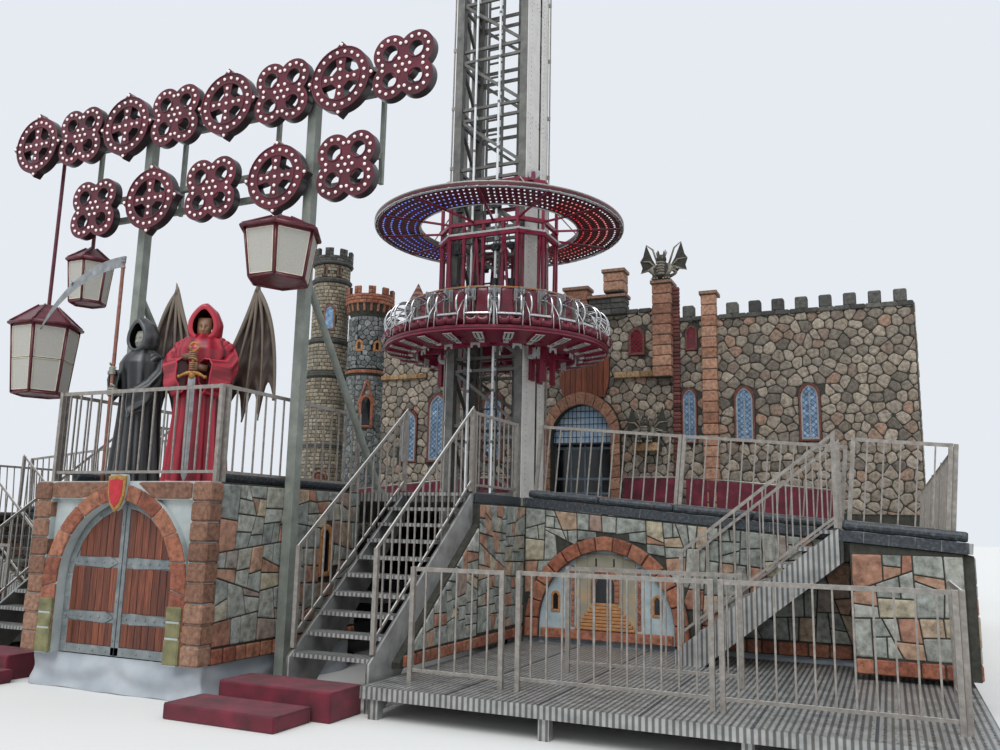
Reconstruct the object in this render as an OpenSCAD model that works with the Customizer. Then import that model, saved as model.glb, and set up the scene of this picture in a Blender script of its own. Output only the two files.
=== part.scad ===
// A travelling drop tower ride: a rectangular lattice mast with a ring of seats that
// a winch lifts and drops, on a raised deck dressed as a small stone fortress.
// The origin is the middle of the mast at ground level. +Z is up and -Y is the front.

/* [Mast] */
// Width of the mast from left to right
mast_x = 1720; // [1500:10:1900]
// Depth of the mast from front to back
mast_y = 1240; // [1100:10:1400]
// Height of the mast's columns above the ground
mast_h = 33000; // [20000:100:36000]
// Side of a square column tube
column_w = 170; // [120:5:220]
// Wall of a column tube
column_wall = 12; // [8:1:20]
// Height of one lattice bay
bay_h = 1400; // [1000:50:2000]
// Face width of a lattice bar
brace_w = 62; // [40:2:90]
// Depth of a lattice bar
brace_t = 60; // [30:5:90]
// Height of the mast's foot above the ground
mast_foot_z = 420; // [300:10:600]
// Thickness of the side plates
plate_t = 12; // [8:1:20]
// Width of the front side plate
plate_front_w = 690; // [500:10:750]
// Width of the rear side plate
plate_rear_w = 430; // [300:10:450]
// Radius of the vertical light tubes
tube_light_r = 26; // [20:1:40]
// Distance of the light tubes in front of the columns
tube_light_gap = 40; // [20:5:60]
// Radius of the hoist tube inside the mast
hoist_r = 85; // [60:5:110]
// Width of the ladder inside the mast
ladder_w = 420; // [350:10:500]

/* [Gondola] */
// Number of seats round the ring
seat_count = 24; // [16:4:24]
// Radius of the seat ring's outer edge
ring_r = 2360; // [2200:10:2400]
// Radius of the seat ring's inner edge
ring_inner_r = 1700; // [1600:10:1760]
// Height of the seat ring's outer underside above the ground
ring_z = 5400; // [5200:50:6200]
// Drop of the seat ring's underside towards the middle
ring_slope = 110; // [60:10:160]
// Thickness of the seat ring
ring_t = 100; // [80:5:140]
// Width of a seat pan
pan_w = 440; // [380:10:470]
// Height of a seat pan
pan_h = 180; // [140:10:220]
// Radius of the front edge of the seat pans
pan_r = 2440; // [2400:10:2480]
// Height of a seat back
back_h = 880; // [760:10:960]
// Width of a seat back at its top
back_top_w = 240; // [200:5:260]
// Thickness of a seat back
back_t = 60; // [50:5:80]
// Radius of the restraint hinges from the mast's middle
hinge_r = 1920; // [1900:5:1950]
// Height of the restraint hinges above the seat ring
hinge_h = 640; // [600:10:700]
// Radius of a restraint tube
bar_r = 19; // [14:1:24]
// Radius of the bend in a restraint tube
bend_r = 280; // [240:10:300]
// Radius of the restraint hinge pins
pin_r = 12; // [9:0.5:14]
// Running clearance of a hinge pin
pin_gap = 0.05; // [0.02:0.01:0.1]

/* [Carriage] */
// Half width of the carriage frame from left to right
cage_hx = 1230; // [1150:10:1300]
// Half depth of the carriage frame from front to back
cage_hy = 830; // [810:5:1000]
// Cut at the corners of the carriage frame
cage_cut = 420; // [300:10:500]
// Side of the carriage frame's tubes
cage_tube = 80; // [60:5:100]
// Height of the carriage above the seat ring
cage_h = 3560; // [3200:20:3900]
// Height of the lower carriage ring above the seat ring
cage_low_h = 2350; // [2100:20:2500]
// Length of the legs below the seat ring
leg_len = 700; // [500:10:800]
// Radius of a guide roller
roller_r = 125; // [90:5:140]
// Width of a guide roller
roller_w = 60; // [40:5:80]
// Gap between the moving carriage and the mast
guide_gap = 6; // [5:1:12]

/* [Light ring] */
// Outer radius of the light ring
halo_r = 2700; // [2500:20:2800]
// Inner radius of the light ring
halo_inner_r = 1700; // [1600:20:1800]
// Height of the light ring above the seat ring
halo_h = 2710; // [2600:10:2900]
// Thickness of the light ring's panel
halo_t = 50; // [30:5:80]
// Radius of the light ring's rim tube
rim_r = 22; // [15:1:30]

/* [Deck] */
// Height of the deck above the ground
deck_z = 2180; // [2000:10:2400]
// Thickness of the deck
deck_t = 110; // [80:10:150]
// Half width of the deck with its wings
deck_hx = 8250; // [8000:50:8600]
// Slope of the deck's wings down to the outside, in degrees
wing_tilt = 5; // [0:0.5:6]
// Distance of the deck's front edge from the mast's middle
deck_hy = 5450; // [5200:50:5700]
// Distance of the deck's back edge from the mast's middle
deck_by = 4950; // [4700:50:5200]
// Half side of the opening round the mast
well_h = 1520; // [1480:10:1600]
// Width of the gate block
block_w = 2440; // [2300:20:2600]
// Distance of the gate's front face from the mast's middle
block_y = 9600; // [9200:50:10000]
// Thickness of the stone-clad walls
wall_t = 90; // [70:5:120]
// Height of the fabric skirt below the walls
skirt_h = 360; // [300:10:400]
// Height of a railing above its floor
rail_h = 1020; // [900:10:1100]
// Side of a railing post
rail_post = 45; // [35:5:60]
// Spacing of the railing's bars
bar_pitch = 150; // [110:5:200]
// Width of a railing bar
bar_w = 16; // [12:1:22]
// Radius of the logs along the deck's edge
log_r = 60; // [45:5:75]

/* [Gate] */
// Width of the doorway in the gate
door_w = 1620; // [1400:20:1700]
// Height of the doorway's top above the ground
door_top = 1990; // [1900:10:2050]
// Depth of the doorway's recess
door_recess = 60; // [40:5:70]
// Width of the stone arch round the doorway
arch_w = 210; // [160:10:260]
// How far the stone arch stands out
arch_t = 70; // [50:5:90]
// Width of the corner stones of the gate
quoin_w = 210; // [160:10:260]
// Width of the arch in the long front wall
hall_w = 2180; // [1800:20:2240]
// Height of the arch in the long front wall above its foot
hall_h = 1330; // [1100:10:1400]

/* [Stairs] */
// Number of steps in a stair
step_count = 10; // [8:1:12]
// Width of a stair between its cheeks
stair_w = 900; // [800:10:1100]
// Depth of a step
step_go = 215; // [200:5:280]
// Length of the landing between a stair and the deck
landing_l = 1450; // [1200:50:1600]
// Distance of the side stairs' feet from the mast's middle
exit_x = 5260; // [5200:20:5400]
// Number of steps in a side stair
exit_steps = 8; // [7:1:9]
// Thickness of a stair's cheek plates
cheek_t = 40; // [30:5:60]

/* [Low deck] */
// Height of the low deck above the ground
low_z = 300; // [250:10:350]
// Distance of the low deck's outer end from the mast's middle
low_x = 8200; // [7600:50:8600]
// Distance of the low deck's front edge from the mast's middle
low_y = 9350; // [9000:50:9600]
// Thickness of the low deck
low_t = 110; // [80:10:140]

/* [Entrance sign] */
// Height of the sign posts above the ground
sign_h = 7100; // [6800:50:7400]
// Side of the sign posts
sign_post = 120; // [100:5:150]
// Distance of the sign posts from the middle
sign_px = 1310; // [1290:5:1400]
// Distance of the sign posts in front of the mast's middle
sign_py = 8450; // [8300:10:8550]
// Height of an ornament in the sign's upper row
orn_h = 950; // [800:10:1000]
// Width of the largest lantern
lantern_w = 940; // [800:10:1050]

/* [Castle backdrop] */
// Gap between the deck's back edge and the backdrop
castle_gap = 50; // [20:5:100]
// Thickness of the backdrop wall
castle_t = 240; // [200:10:320]
// Height of the backdrop wall above the ground
castle_h = 7420; // [7000:20:7600]
// Height of the lower wall at the right end
castle_low_h = 7100; // [6700:20:7200]
// Width of the backdrop's gateway
portal_w = 1640; // [1500:20:1800]
// Height of the gateway's top above the ground
portal_top = 4960; // [4700:20:5200]
// Distance of the tall round tower left of the mast's middle
tall_x = 8340; // [8200:20:8500]
// Radius of the tall round tower at its foot
tall_r = 620; // [560:10:680]
// Height of the tall round tower above the ground
tall_h = 10260; // [9800:20:10600]
// Distance of the short round tower left of the mast's middle
short_x = 6880; // [6800:20:6980]
// Radius of the short round tower
short_r = 600; // [560:10:640]
// Height of the short round tower above the ground
short_h = 8860; // [8400:20:9200]

/* [Figures] */
// Height of the hooded guard
guard_h = 2260; // [2000:20:2400]
// Radius of the guard's robe at its hem
guard_r = 400; // [340:10:440]
// Height of the reaper
reaper_h = 1990; // [1800:20:2200]
// Radius of the reaper's robe at its hem
reaper_r = 330; // [280:10:380]

/* [Hidden] */
RESTRAINTS = [for (i = [1:24]) str("restraint_", i < 10 ? "0" : "", i)];
$fn = 48;

seat_step = 360 / seat_count;
seat_z = ring_z + ring_t;
hinge_z = ring_z + hinge_h + ring_t;
bay_count = floor((mast_h - 1800 - mast_foot_z) / bay_h);
steel = "silver";
maroon = "maroon";
upper_row_z = 6960;
lower_row_z = 5860;
boss_l = 36;
boss_x = 212;
band_r = norm([hinge_r - 130 + back_t, back_top_w / 2]) + 0.3;

column_px = mast_x / 2 - column_w / 2;
column_py = mast_y / 2 - column_w / 2;
plate_face = mast_x / 2 + plate_t;
roller_px = plate_face + guide_gap + roller_r;
roller_py = mast_y / 2 - 130;
roller_drop = roller_r + 15;
block_hx = block_w / 2;
stair_x = 1900;
stair_top_y = deck_hy + landing_l;
stair_run = step_go * step_count;
stair_foot_y = stair_top_y + stair_run;
stair_out = stair_x + stair_w + cheek_t;
low_x0 = stair_out + 60;
wing_x = stair_out + wall_t;
exit_top_x = exit_x + exit_steps * step_go;
exit_w = stair_w + 60;
castle_y = deck_by + castle_gap;
portal_x = 250;
fit = 0.3;
cage_mid_h = halo_h - cage_tube - fit;
chassis_z = 200;
chassis_h = 220;
cross_z = chassis_z + chassis_h + fit;
cross_h = 180;
guard_x = 200;
guard_y = block_y - 800;
reaper_x = 640;
reaper_y = block_y - 700;

// Mirrors its children to the other side, left to right
module both_sides() {
    children();
    mirror([1, 0, 0]) children();
}

// Mirrors its children to the back
module front_and_back() {
    children();
    mirror([0, 1, 0]) children();
}

// Tilts its children about the inner edge of the right wing, and mirrors them for the left one
module wings() {
    both_sides() translate([wing_x, 0, deck_z]) rotate([0, wing_tilt, 0]) translate([-wing_x, 0, -deck_z]) children();
}

// Height of the wing's floor at a distance from the mast's middle
function wing_z(x) = deck_z - (x - wing_x) * tan(wing_tilt);

// Distance along the sloping wing for a distance from the mast's middle
function on_wing(x) = wing_x + (x - wing_x) / cos(wing_tilt);

// Distance from the mast's middle to the outside of the carriage frame, a degrees from the front
function cage_r(a) = min(cage_hx / max(abs(sin(a)), 0.001), cage_hy / max(abs(cos(a)), 0.001),
    (cage_hx + cage_hy - cage_cut) / (abs(sin(a)) + abs(cos(a))));

// Slope of a stair's cheek plates
function cheek_slope(n, floor_z) = (floor_z - low_z - 130) / (n * step_go + 60);

// Turns its children to each seat; a seat faces away from the mast
module at_seats() {
    for (i = [0:seat_count - 1]) rotate([0, 0, i * seat_step]) children();
}

// Stands a flat outline up, facing the front, with its back at y = 0
module upright(t) {
    rotate([90, 0, 0]) linear_extrude(t) children();
}

// A bar in a flat outline from one point to another
module flat_bar(a, b, w) {
    d = b - a;
    translate(a) rotate(atan2(d.y, d.x)) translate([0, -w / 2]) square([norm(d), w]);
}

// Round tube from one point to another
module rod(a, b, r) {
    d = b - a;
    translate(a) rotate([0, acos(d.z / norm(d)), atan2(d.y, d.x)]) cylinder(r = r, h = norm(d), $fn = 24);
}

// Outline of a frame with cut corners
module cut_corner(hx, hy, cut) {
    polygon([[hx - cut, -hy], [hx, -hy + cut], [hx, hy - cut], [hx - cut, hy],
        [-hx + cut, hy], [-hx, hy - cut], [-hx, -hy + cut], [-hx + cut, -hy]]);
}

// Closed frame of square tube with cut corners
module cage_ring(hx, hy, cut, t, h) {
    linear_extrude(h) difference() {
        cut_corner(hx, hy, cut);
        cut_corner(hx - t, hy - t, cut - t * tan(22.5));
    }
}

// Outline of a pointed round arch standing on the ground line
module arch_outline(w, h) {
    r = w / 2 * 1.08;
    spring = h - r;
    translate([-w / 2, 0]) square([w, spring]);
    intersection() {
        translate([-w / 2, spring - 1]) square([w, r + 1]);
        translate([w / 2 - r, spring]) circle(r, $fn = 64);
        translate([r - w / 2, spring]) circle(r, $fn = 64);
    }
}

// Upright panel of railing, its length along X, standing at z = 0
module rail_panel(l, h = rail_h) {
    n = max(1, floor(l / bar_pitch));
    for (x = [0, l - rail_post])
        translate([x, -rail_post / 2, 0]) cube([rail_post, rail_post, h]);
    translate([0, bar_w / 2, 0]) upright(bar_w) {
        translate([0, h - 40]) square([l, 40]);
        translate([0, 90]) square([l, 30]);
        for (i = [1:n - 1]) translate([i * l / n - bar_w / 2, 100]) square([bar_w, h - 120]);
    }
}

// Railing up a stair: it climbs by rise over the length l along X
module stair_rail(l, rise) {
    n = floor(l / bar_pitch);
    lift = rise / l;
    translate([0, bar_w / 2, 0]) upright(bar_w) {
        polygon([[0, rail_h - 45], [l, rail_h - 45 + rise], [l, rail_h + rise], [0, rail_h]]);
        polygon([[0, 90], [l, 90 + rise], [l, 125 + rise], [0, 125]]);
        for (i = [1:n - 1]) {
            x = i * l / n;
            translate([x - bar_w / 2, 105 + x * lift]) square([bar_w, rail_h - 130]);
        }
    }
    for (x = [0, l - rail_post])
        translate([x, -rail_post / 2, x * lift]) cube([rail_post, rail_post, rail_h]);
}

// Chassis beams on round feet, cross beams on top of them, and the posts that carry the deck
module base_frame() color("dimgray") {
    foot_y = [-block_y + 600, -deck_hy - 700, -2600, 2600, deck_by - 800];
    cross_y = [-deck_hy + 350, -330, deck_by - 350];
    translate([-400, -400, 0]) cube([800, 800, 60]);
    both_sides() {
        front_and_back() translate([column_px - 110, column_py - 110, 0]) cube([220, 220, mast_foot_z]);
        translate([470, -block_y + 300, chassis_z]) cube([170, block_y + deck_by - 500, chassis_h]);
        for (y = foot_y) leg(555, y, 170, chassis_z);
        for (y = [-block_y + 600, -deck_hy - 700]) deck_post(555, y, cross_z, deck_z);
        for (y = cross_y, x = [2500, 5000, deck_hx - 500]) {
            leg(x, y, 260, cross_z);
            deck_post(x, y, cross_z + cross_h + fit, x < wing_x ? deck_z : wing_z(x + 60));
        }
    }
    for (y = cross_y) translate([-deck_hx + 200, y - 100, cross_z]) cube([2 * deck_hx - 400, 200, cross_h]);
}

// Round foot with its jack tube up to the underside of a beam
module leg(x, y, r, beam_z) {
    pad_h = 40;
    translate([x, y, 0]) cylinder(r = r, h = pad_h);
    translate([x, y, pad_h + fit]) cylinder(r = 60, h = beam_z - pad_h - 2 * fit);
}

// Post from a beam's top up to the underside of a floor at that height
module deck_post(x, y, z0, floor_z) {
    post_w = 120;
    translate([x - post_w / 2, y - post_w / 2, z0]) cube([post_w, post_w, floor_z - deck_t - 8 - z0]);
}

// Four square column tubes of the mast
module mast_columns() color(steel)
    both_sides() front_and_back() translate([column_px, column_py, mast_foot_z])
        linear_extrude(mast_h - mast_foot_z) difference() {
            square(column_w, center = true);
            square(column_w - 2 * column_wall, center = true);
        }

// Flat lattice between two columns: pairs of level bars with a diagonal in each bay
module lattice_side(l) {
    rung_drop = 260;
    gusset = 150;
    translate([-l / 2, 0]) for (i = [0:bay_count - 1]) {
        z = mast_foot_z + 300 + i * bay_h;
        translate([0, z]) square([l, brace_w]);
        translate([0, z + rung_drop]) square([l, brace_w]);
        intersection() {
            translate([0, z]) square([l, bay_h]);
            flat_bar([-20, z + bay_h + 20], [l + 20, z + rung_drop + brace_w], brace_w);
        }
        polygon([[l, z + rung_drop], [l - gusset, z + rung_drop], [l, z + rung_drop + gusset * 1.6]]);
    }
}

module mast_lattice() color(steel)
    front_and_back() translate([0, -mast_y / 2 + column_w / 2 + brace_t / 2, 0])
        upright(brace_t) lattice_side(mast_x - 2 * column_w);

module mast_side_lattice() color(steel)
    both_sides() translate([column_px - brace_t / 2, 0, 0]) rotate([0, 0, 90])
        upright(brace_t) lattice_side(mast_y - 2 * column_w);

// Long side plates on which the rollers run and the brakes grip
module side_plates() color("gainsboro") both_sides() {
    z0 = mast_foot_z + 200;
    h = mast_h - z0 - 900;
    translate([mast_x / 2, -mast_y / 2, z0]) cube([plate_t, plate_front_w, h]);
    translate([mast_x / 2, mast_y / 2 - plate_rear_w, z0]) cube([plate_t, plate_rear_w, h]);
}

// Head of the mast: a cap frame, two rope sheaves and a rain cover
module mast_head() color(steel) {
    beam = 180;
    sheave_r = 420;
    head_z = mast_h;
    translate([0, 0, head_z]) linear_extrude(beam) difference() {
        square([mast_x, mast_y], center = true);
        square([mast_x - 2 * beam, mast_y - 2 * beam], center = true);
    }
    for (y = [-beam, beam]) translate([-mast_x / 2 + beam, y - 40, head_z]) cube([mast_x - 2 * beam, 80, beam]);
    both_sides() for (y = [-260, 180])
        translate([330, y, head_z + beam]) cube([120, 80, 520]);
    both_sides() rotate([90, 0, 0]) translate([390, head_z + beam + 420, -170])
        cylinder(r = 60, h = 340);
    both_sides() rotate([90, 0, 0]) translate([390, head_z + beam + 420, -60]) rotate_extrude()
        polygon([[60, 0], [sheave_r - 50, 0], [sheave_r, 20], [sheave_r - 50, 60], [sheave_r, 100],
            [sheave_r - 50, 120], [60, 120]]);
    translate([0, 0, head_z + beam]) both_sides() front_and_back()
        translate([mast_x / 2 - 100, mast_y / 2 - 100, 0]) cube([100, 100, 1000]);
    translate([-mast_x / 2 - 60, -mast_y / 2 - 60, head_z + beam + 1000])
        cube([mast_x + 120, mast_y + 120, 60]);
}

// Ladder up the inside of the mast, and the hoist tube with its collars beside it
module ladder() color("gray") {
    rail = 45;
    rung = 30;
    rung_pitch = 350;
    z0 = mast_foot_z + 320;
    top = mast_h;
    n = floor((top - z0) / rung_pitch);
    translate([-500, column_py - column_w / 2 - 160, 0]) upright(rail) {
        for (x = [0, ladder_w - rail]) translate([x, z0]) square([rail, top - z0]);
        for (i = [1:n - 1]) translate([0, z0 + i * rung_pitch]) square([ladder_w, rung]);
    }
    tube_h = mast_h - mast_foot_z - 120;
    collar_h = 260;
    first = 3000;
    pitch = 4 * bay_h;
    translate([420, 100, mast_foot_z + 120]) {
        cylinder(r = hoist_r, h = tube_h);
        for (z = [first:pitch:tube_h - collar_h]) translate([0, 0, z]) cylinder(r = hoist_r + 35, h = collar_h);
    }
}

// Vertical light tubes on the front and back of the mast, on small clips
module light_tubes() color("white") {
    z0 = mast_foot_z + 900;
    y = mast_y / 2 + tube_light_gap + tube_light_r;
    front_and_back() for (x = [-320, 235]) {
        translate([x, -y, z0]) cylinder(r = tube_light_r, h = mast_h - z0 - 600, $fn = 16);
        for (i = [1:2:bay_count - 1])
            translate([x - 15, -y, mast_foot_z + 300 + i * bay_h])
                cube([30, y - mast_y / 2 + column_w / 2 - brace_t / 2, brace_w]);
    }
}

// Floor plates of the raised deck round the mast's well, and its two sloping wings
module main_deck() color("gray") {
    seam = 4;
    lean = deck_t * sin(wing_tilt) + seam;
    entry_x = block_hx - wall_t;
    floor_plate(-well_h, well_h, -deck_hy, -well_h - seam);
    floor_plate(-well_h, well_h, well_h + seam, deck_by);
    floor_plate(-entry_x, entry_x, -block_y + wall_t, -deck_hy - seam);
    both_sides() {
        floor_plate(well_h + seam, wing_x, -deck_hy, deck_by);
        floor_plate(entry_x + seam, stair_out, -stair_top_y, -deck_hy - seam);
    }
    wings() {
        floor_plate(wing_x + lean, on_wing(deck_hx), -deck_hy, deck_by);
        floor_plate(on_wing(exit_top_x) + lean, on_wing(deck_hx), -deck_hy - exit_w - 50, -deck_hy - seam);
    }
}

// Rectangular plate of the floor between two distances across and two along
module floor_plate(x0, x1, y0, y1) {
    translate([x0, y0, deck_z - deck_t]) cube([x1 - x0, y1 - y0, deck_t]);
}

// Logs laid along the deck's edges
module deck_logs() color("dimgray") {
    z = deck_z + log_r;
    seat = log_r + 5;
    wings() {
        translate([wing_x + 40, -deck_hy + seat, z]) rotate([0, 90, 0])
            cylinder(r = log_r, h = exit_top_x - wing_x - 60, $fn = 24);
        translate([exit_top_x + 40, -deck_hy - exit_w - 50 + seat, z]) rotate([0, 90, 0])
            cylinder(r = log_r, h = deck_hx - exit_top_x - 60, $fn = 24);
        translate([deck_hx - seat, -deck_hy + 100, z]) rotate([-90, 0, 0])
            cylinder(r = log_r, h = deck_hy + deck_by - 400, $fn = 24);
    }
    both_sides() translate([block_hx - wall_t - seat, -stair_top_y - 60, z]) rotate([90, 0, 0])
        cylinder(r = log_r, h = block_y - stair_top_y - 300, $fn = 24);
}

// Gate front: a wall with a door recess, a stone arch, corner stones and a lintel band
module gate_wall() color("tan") {
    wall_h = deck_z - skirt_h;
    lintel_h = 190;
    foot_h = 560;
    door_h = door_top - skirt_h;
    translate([0, -block_y + wall_t, skirt_h]) upright(wall_t) difference() {
        translate([-block_hx, 0]) square([block_w, wall_h]);
        translate([0, -1]) arch_outline(door_w, door_h + 1);
    }
    translate([0, -block_y, skirt_h]) upright(arch_t) {
        difference() {
            arch_outline(door_w + 2 * arch_w, door_h + arch_w * 0.8);
            translate([0, -1]) arch_outline(door_w, door_h + 1);
            translate([-door_w, wall_h - lintel_h]) square([2 * door_w, wall_h]);
        }
        translate([-block_hx, wall_h - lintel_h]) square([block_w, lintel_h]);
        both_sides() translate([block_hx - quoin_w, 0]) square([quoin_w, wall_h - lintel_h]);
    }
    both_sides() translate([door_w / 2 + 10, -block_y - arch_t - 40, skirt_h]) cube([arch_w - 40, 40, foot_h]);
    translate([0, -block_y - arch_t, deck_z - 330]) upright(45) shield_outline(250, 400);
}

// Outline of a heater shield, its point at the bottom
module shield_outline(w, h) {
    intersection() {
        translate([-w / 2, 0]) square([w, h]);
        translate([-w * 0.9, h * 0.72]) circle(w * 1.42);
        translate([w * 0.9, h * 0.72]) circle(w * 1.42);
    }
}

// Pair of boarded door leaves that fill the recess and never open
module gate_doors() color("sienna") {
    clear = 6;
    door_h = door_top - skirt_h;
    translate([0, -block_y + wall_t - 5, skirt_h + 4]) upright(door_recess - 30) difference() {
        arch_outline(door_w - 2 * clear, door_h - clear - 4);
        translate([-4, -1]) square([8, door_h]);
    }
    both_sides() for (z = [330, 900]) translate([60, -block_y + wall_t - 5 - door_recess + 30, skirt_h + z])
        upright(12) polygon([[0, 60], [120, 0], [door_w / 2 - 130, 25], [door_w / 2 - 130, 95], [120, 120]]);
}

// Stone-clad walls round the deck, each a flat slab down to the skirt
module stone_walls() color("gray") {
    wall_h = deck_z - skirt_h;
    side_l = block_y - wall_t - stair_top_y - 2 * fit;
    gap = 4;
    both_sides() {
        translate([block_hx - wall_t, -block_y + wall_t + fit, skirt_h]) cube([wall_t, side_l, wall_h]);
        translate([stair_out + fit, 0, skirt_h]) rotate([90, 0, 90]) linear_extrude(wall_t - fit - gap) {
            polygon([[-stair_foot_y * 0.96, 0], [-stair_top_y, 0], [-stair_top_y, wall_h - deck_t - 260],
                [-stair_foot_y * 0.96, 60]]);
            translate([-stair_top_y + gap, 0]) square([landing_l - gap, wall_h - deck_t - 12]);
        }
        front_wall_panel();
        translate([deck_hx - wall_t, -deck_hy - exit_w, skirt_h])
            cube([wall_t, deck_hy + exit_w + deck_by, wing_z(deck_hx) - deck_t - skirt_h - 14]);
        translate([exit_top_x + 100, -deck_hy - exit_w - 30, skirt_h])
            sloping_slab(exit_top_x + 100, deck_hx - exit_top_x - 100 - wall_t - gap);
    }
}

// Slab along X whose top follows the underside of the wing
module sloping_slab(x, l) {
    h = wing_z(x) - deck_t - skirt_h - 10;
    translate([0, wall_t, 0]) upright(wall_t)
        polygon([[0, 0], [l, 0], [l, h - l * tan(wing_tilt)], [0, h]]);
}

// Long front wall beside a stair: a slab with a wide stone arch standing out
module front_wall_panel() {
    mid = wing_x + 60 + hall_w / 2;
    rib = 180;
    translate([wing_x, -deck_hy, skirt_h]) sloping_slab(wing_x, deck_hx - wing_x - wall_t - 4);
    translate([mid, -deck_hy - fit, skirt_h]) upright(60) difference() {
        arch_outline(hall_w, hall_h);
        translate([0, -1]) arch_outline(hall_w - 2 * rib, hall_h - rib + 1);
    }
}

// Stairs with plate treads between cheek plates: two front stairs and two side stairs
module stair_flights() color("darkgray") {
    front_stairs() flight(step_count, deck_z, 0);
    side_stairs() flight(exit_steps, wing_z(exit_top_x), low_z);
}

// Puts its children at the top of each front stair
module front_stairs() {
    both_sides() translate([stair_x + stair_w / 2, -stair_top_y - fit, 0]) children();
}

// Puts its children at the top of each side stair
module side_stairs() {
    both_sides() translate([exit_top_x, -deck_hy - 30 - cheek_t - stair_w / 2, 0]) rotate([0, 0, -90]) children();
}

// One stair up from the low deck; its top edge is at the origin and it descends to -Y
module flight(n, floor_z, foot_z) {
    rise = (floor_z - low_z) / n;
    run = n * step_go;
    for (i = [0:n - 1])
        translate([-stair_w / 2, -run + i * step_go, low_z + (i + 1) * rise - 40])
            cube([stair_w, step_go + (i < n - 1 ? 25 : 0), 40]);
    for (x = [-stair_w / 2 - cheek_t, stair_w / 2])
        translate([x, 0, 0]) rotate([90, 0, 90]) linear_extrude(cheek_t)
            polygon([[-run - 60, foot_z], [-run + 260, foot_z], [0, floor_z - deck_t - 250],
                [0, floor_z + 20], [-run - 60, low_z + 150]]);
}

// Railings on a stair's two cheek plates
module flight_rails(n, floor_z) {
    run = n * step_go;
    slope = cheek_slope(n, floor_z);
    for (x = [-stair_w / 2 - cheek_t / 2, stair_w / 2 + cheek_t / 2])
        translate([x, -run, floor_z + 20 + fit - (run - rail_post) * slope]) rotate([0, 0, 90])
            stair_rail(run, run * slope);
}

// Railings round the raised deck, each panel a welded grille between two posts
module deck_rails() color(steel) {
    edge = 30;
    front_l = block_w - 2 * edge;
    front_stairs() flight_rails(step_count, deck_z);
    side_stairs() flight_rails(exit_steps, wing_z(exit_top_x));
    translate([-front_l / 2, -block_y + 60, deck_z]) rail_panel(front_l);
    both_sides() {
        translate([block_hx - edge, -block_y + 110, deck_z]) rotate([0, 0, 90]) rail_panel(block_y - stair_top_y - 160);
        translate([stair_out - 30, -stair_top_y + 60, deck_z]) rotate([0, 0, 90]) rail_panel(landing_l - 80);
    }
    wings() {
        inner_l = exit_top_x - wing_x - 40;
        side_l = deck_hy + deck_by + exit_w - 420;
        for (i = [0:1]) translate([wing_x + 60 + i * inner_l / 2, -deck_hy + 180, deck_z]) rail_panel(inner_l / 2 - 10);
        translate([exit_top_x + 90, -deck_hy - exit_w + 110, deck_z]) rail_panel(deck_hx - exit_top_x - 270);
        for (i = [0:3]) translate([deck_hx - 150, -deck_hy - exit_w + 130 + i * side_l / 4, deck_z])
            rotate([0, 0, 90]) rail_panel(side_l / 4 - 10);
    }
}

// Free-standing fences on the low decks
module low_fences() color(steel) both_sides() {
    l = 1830;
    for (p = [[low_x0 + 250, 8900], [low_x0 + 1300 + 40, 8820], [low_x0 + 1300 + l + 80, 8820]])
        translate([p.x, -p.y, low_z]) rail_panel(p.x == low_x0 + 250 ? 1000 : l, 1080);
    translate([low_x0 + 1400, -7600, low_z]) rail_panel(l, 1080);
    translate([low_x0 + 1300 + 2 * l + 110, -8780, low_z]) rotate([0, 0, 90]) rail_panel(1500, 1080);
}

// Low decks at both sides of the entrance, on short legs
module low_decks() color("lightgray") both_sides() {
    w = low_x - low_x0;
    d = low_y - deck_hy - 60;
    translate([low_x0, -low_y, low_z - low_t]) cube([w, d, low_t]);
    for (i = [0:3], j = [0:2])
        translate([low_x0 + 60 + i * (w - 220) / 3, -low_y + 60 + j * (d - 220) / 2, 0])
            cube([100, 100, low_z - low_t]);
}

// Carpet-covered steps in front of each stair
module carpet_steps() color("darkred") both_sides() {
    y = stair_foot_y + 70;
    translate([stair_x - 420, -y - 520, 0]) cube([1300, 520, 270]);
    translate([stair_x - 560, -y - 1080, 0]) cube([1250, 540, 140]);
}

// Fabric skirts hanging from the walls' lower edges
module skirts() color("lightsteelblue") {
    t = 12;
    front_y = -block_y + wall_t / 2;
    translate([-block_hx + 20, front_y, 0]) cube([block_w - 40, t, skirt_h]);
    both_sides() {
        translate([block_hx - wall_t / 2, front_y + t, 0]) cube([t, block_y - stair_top_y - 120, skirt_h]);
        translate([low_x0, -deck_hy + wall_t / 2, 0]) cube([deck_hx - low_x0 - wall_t, t, skirt_h]);
        translate([deck_hx - wall_t / 2, -deck_hy + wall_t / 2, 0]) cube([t, deck_hy + deck_by - wall_t, skirt_h]);
    }
}

// Sign posts with their braces and the level rails that carry the ornaments
module sign_posts() color(steel) {
    rail = 70;
    brace_z = 4600;
    brace_y = stair_top_y - 300;
    back = -sign_py + sign_post / 2 + fit;
    both_sides() {
        translate([sign_px - sign_post / 2, -sign_py - sign_post / 2, 0]) cube([sign_post, sign_post, sign_h]);
        translate([sign_px - 110, -sign_py - 110, 0]) cube([220, 220, 30]);
        rod([sign_px, -sign_py + 50, brace_z], [sign_px, -brace_y, deck_z + 40], 45);
        translate([sign_px - 90, -brace_y - 90, deck_z]) cube([180, 180, 20]);
        translate([sign_px - 60, -brace_y - 60, deck_z]) cube([120, 120, 60]);
    }
    for (dz = [-130, 170]) {
        translate([-3550, back, upper_row_z + dz]) cube([6350, rail, rail]);
        translate([-2500, back, lower_row_z + dz]) cube([4700, rail, rail]);
    }
    for (x = [-2450 : 1540 : 2200])
        translate([x, back + rail + fit, lower_row_z - 130]) cube([50, 50, upper_row_z - lower_row_z + 370]);
}

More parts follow.
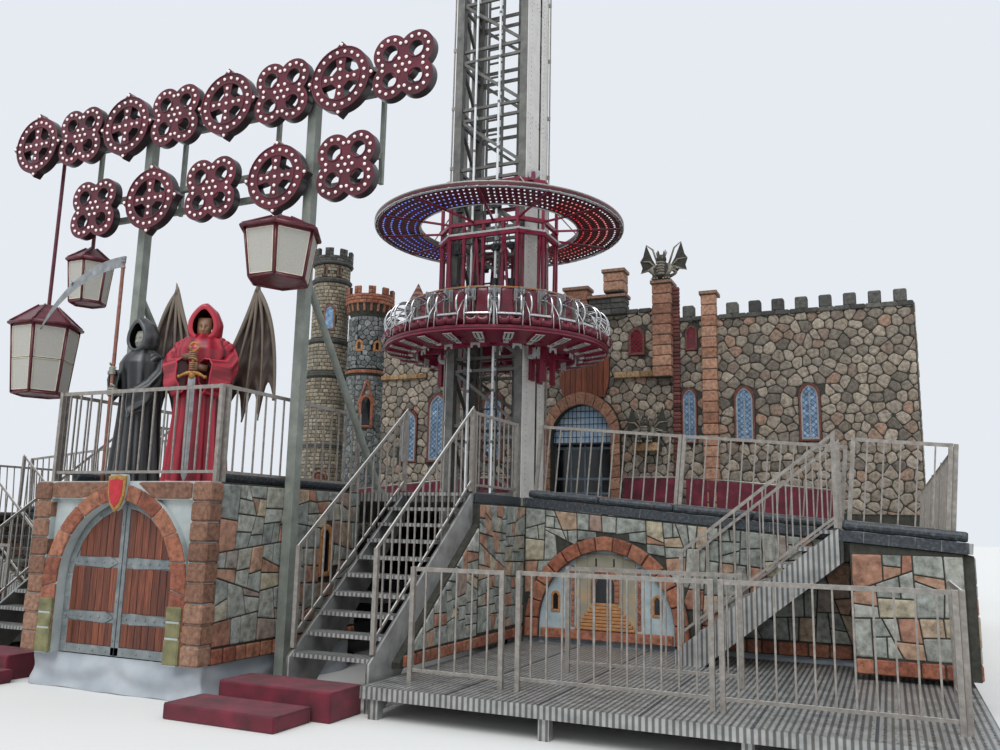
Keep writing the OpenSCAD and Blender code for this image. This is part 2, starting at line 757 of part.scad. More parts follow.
// Bulb-studded scroll ornaments in two rows, each on two stubs from its rails
module sign_ornaments() color(maroon) {
    gap = sign_post + 60;
    for (i = [0:7]) translate([-3290 + i * 850, -sign_py + sign_post / 2, upper_row_z]) ornament(i % 2, orn_h, gap);
    for (i = [0:4]) translate([-2050 + i * 1000, -sign_py + sign_post / 2, lower_row_z])
        ornament((i + 1) % 2, orn_h, gap);
}

// One ornament: its face stands in front of the rails by the gap, on two round stubs
module ornament(k, h, gap) {
    r = h / 2;
    for (z = [-95, 205]) translate([0, 0, z]) rotate([90, 0, 0]) cylinder(r = 22, h = gap, $fn = 24);
    translate([0, -gap, 0]) upright(110) if (k == 0) {
        difference() {
            circle(r * 0.86);
            circle(r * 0.56);
        }
        rotate(45) square(r * 0.5, center = true);
        for (a = [0:90:270]) rotate(a)
            polygon([[-r * 0.2, r * 0.8], [0, r], [r * 0.2, r * 0.8], [r * 0.1, r * 0.2], [-r * 0.1, r * 0.2]]);
    } else {
        for (a = [45:90:315]) rotate(a) translate([r * 0.5, 0]) difference() {
            circle(r * 0.48);
            circle(r * 0.2);
        }
        circle(r * 0.36);
    }
}

// Lanterns at the sign: one on an arm in front, two hung from the ends of the rails
module lanterns() color(maroon) {
    arm_r = 25;
    hang_y = -sign_py + sign_post / 2 + 35;
    post_face = -sign_py - sign_post / 2;
    front_y = post_face - lantern_w / 2 - 30;
    translate([sign_px + 60, front_y, 4430]) lantern(lantern_w, 540);
    translate([sign_px - 30, post_face - fit, 4720]) rotate([90, 0, 0]) cylinder(r = arm_r, h = 150, $fn = 24);
    hung_lantern(3100, hang_y, 3430, lantern_w, 930, upper_row_z - 130 - fit);
    hung_lantern(2360, hang_y, 4650, lantern_w * 0.66, 560, lower_row_z - 130 - fit);
}

// Lantern on a rod that comes down from a rail
module hung_lantern(x, y, z, w, h, rail_z) {
    translate([-x, y, z]) lantern(w, h);
    translate([-x, y, z + h]) cylinder(r = 25, h = rail_z - z - h, $fn = 24);
}

// One six-sided lantern on its foot: a cage wider above than below, and a peaked roof
module lantern(w, h) {
    r = w / 2;
    roof_h = h * 0.3;
    cylinder(r1 = r * 0.72, r2 = r * 0.9, h = h, $fn = 6);
    translate([0, 0, h]) cylinder(r = r, h = 40, $fn = 6);
    translate([0, 0, h + 40]) cylinder(r1 = r * 0.96, r2 = r * 0.25, h = roof_h, $fn = 6);
}

// Hooded guard with spread wings and a sword held point down
module winged_guard() color("crimson") translate([guard_x, -guard_y, deck_z]) {
    robe(guard_h, guard_r);
    for (s = [-1, 1]) {
        arm([s * guard_r * 0.72, 30, guard_h * 0.73], [s * guard_r * 0.85, -guard_r * 0.55, guard_h * 0.58],
            [s * 8, -guard_r - 64, guard_h * 0.62], guard_r * 0.24);
        mirror([s < 0 ? 1 : 0, 0, 0]) translate([0, guard_r + 60, 0]) {
            upright(50) wing_outline();
            translate([0, -20, 0]) upright(70) for (t = wing_tips) wing_rib([90, guard_h * 0.5], t);
        }
    }
    translate([0, guard_r - 40, guard_h * 0.45]) cube([260, 160, guard_h * 0.3], center = true);
    translate([0, -guard_r - 60, 0]) {
        upright(24) polygon([[0, 10], [40, 130], [40, 1180], [-40, 1180], [-40, 130]]);
        translate([-150, -30, 1180]) cube([300, 40, 46]);
        translate([0, -12, 1220]) cylinder(r = 20, h = 260, $fn = 24);
        translate([0, 4, 1530]) rotate([90, 0, 0]) difference() {
            cylinder(r = 62, h = 32);
            translate([0, 0, -1]) cylinder(r = 34, h = 34);
        }
    }
}

// Robe and pointed hood of a standing figure, with folds round its hem and a face opening
module robe(h, r) {
    difference() {
        rotate_extrude() polygon([[0, 0], [r * 0.95, 0], [r * 0.86, h * 0.2], [r * 0.74, h * 0.5],
            [r * 0.84, h * 0.64], [r * 0.87, h * 0.72], [r * 0.64, h * 0.79], [r * 0.36, h * 0.81],
            [r * 0.5, h * 0.85], [r * 0.46, h * 0.91], [r * 0.24, h * 0.97], [r * 0.1, h], [0, h]]);
        translate([0, -r * 0.22, h * 0.87]) rotate([90, 0, 0]) cylinder(r = r * 0.27, h = r);
    }
}

// Arm in a wide sleeve from the shoulder over the elbow to the hand
module arm(shoulder, elbow, hand, r) {
    rod(shoulder, elbow, r);
    rod(elbow, hand, r * 0.8);
}

// Outline of the right wing: a rib up to the tip, then a scalloped edge down past the finger tips
wing_tips = [[600, 2540], [880, 1860], [930, 1010], [720, 780], [500, 760]];
module wing_outline() {
    polygon([[60, 1100], [260, 1560], [430, 1950], wing_tips[0], [680, 2150], wing_tips[1], [830, 1420],
        wing_tips[2], [790, 1130], wing_tips[3], [620, 1030], wing_tips[4], [380, 960], [200, 830], [60, 900]]);
}

// Finger of a wing: a strip that narrows from the wing's root to one tip
module wing_rib(root, tip) {
    run = tip - root;
    side = [-run.y, run.x] / norm(run);
    polygon([root + 26 * side, root - 26 * side, tip - 6 * side, tip + 6 * side]);
}

// Hooded reaper with one hand on a scythe and the other held out
module reaper_statue() color("black") translate([-reaper_x, -reaper_y, deck_z]) {
    staff_y = -reaper_r - 40;
    robe(reaper_h, reaper_r);
    arm([-reaper_r * 0.7, 0, reaper_h * 0.74], [-reaper_r * 0.95, -reaper_r * 0.6, reaper_h * 0.58],
        [-90, staff_y, reaper_h * 0.66], reaper_r * 0.24);
    arm([reaper_r * 0.7, 0, reaper_h * 0.74], [reaper_r * 0.9, -reaper_r * 0.5, reaper_h * 0.58],
        [reaper_r * 0.3, staff_y, reaper_h * 0.5], reaper_r * 0.24);
    translate([-90, staff_y, 0]) cylinder(r = 22, h = 2700, $fn = 24);
    translate([-90, staff_y + 15, 2690]) upright(30) scythe_outline();
}

// Outline of the scythe's blade, its tang at the origin
module scythe_outline() {
    outer_r = 1500;
    inner_r = 1560;
    intersection() {
        difference() {
            translate([0, -outer_r]) circle(outer_r, $fn = 360);
            translate([60, -inner_r - 90]) circle(inner_r, $fn = 360);
        }
        translate([-1500, -800]) square([1530, 820]);
    }
}

// Backdrop of stone-faced panels: piers, ledges, windows, battlements and an open gateway
module castle_wall() color("gray") {
    low_x = 2800;
    left = short_x - short_r - 400;
    side_l = (left + portal_x - portal_w / 2) / 3;
    for (i = [0:2]) wall_panel(-left + i * side_l, -left + (i + 1) * side_l, castle_h);
    wall_panel(portal_x + portal_w / 2, low_x, castle_h);
    half_w = (deck_hx - low_x) / 2;
    for (i = [0:1]) wall_panel(low_x + i * half_w, low_x + (i + 1) * half_w, castle_low_h);
    gateway();
    battlements(-left, -900, castle_h);
    battlements(low_x, deck_hx, castle_low_h);
    pier(2230, 450, 5560, 8060, 330);
    pier(490, 960, 7290, 7840, 180);
    pier(900, 520, 7900, 8520, 200);
    pier(-190, 620, castle_h + fit, 8120, 200);
    pier(3440, 340, deck_z, 7700, 200);
    pier(-3000, 300, deck_z, 7300, 160);
    front_block(2690, 2850, deck_z, 7900, 100);
    front_block(portal_x + 900, 2180, 5620, 5760, 120);
    front_block(-left, -left + 1500, 5900, 6020, 110);
    translate([portal_x + 90, castle_y - fit, 5130]) upright(110) shield_outline(1360, 1060);
    for (w = small_windows) window_frame(w[0], w[1], w[2], w[3]);
    for (w = tall_windows) window_frame(w[0], w[1], w[2], w[3]);
    beast(2455, castle_y - 170, 8060 + fit, 1.0);
    beast(2030, castle_y - 330, 3900, 0.86);
    front_block(1700, 2360, 3700, 3900 - fit, 420);
}

// Middle, foot height, width and height of each pointed window
small_windows = [[1735, 6200, 430, 740], [3145, 6240, 300, 640], [-4100, 6150, 420, 740]];
tall_windows = [[-4005, 3500, 620, 1950], [-4915, 3500, 520, 1500], [-2300, 3500, 620, 1950],
    [3070, 3900, 380, 1380], [4400, 3900, 480, 1380], [5900, 3900, 480, 1380]];

// Panel of the backdrop between two distances across
module wall_panel(x0, x1, h) {
    seam = 3;
    translate([x0, castle_y, 0]) cube([x1 - x0 - seam, castle_t, h]);
}

// Open gateway: the wall over it, and a ring of stones round it
module gateway() {
    spring = portal_top - deck_z - portal_w * 0.54;
    outer = portal_w + 480;
    h = portal_top - deck_z;
    translate([portal_x, castle_y + castle_t, deck_z]) upright(castle_t) difference() {
        translate([-portal_w / 2, spring - 100]) square([portal_w - 3, castle_h - deck_z - spring + 100]);
        arch_outline(portal_w, h);
    }
    translate([portal_x, castle_y - fit, deck_z]) upright(140) difference() {
        arch_outline(outer, h + 330);
        translate([0, -1]) arch_outline(portal_w, h + 1);
    }
}

// Row of square battlements on top of the wall
module battlements(x0, x1, z) {
    merlon = 260;
    n = floor((x1 - x0) / (2 * merlon));
    for (i = [0:n - 1]) translate([x0 + (i + 0.25) * (x1 - x0) / n, castle_y, z + fit]) cube([merlon, castle_t, 300]);
}

// Square pier with a wider cap, between two heights
module pier(x, w, z0, z1, depth) {
    cap = 50;
    cap_h = 90;
    front_block(x, x + w, z0, z1 - cap_h, depth);
    translate([x - cap, castle_y - depth - cap, z1 - cap_h + fit])
        cube([w + 2 * cap, depth + castle_t + cap, cap_h - fit]);
}

// Block on the front of the backdrop from x0 to x1 and z0 to z1
module front_block(x0, x1, z0, z1, depth) {
    back = z0 > castle_h ? castle_t : -fit;
    translate([x0, castle_y - depth, z0]) cube([x1 - x0, depth + back, z1 - z0]);
}

// Crouching stone beast with raised wings, facing the front
module beast(x, y, z, k) translate([x, y, z]) scale(k) {
    translate([0, 60, 330]) sphere(r = 210, $fn = 32);
    translate([0, -40, 200]) sphere(r = 190, $fn = 32);
    translate([0, -90, 560]) sphere(r = 130, $fn = 32);
    translate([0, -190, 530]) rotate([90, 0, 0]) cylinder(r1 = 80, r2 = 45, h = 110);
    for (s = [-1, 1]) {
        translate([s * 150, -130, 0]) cylinder(r1 = 90, r2 = 60, h = 330);
        translate([s * 70, -90, 640]) cylinder(r1 = 45, r2 = 8, h = 150);
        mirror([s < 0 ? 1 : 0, 0, 0]) translate([60, 190, 250]) upright(40)
            polygon([[0, 0], [240, 420], [400, 820], [480, 500], [560, 380],
                [500, 200], [540, 60], [380, 130], [230, -20], [140, 80]]);
    }
}

// Raised frame of a pointed window
module window_frame(x, z, w, h) {
    border = w * 0.16;
    translate([x, castle_y, z]) upright(50) difference() {
        arch_outline(w, h);
        translate([0, border]) arch_outline(w - 2 * border, h - 2 * border);
    }
}

// Round towers at the backdrop's left end, tall and short, and a turret with a pointed roof
module castle_towers() color("gray") {
    tower_y = castle_y + max(tall_r, short_r) + 60;
    ledge = 50;
    tall_neck = tall_r - 70;
    crown_h = 420;
    translate([-tall_x, tower_y, 0]) {
        rotate_extrude() polygon([[0, 0], [tall_r, 0], [tall_r, 6150], [tall_r + ledge, 6200], [tall_r + ledge, 6300],
            [tall_r - 20, 6350], [tall_r - 20, 7200], [tall_r + 30, 7250], [tall_r + 30, 7340], [tall_neck, 7380],
            [tall_neck, tall_h - 1090], [tall_neck + ledge, tall_h - 1050], [tall_neck + ledge, tall_h - 980],
            [tall_neck - 10, tall_h - 950], [tall_neck - 10, tall_h - 500],
            [tall_neck + 60, tall_h - crown_h], [0, tall_h - crown_h]]);
        translate([0, 0, tall_h - crown_h + fit]) crown(tall_neck + 60, crown_h - fit, 8);
    }
    translate([-short_x, tower_y, 0]) {
        rotate_extrude() polygon([[0, 0], [short_r, 0], [short_r, 6150],
            [short_r + ledge, 6200], [short_r + ledge, 6290],
            [short_r - 30, 6320], [short_r - 30, short_h - 900], [short_r + 70, short_h - 620],
            [short_r + 130, short_h - crown_h], [0, short_h - crown_h]]);
        translate([0, 0, short_h - crown_h + fit]) crown(short_r + 130, crown_h - fit, 10);
    }
    translate([-short_x + short_r + 1150, castle_y + castle_t + 320, 0]) rotate_extrude()
        polygon([[0, 0], [300, 0], [300, castle_h + 650], [380, castle_h + 690], [0, castle_h + 1500]]);
}

// Ring of battlements on a round tower
module crown(r, h, n) {
    difference() {
        cylinder(r = r, h = h);
        translate([0, 0, h * 0.3]) cylinder(r = r - 110, h = h);
        for (i = [0:n / 2 - 1]) rotate([0, 0, i * 360 / n]) translate([-r - 100, -r * 0.17, h * 0.45])
            cube([2 * r + 200, r * 0.34, h]);
    }
}

// Welded frame of the carriage: four closed rings, posts, and arms out to the seat ring
module carriage_frame() color("crimson") {
    base = ring_z;
    post_pts = [for (s = [-1, 1], t = [-1, 1], q = [0, 1])
        q == 0 ? [s * (cage_hx - cage_cut), t * cage_hy] : [s * cage_hx, t * (cage_hy - cage_cut)]];
    for (z = [0, cage_low_h, cage_mid_h, cage_h - cage_tube])
        translate([0, 0, base + z]) cage_ring(cage_hx, cage_hy, cage_cut, cage_tube, cage_tube);
    for (p = post_pts) {
        d = p / norm(p) * cage_tube * 0.6;
        translate([p.x - d.x - 30, p.y - d.y - 30, base]) cube([60, 60, cage_h - 10]);
    }
    for (a = [15:30:345]) rotate([0, 0, a]) translate([-20, -halo_r + 60, base + halo_h - 40 - fit])
        cube([40, halo_r - 60 - cage_r(a) + 50, 40]);
    for (x = [-450, 0, 450], s = [-1, 1])
        translate([x - 30, s * (cage_hy - cage_tube / 2) - 30, base + 10]) cube([60, 60, cage_mid_h]);
    both_sides() front_and_back() for (z = [base, base + cage_h]) {
        up = z > base ? 1 : -1;
        translate([roller_px - 40, -cage_hy + 130, z > base ? z - 60 : z])
            cube([80, cage_hy - 130 - roller_py + 90, 60]);
        for (s = [-1, 1])
            translate([roller_px - 40, -roller_py + s * (roller_w / 2 + 36.3) - 6,
                up > 0 ? z - 1 : z - roller_drop - 40]) cube([80, 12, roller_drop + 41]);
    }
    difference() {
        for (i = [0:11]) rotate([0, 0, i * 30 + 15])
            translate([-40, -ring_inner_r + 2, base + 5]) cube([80, ring_inner_r - 700, 70]);
        translate([0, 0, base]) linear_extrude(cage_tube) cut_corner(cage_hx - 10, cage_hy - 10, cage_cut - 5);
    }
}

// Flat annular light panel above the seats
module light_ring() color(maroon) translate([0, 0, ring_z + halo_h]) difference() {
    cylinder(r = halo_r, h = halo_t, $fn = 96);
    translate([0, 0, -1]) cylinder(r = halo_inner_r, h = halo_t + 2, $fn = 96);
}

// Rim tubes of the light ring, its spokes, and the stays up to the carriage's top ring
module light_ring_stays() color(steel) {
    z = ring_z + halo_h + halo_t;
    eye_r = 22;
    for (r = [halo_r - rim_r, halo_inner_r + rim_r])
        translate([0, 0, z + rim_r]) rotate_extrude($fn = 96) translate([r, 0]) circle(rim_r, $fn = 16);
    for (a = [15:30:345]) rotate([0, 0, a]) {
        lean = a % 90 == 45 ? 1 : cos(15);
        eye_y = cage_r(a) + (eye_r + fit) / lean;
        translate([-15, -halo_r + rim_r, z]) cube([30, halo_r - halo_inner_r - 2 * rim_r, 30]);
        rod([0, -halo_inner_r - 340, z + 20], [0, -eye_y, ring_z + cage_h - cage_tube / 2], 14);
        translate([0, -eye_y, ring_z + cage_h - cage_tube / 2]) sphere(r = eye_r);
    }
}

// Ring that carries the seats: its underside slopes down towards the middle
module seat_ring() color("crimson") translate([0, 0, ring_z]) rotate_extrude($fn = 96)
    polygon([[ring_inner_r, -ring_slope], [ring_r, 0], [ring_r, ring_t - fit], [ring_inner_r, ring_t - fit]]);

// Seat backs: waisted shells standing on the ring's inner edge
module seat_backs() color(maroon) at_seats() translate([0, -hinge_r + 130, seat_z])
    upright(back_t) seat_back_outline();

module seat_back_outline() {
    w_top = back_top_w / 2;
    w_low = 175;
    polygon([[-w_low, 0], [w_low, 0], [w_low, back_h * 0.35], [w_low * 0.86, back_h * 0.5],
        [w_top, back_h * 0.62], [w_top, back_h], [-w_top, back_h], [-w_top, back_h * 0.62],
        [-w_low * 0.86, back_h * 0.5], [-w_low, back_h * 0.35]]);
}

// Seat pans: each has two round troughs for the legs
module seat_pans() color(maroon) at_seats() translate([0, -hinge_r + 66, seat_z])
    upright(pan_r - hinge_r + 66) difference() {
        translate([-pan_w / 2, 0]) square([pan_w, pan_h]);
        for (s = [-1, 1]) translate([s * pan_w / 4, pan_h]) circle(75);
    }

// Clear boards between the seat backs with the lugs and pins of the restraint hinges
module head_band() color("lightgray") {
    half = seat_step / 2;
    pin_x = boss_x - boss_l / 2 - 4;
    pin_l = hinge_r * tan(half) - pin_x + 4;
    band_z = seat_z + back_h - 30;
    for (i = [0:seat_count - 1]) rotate([0, 0, i * seat_step]) {
        rotate([0, 0, half]) {
            translate([-10, -hinge_r - 45, hinge_z - 70]) cube([20, hinge_r + 45 - band_r - 4, 300]);
            translate([-110, -band_r - 4, hinge_z - 40]) cube([220, 12, band_z - hinge_z + 60]);
        }
        for (s = [-1, 1]) translate([s * (pin_x + pin_l / 2), -hinge_r, hinge_z]) rotate([0, 90, 0])
            cylinder(r = pin_r, h = pin_l, center = true);
    }
    translate([0, 0, band_z]) rotate_extrude($fn = 96) translate([band_r, 0]) square([14, 24]);
}

// One over-the-shoulder restraint: two bent tubes on hinge bosses, joined by a lap bar
module restraint(i) color(steel) rotate([0, 0, i * seat_step]) {
    bend_y = hinge_r + 180;
    bend_z = hinge_z - 214;
    lap_a = 46;
    difference() {
        union() {
            for (s = [-1, 1]) {
                translate([s * boss_x, -hinge_r, hinge_z]) rotate([0, 90, 0])
                    cylinder(r = 30, h = boss_l, center = true);
                translate([s * boss_x, -bend_y, bend_z]) rotate([0, 0, 90]) rotate([90, 0, 180])
                    rotate_extrude(angle = 126 + lap_a, start = -lap_a) translate([bend_r, 0]) circle(bar_r, $fn = 16);
            }
            translate([0, -bend_y - bend_r * cos(lap_a), bend_z - bend_r * sin(lap_a)]) rotate([0, 90, 0])
                cylinder(r = 34, h = 2 * boss_x + boss_l, center = true, $fn = 24);
        }
        for (s = [-1, 1]) translate([s * boss_x, -hinge_r, hinge_z]) rotate([0, 90, 0])
            cylinder(r = pin_r + pin_gap, h = boss_l + 80, center = true);
    }
}

// Light trays under the seats' ring, and round-bottomed brackets at its inner edge
module light_trays() color("lightgray") {
    slope = atan(ring_slope / (ring_r - ring_inner_r));
    tray = [200, 420, 40];
    wall = 8;
    at_seats() translate([0, -ring_r, ring_z]) rotate([-slope, 0, 0]) translate([-tray.x / 2, 70, -tray.z - fit])
        difference() {
            cube(tray);
            translate([wall, wall, -wall]) cube([tray.x - 2 * wall, tray.y - 2 * wall, tray.z]);
        }
    for (a = [10, 38, 66]) both_sides() front_and_back() rotate([0, 0, a]) ring_bracket();
    for (s = [-1, 1]) rotate([0, 0, s * 90]) ring_bracket();
}

// Bracket on the ring's inner edge: a plate with a half-round recess in its lower edge
module ring_bracket() {
    w = 190;
    translate([0, -ring_inner_r + 26, ring_z - ring_slope - 40]) upright(20) difference() {
        translate([-w / 2, -60]) square([w, 190]);
        translate([0, -60]) circle(62);
    }
}

// Legs below the carriage with the brake shoes
module carriage_legs() color("crimson") both_sides() front_and_back() {
    shoe_x = plate_face + guide_gap + 60;
    translate([cage_hx - cage_tube - 20, cage_hy - cage_cut - 200, ring_z - leg_len]) cube([90, 120, leg_len]);
    translate([plate_face + guide_gap, 120, ring_z - leg_len + 40]) cube([60, 200, 480]);
    translate([shoe_x, 160, ring_z - 300]) cube([cage_hx - cage_tube - 20 - shoe_x, 100, 80]);
}

// Guide rollers that run on the side plates, above and below
module guide_rollers() color("darkgray") both_sides() front_and_back()
    for (z = [ring_z - roller_drop, ring_z + cage_h + roller_drop])
        translate([roller_px, -roller_py, z]) rotate([90, 0, 0]) {
            cylinder(r = roller_r, h = roller_w, center = true);
            cylinder(r = 22, h = roller_w + 60, center = true, $fn = 24);
        }

base_frame();
mast_columns();
mast_lattice();
mast_side_lattice();
side_plates();
mast_head();
ladder();
light_tubes();
main_deck();
deck_logs();
gate_wall();
gate_doors();
stone_walls();
stair_flights();
deck_rails();
low_fences();
low_decks();
carpet_steps();
skirts();
sign_posts();
sign_ornaments();
lanterns();
winged_guard();
reaper_statue();
castle_wall();
castle_towers();
carriage_frame();
light_ring();
light_ring_stays();
seat_ring();
seat_backs();
seat_pans();
head_band();
light_trays();
carriage_legs();
guide_rollers();
for (i = [0:seat_count - 1]) restraint(i);
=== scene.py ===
import math
import random

import bmesh
import bpy
from mathutils import Matrix, Vector


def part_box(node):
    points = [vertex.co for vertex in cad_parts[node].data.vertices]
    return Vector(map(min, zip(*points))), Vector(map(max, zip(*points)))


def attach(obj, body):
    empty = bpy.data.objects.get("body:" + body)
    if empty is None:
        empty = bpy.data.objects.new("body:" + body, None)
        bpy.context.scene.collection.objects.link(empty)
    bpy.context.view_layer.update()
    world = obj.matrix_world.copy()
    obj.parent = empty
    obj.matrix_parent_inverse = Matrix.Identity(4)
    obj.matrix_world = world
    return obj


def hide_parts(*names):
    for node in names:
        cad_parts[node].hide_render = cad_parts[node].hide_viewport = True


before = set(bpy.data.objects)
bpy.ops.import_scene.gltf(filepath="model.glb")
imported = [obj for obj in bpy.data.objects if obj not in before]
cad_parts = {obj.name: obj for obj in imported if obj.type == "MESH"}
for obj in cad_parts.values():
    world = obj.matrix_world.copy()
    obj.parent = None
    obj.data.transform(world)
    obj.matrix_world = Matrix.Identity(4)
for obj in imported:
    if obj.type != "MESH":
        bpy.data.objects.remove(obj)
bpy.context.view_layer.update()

# The camera stands where the photographer stood: eye height, right of the gate's axis,
# looking up a little at the mast with the phone-like lens of the photograph.
EYE = Vector((7.48, -16.59, 1.80))
YAW = math.radians(24.0)
PITCH = math.radians(9.8)
ROLL = math.radians(1.23)
forward = Vector((-math.cos(PITCH) * math.sin(YAW), math.cos(PITCH) * math.cos(YAW), math.sin(PITCH)))
level_right = Vector((math.cos(YAW), math.sin(YAW), 0.0))
level_up = level_right.cross(forward)
right = math.cos(ROLL) * level_right + math.sin(ROLL) * level_up
up = math.cos(ROLL) * level_up - math.sin(ROLL) * level_right
camera_data = bpy.data.cameras.new("camera")
camera_data.sensor_width = 36.0
camera_data.lens = 31.32
camera_data.clip_end = 500.0
camera = bpy.data.objects.new("camera", camera_data)
camera.matrix_world = Matrix((
    (right.x, up.x, -forward.x, EYE.x),
    (right.y, up.y, -forward.y, EYE.y),
    (right.z, up.z, -forward.z, EYE.z),
    (0.0, 0.0, 0.0, 1.0),
))
bpy.context.scene.collection.objects.link(camera)
bpy.context.scene.camera = camera


# Studio: a pale matt floor, an even overcast sky and one wide soft lamp.
def hex_colour(code):
    """Turns an sRGB hex value such as "8a8d90" into a linear colour."""
    channels = [int(code[i:i + 2], 16) / 255.0 for i in (0, 2, 4)]
    linear = [c / 12.92 if c <= 0.04045 else ((c + 0.055) / 1.055) ** 2.4 for c in channels]
    return (*linear, 1.0)


def add_node(tree, kind, settings=None, **links):
    """Adds a shader node; inputs go by identifier or name, and stops are (place, sRGB hex)."""
    made = tree.nodes.new("ShaderNode" + kind)

    def entry(name):
        exact = [socket for socket in made.inputs if socket.identifier == name]
        return exact[0] if exact else made.inputs[name.replace("_", " ")]

    for name, value in (settings or {}).items():
        if name == "stops":
            band = made.color_ramp.elements
            while len(band) < len(value):
                band.new(0.5)
            for stop, (place, code) in zip(band, value):
                stop.position = place
                stop.color = hex_colour(code)
        elif hasattr(made, name):
            setattr(made, name, value)
        else:
            entry(name).default_value = value
    for name, source in links.items():
        tree.links.new(source, entry(name))
    return made


def new_material(name, colour, roughness, metallic=0.0):
    """A material with its shader set to a plain start; returns material, tree and shader."""
    made = bpy.data.materials.new(name)
    made.use_nodes = True
    shader = made.node_tree.nodes["Principled BSDF"]
    shader.inputs["Base Color"].default_value = hex_colour(colour)
    shader.inputs["Roughness"].default_value = roughness
    shader.inputs["Metallic"].default_value = metallic
    return made, made.node_tree, shader


world = bpy.data.worlds.new("overcast")
world.use_nodes = True
bpy.context.scene.world = world
sky = world.node_tree.nodes["Background"]
sky.inputs["Color"].default_value = hex_colour("e6ebf2")
sky.inputs["Strength"].default_value = 1.0
lamp_data = bpy.data.lights.new("soft_sun", "SUN")
lamp_data.energy = 1.9
lamp_data.angle = math.radians(40.0)
lamp = bpy.data.objects.new("soft_sun", lamp_data)
lamp.rotation_euler = (math.radians(38.0), math.radians(12.0), math.radians(-10.0))
bpy.context.scene.collection.objects.link(lamp)
floor_mesh = bpy.data.meshes.new("floor")
FLOOR_HALF = 150.0
floor_mesh.from_pydata(
    [(-FLOOR_HALF, -FLOOR_HALF, 0), (FLOOR_HALF, -FLOOR_HALF, 0), (FLOOR_HALF, FLOOR_HALF, 0),
     (-FLOOR_HALF, FLOOR_HALF, 0)],
    [], [(0, 1, 2, 3)])
floor = bpy.data.objects.new("floor", floor_mesh)
floor_paint, _, _ = new_material("pale_floor", "d9d9d6", 0.9)
floor_mesh.materials.append(floor_paint)
bpy.context.scene.collection.objects.link(floor)
bpy.context.scene.view_settings.view_transform = "Standard"


# The mast's four columns, its lattice, the head frame and every railing are hot-dip galvanised
# steel: mild steel dipped in molten zinc, which leaves a dull grey skin with faint crystal spangles.
def mottled(name, stops, patch_mm, roughness, metallic=0.0, relief_mm=0.0, grain_mm=4.0):
    """A finish whose colour drifts in patches, with fine relief; roughness is (low, high)."""
    made, tree, shader = new_material(name, stops[0][1], roughness[0], metallic)
    place = add_node(tree, "TexCoord").outputs["Object"]
    patches = add_node(tree, "TexNoise", {"Scale": 1000.0 / patch_mm, "Detail": 4.0, "Roughness": 0.6},
                       Vector=place)
    tint = add_node(tree, "ValToRGB", {"stops": stops}, Fac=patches.outputs["Fac"])
    tree.links.new(tint.outputs["Color"], shader.inputs["Base Color"])
    worn = add_node(tree, "MapRange", {"From Min": 0.3, "From Max": 0.7, "To Min": roughness[0],
                                       "To Max": roughness[1]},
                    Value=patches.outputs["Fac"])
    tree.links.new(worn.outputs["Result"], shader.inputs["Roughness"])
    if relief_mm:
        grain = add_node(tree, "TexNoise", {"Scale": 1000.0 / grain_mm, "Detail": 2.0}, Vector=place)
        bump = add_node(tree, "Bump", {"Distance": relief_mm / 1000.0, "Strength": 0.8},
                        Height=grain.outputs["Fac"])
        tree.links.new(bump.outputs["Normal"], shader.inputs["Normal"])
    return made


def dress(node_name, material):
    """Gives a carried-over part its finish."""
    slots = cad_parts[node_name].data.materials
    slots.clear()
    slots.append(material)


# Zinc spangle is about 10 to 20 mm across; it reads as a soft grey mottle, half dull, half bright.
galvanised = mottled("galvanised_steel", ((0.3, "7c7771"), (0.55, "918b84"), (0.75, "a59f98")),
                     60.0, (0.32, 0.48), 0.45, 0.3, 14.0)
# Its level faces are painted near white, a painted highlight for the sky's reflection on them, while its
# sides keep the zinc's grey.
rail_tree = galvanised.node_tree
rail_shader = rail_tree.nodes["Principled BSDF"]
rail_zinc = rail_shader.inputs["Base Color"].links[0].from_socket
rail_side = add_node(rail_tree, "NewGeometry")
rail_up = add_node(rail_tree, "SeparateXYZ", Vector=rail_side.outputs["Normal"])
rail_top_highlight = add_node(rail_tree, "ValToRGB", {"stops": ((0.5, "000000"), (0.85, "ffffff"))},
                     Fac=rail_up.outputs["Z"])
rail_mix = add_node(rail_tree, "Mix", {"data_type": "RGBA", "B_Color": hex_colour("e6e4df")},
                    Factor_Float=rail_top_highlight.outputs["Color"], A_Color=rail_zinc)
rail_tree.links.new(rail_mix.outputs[2], rail_shader.inputs["Base Color"])
# Older zinc on the mast has weathered darker and flatter, in patches.
mast_zinc = mottled("weathered_zinc", ((0.3, "50504d"), (0.6, "6c6c68"), (0.8, "82827d")), 220.0,
                    (0.42, 0.6), 0.4, 0.3, 18.0)
for part in ("mast_columns", "mast_lattice", "mast_side_lattice", "mast_head", "ladder"):
    dress(part, mast_zinc)
for part in ("deck_rails", "low_fences", "light_ring_stays"):
    dress(part, galvanised)
# The sign's posts are painted over their zinc; the paint chalks to a grey green.
post_paint = mottled("chalky_grey_green_paint", ((0.3, "6c716b"), (0.6, "82877f"), (0.8, "959990")),
                     180.0, (0.5, 0.65), 0.1, 0.2, 12.0)
dress("sign_posts", post_paint)


# Running plates on the mast's sides: painted steel strips, drilled in one long row for the
# catches, with a bolted splice at every second bay. The guide strip beside them is bare steel.
plate_paint = mottled("grey_plate_paint", ((0.3, "c3c1bb"), (0.6, "d2d0ca"), (0.8, "dcdad4")), 300.0,
                      (0.45, 0.6), 0.1, 0.2, 10.0)
dress("side_plates", plate_paint)
# Each drilled hole is a flat near-black disc: painted shade for the hole's dark inside.
hole_shade_black = mottled("drilled_hole", ((0.4, "1b1b1c"), (0.7, "29292a")), 20.0, (0.8, 0.9))


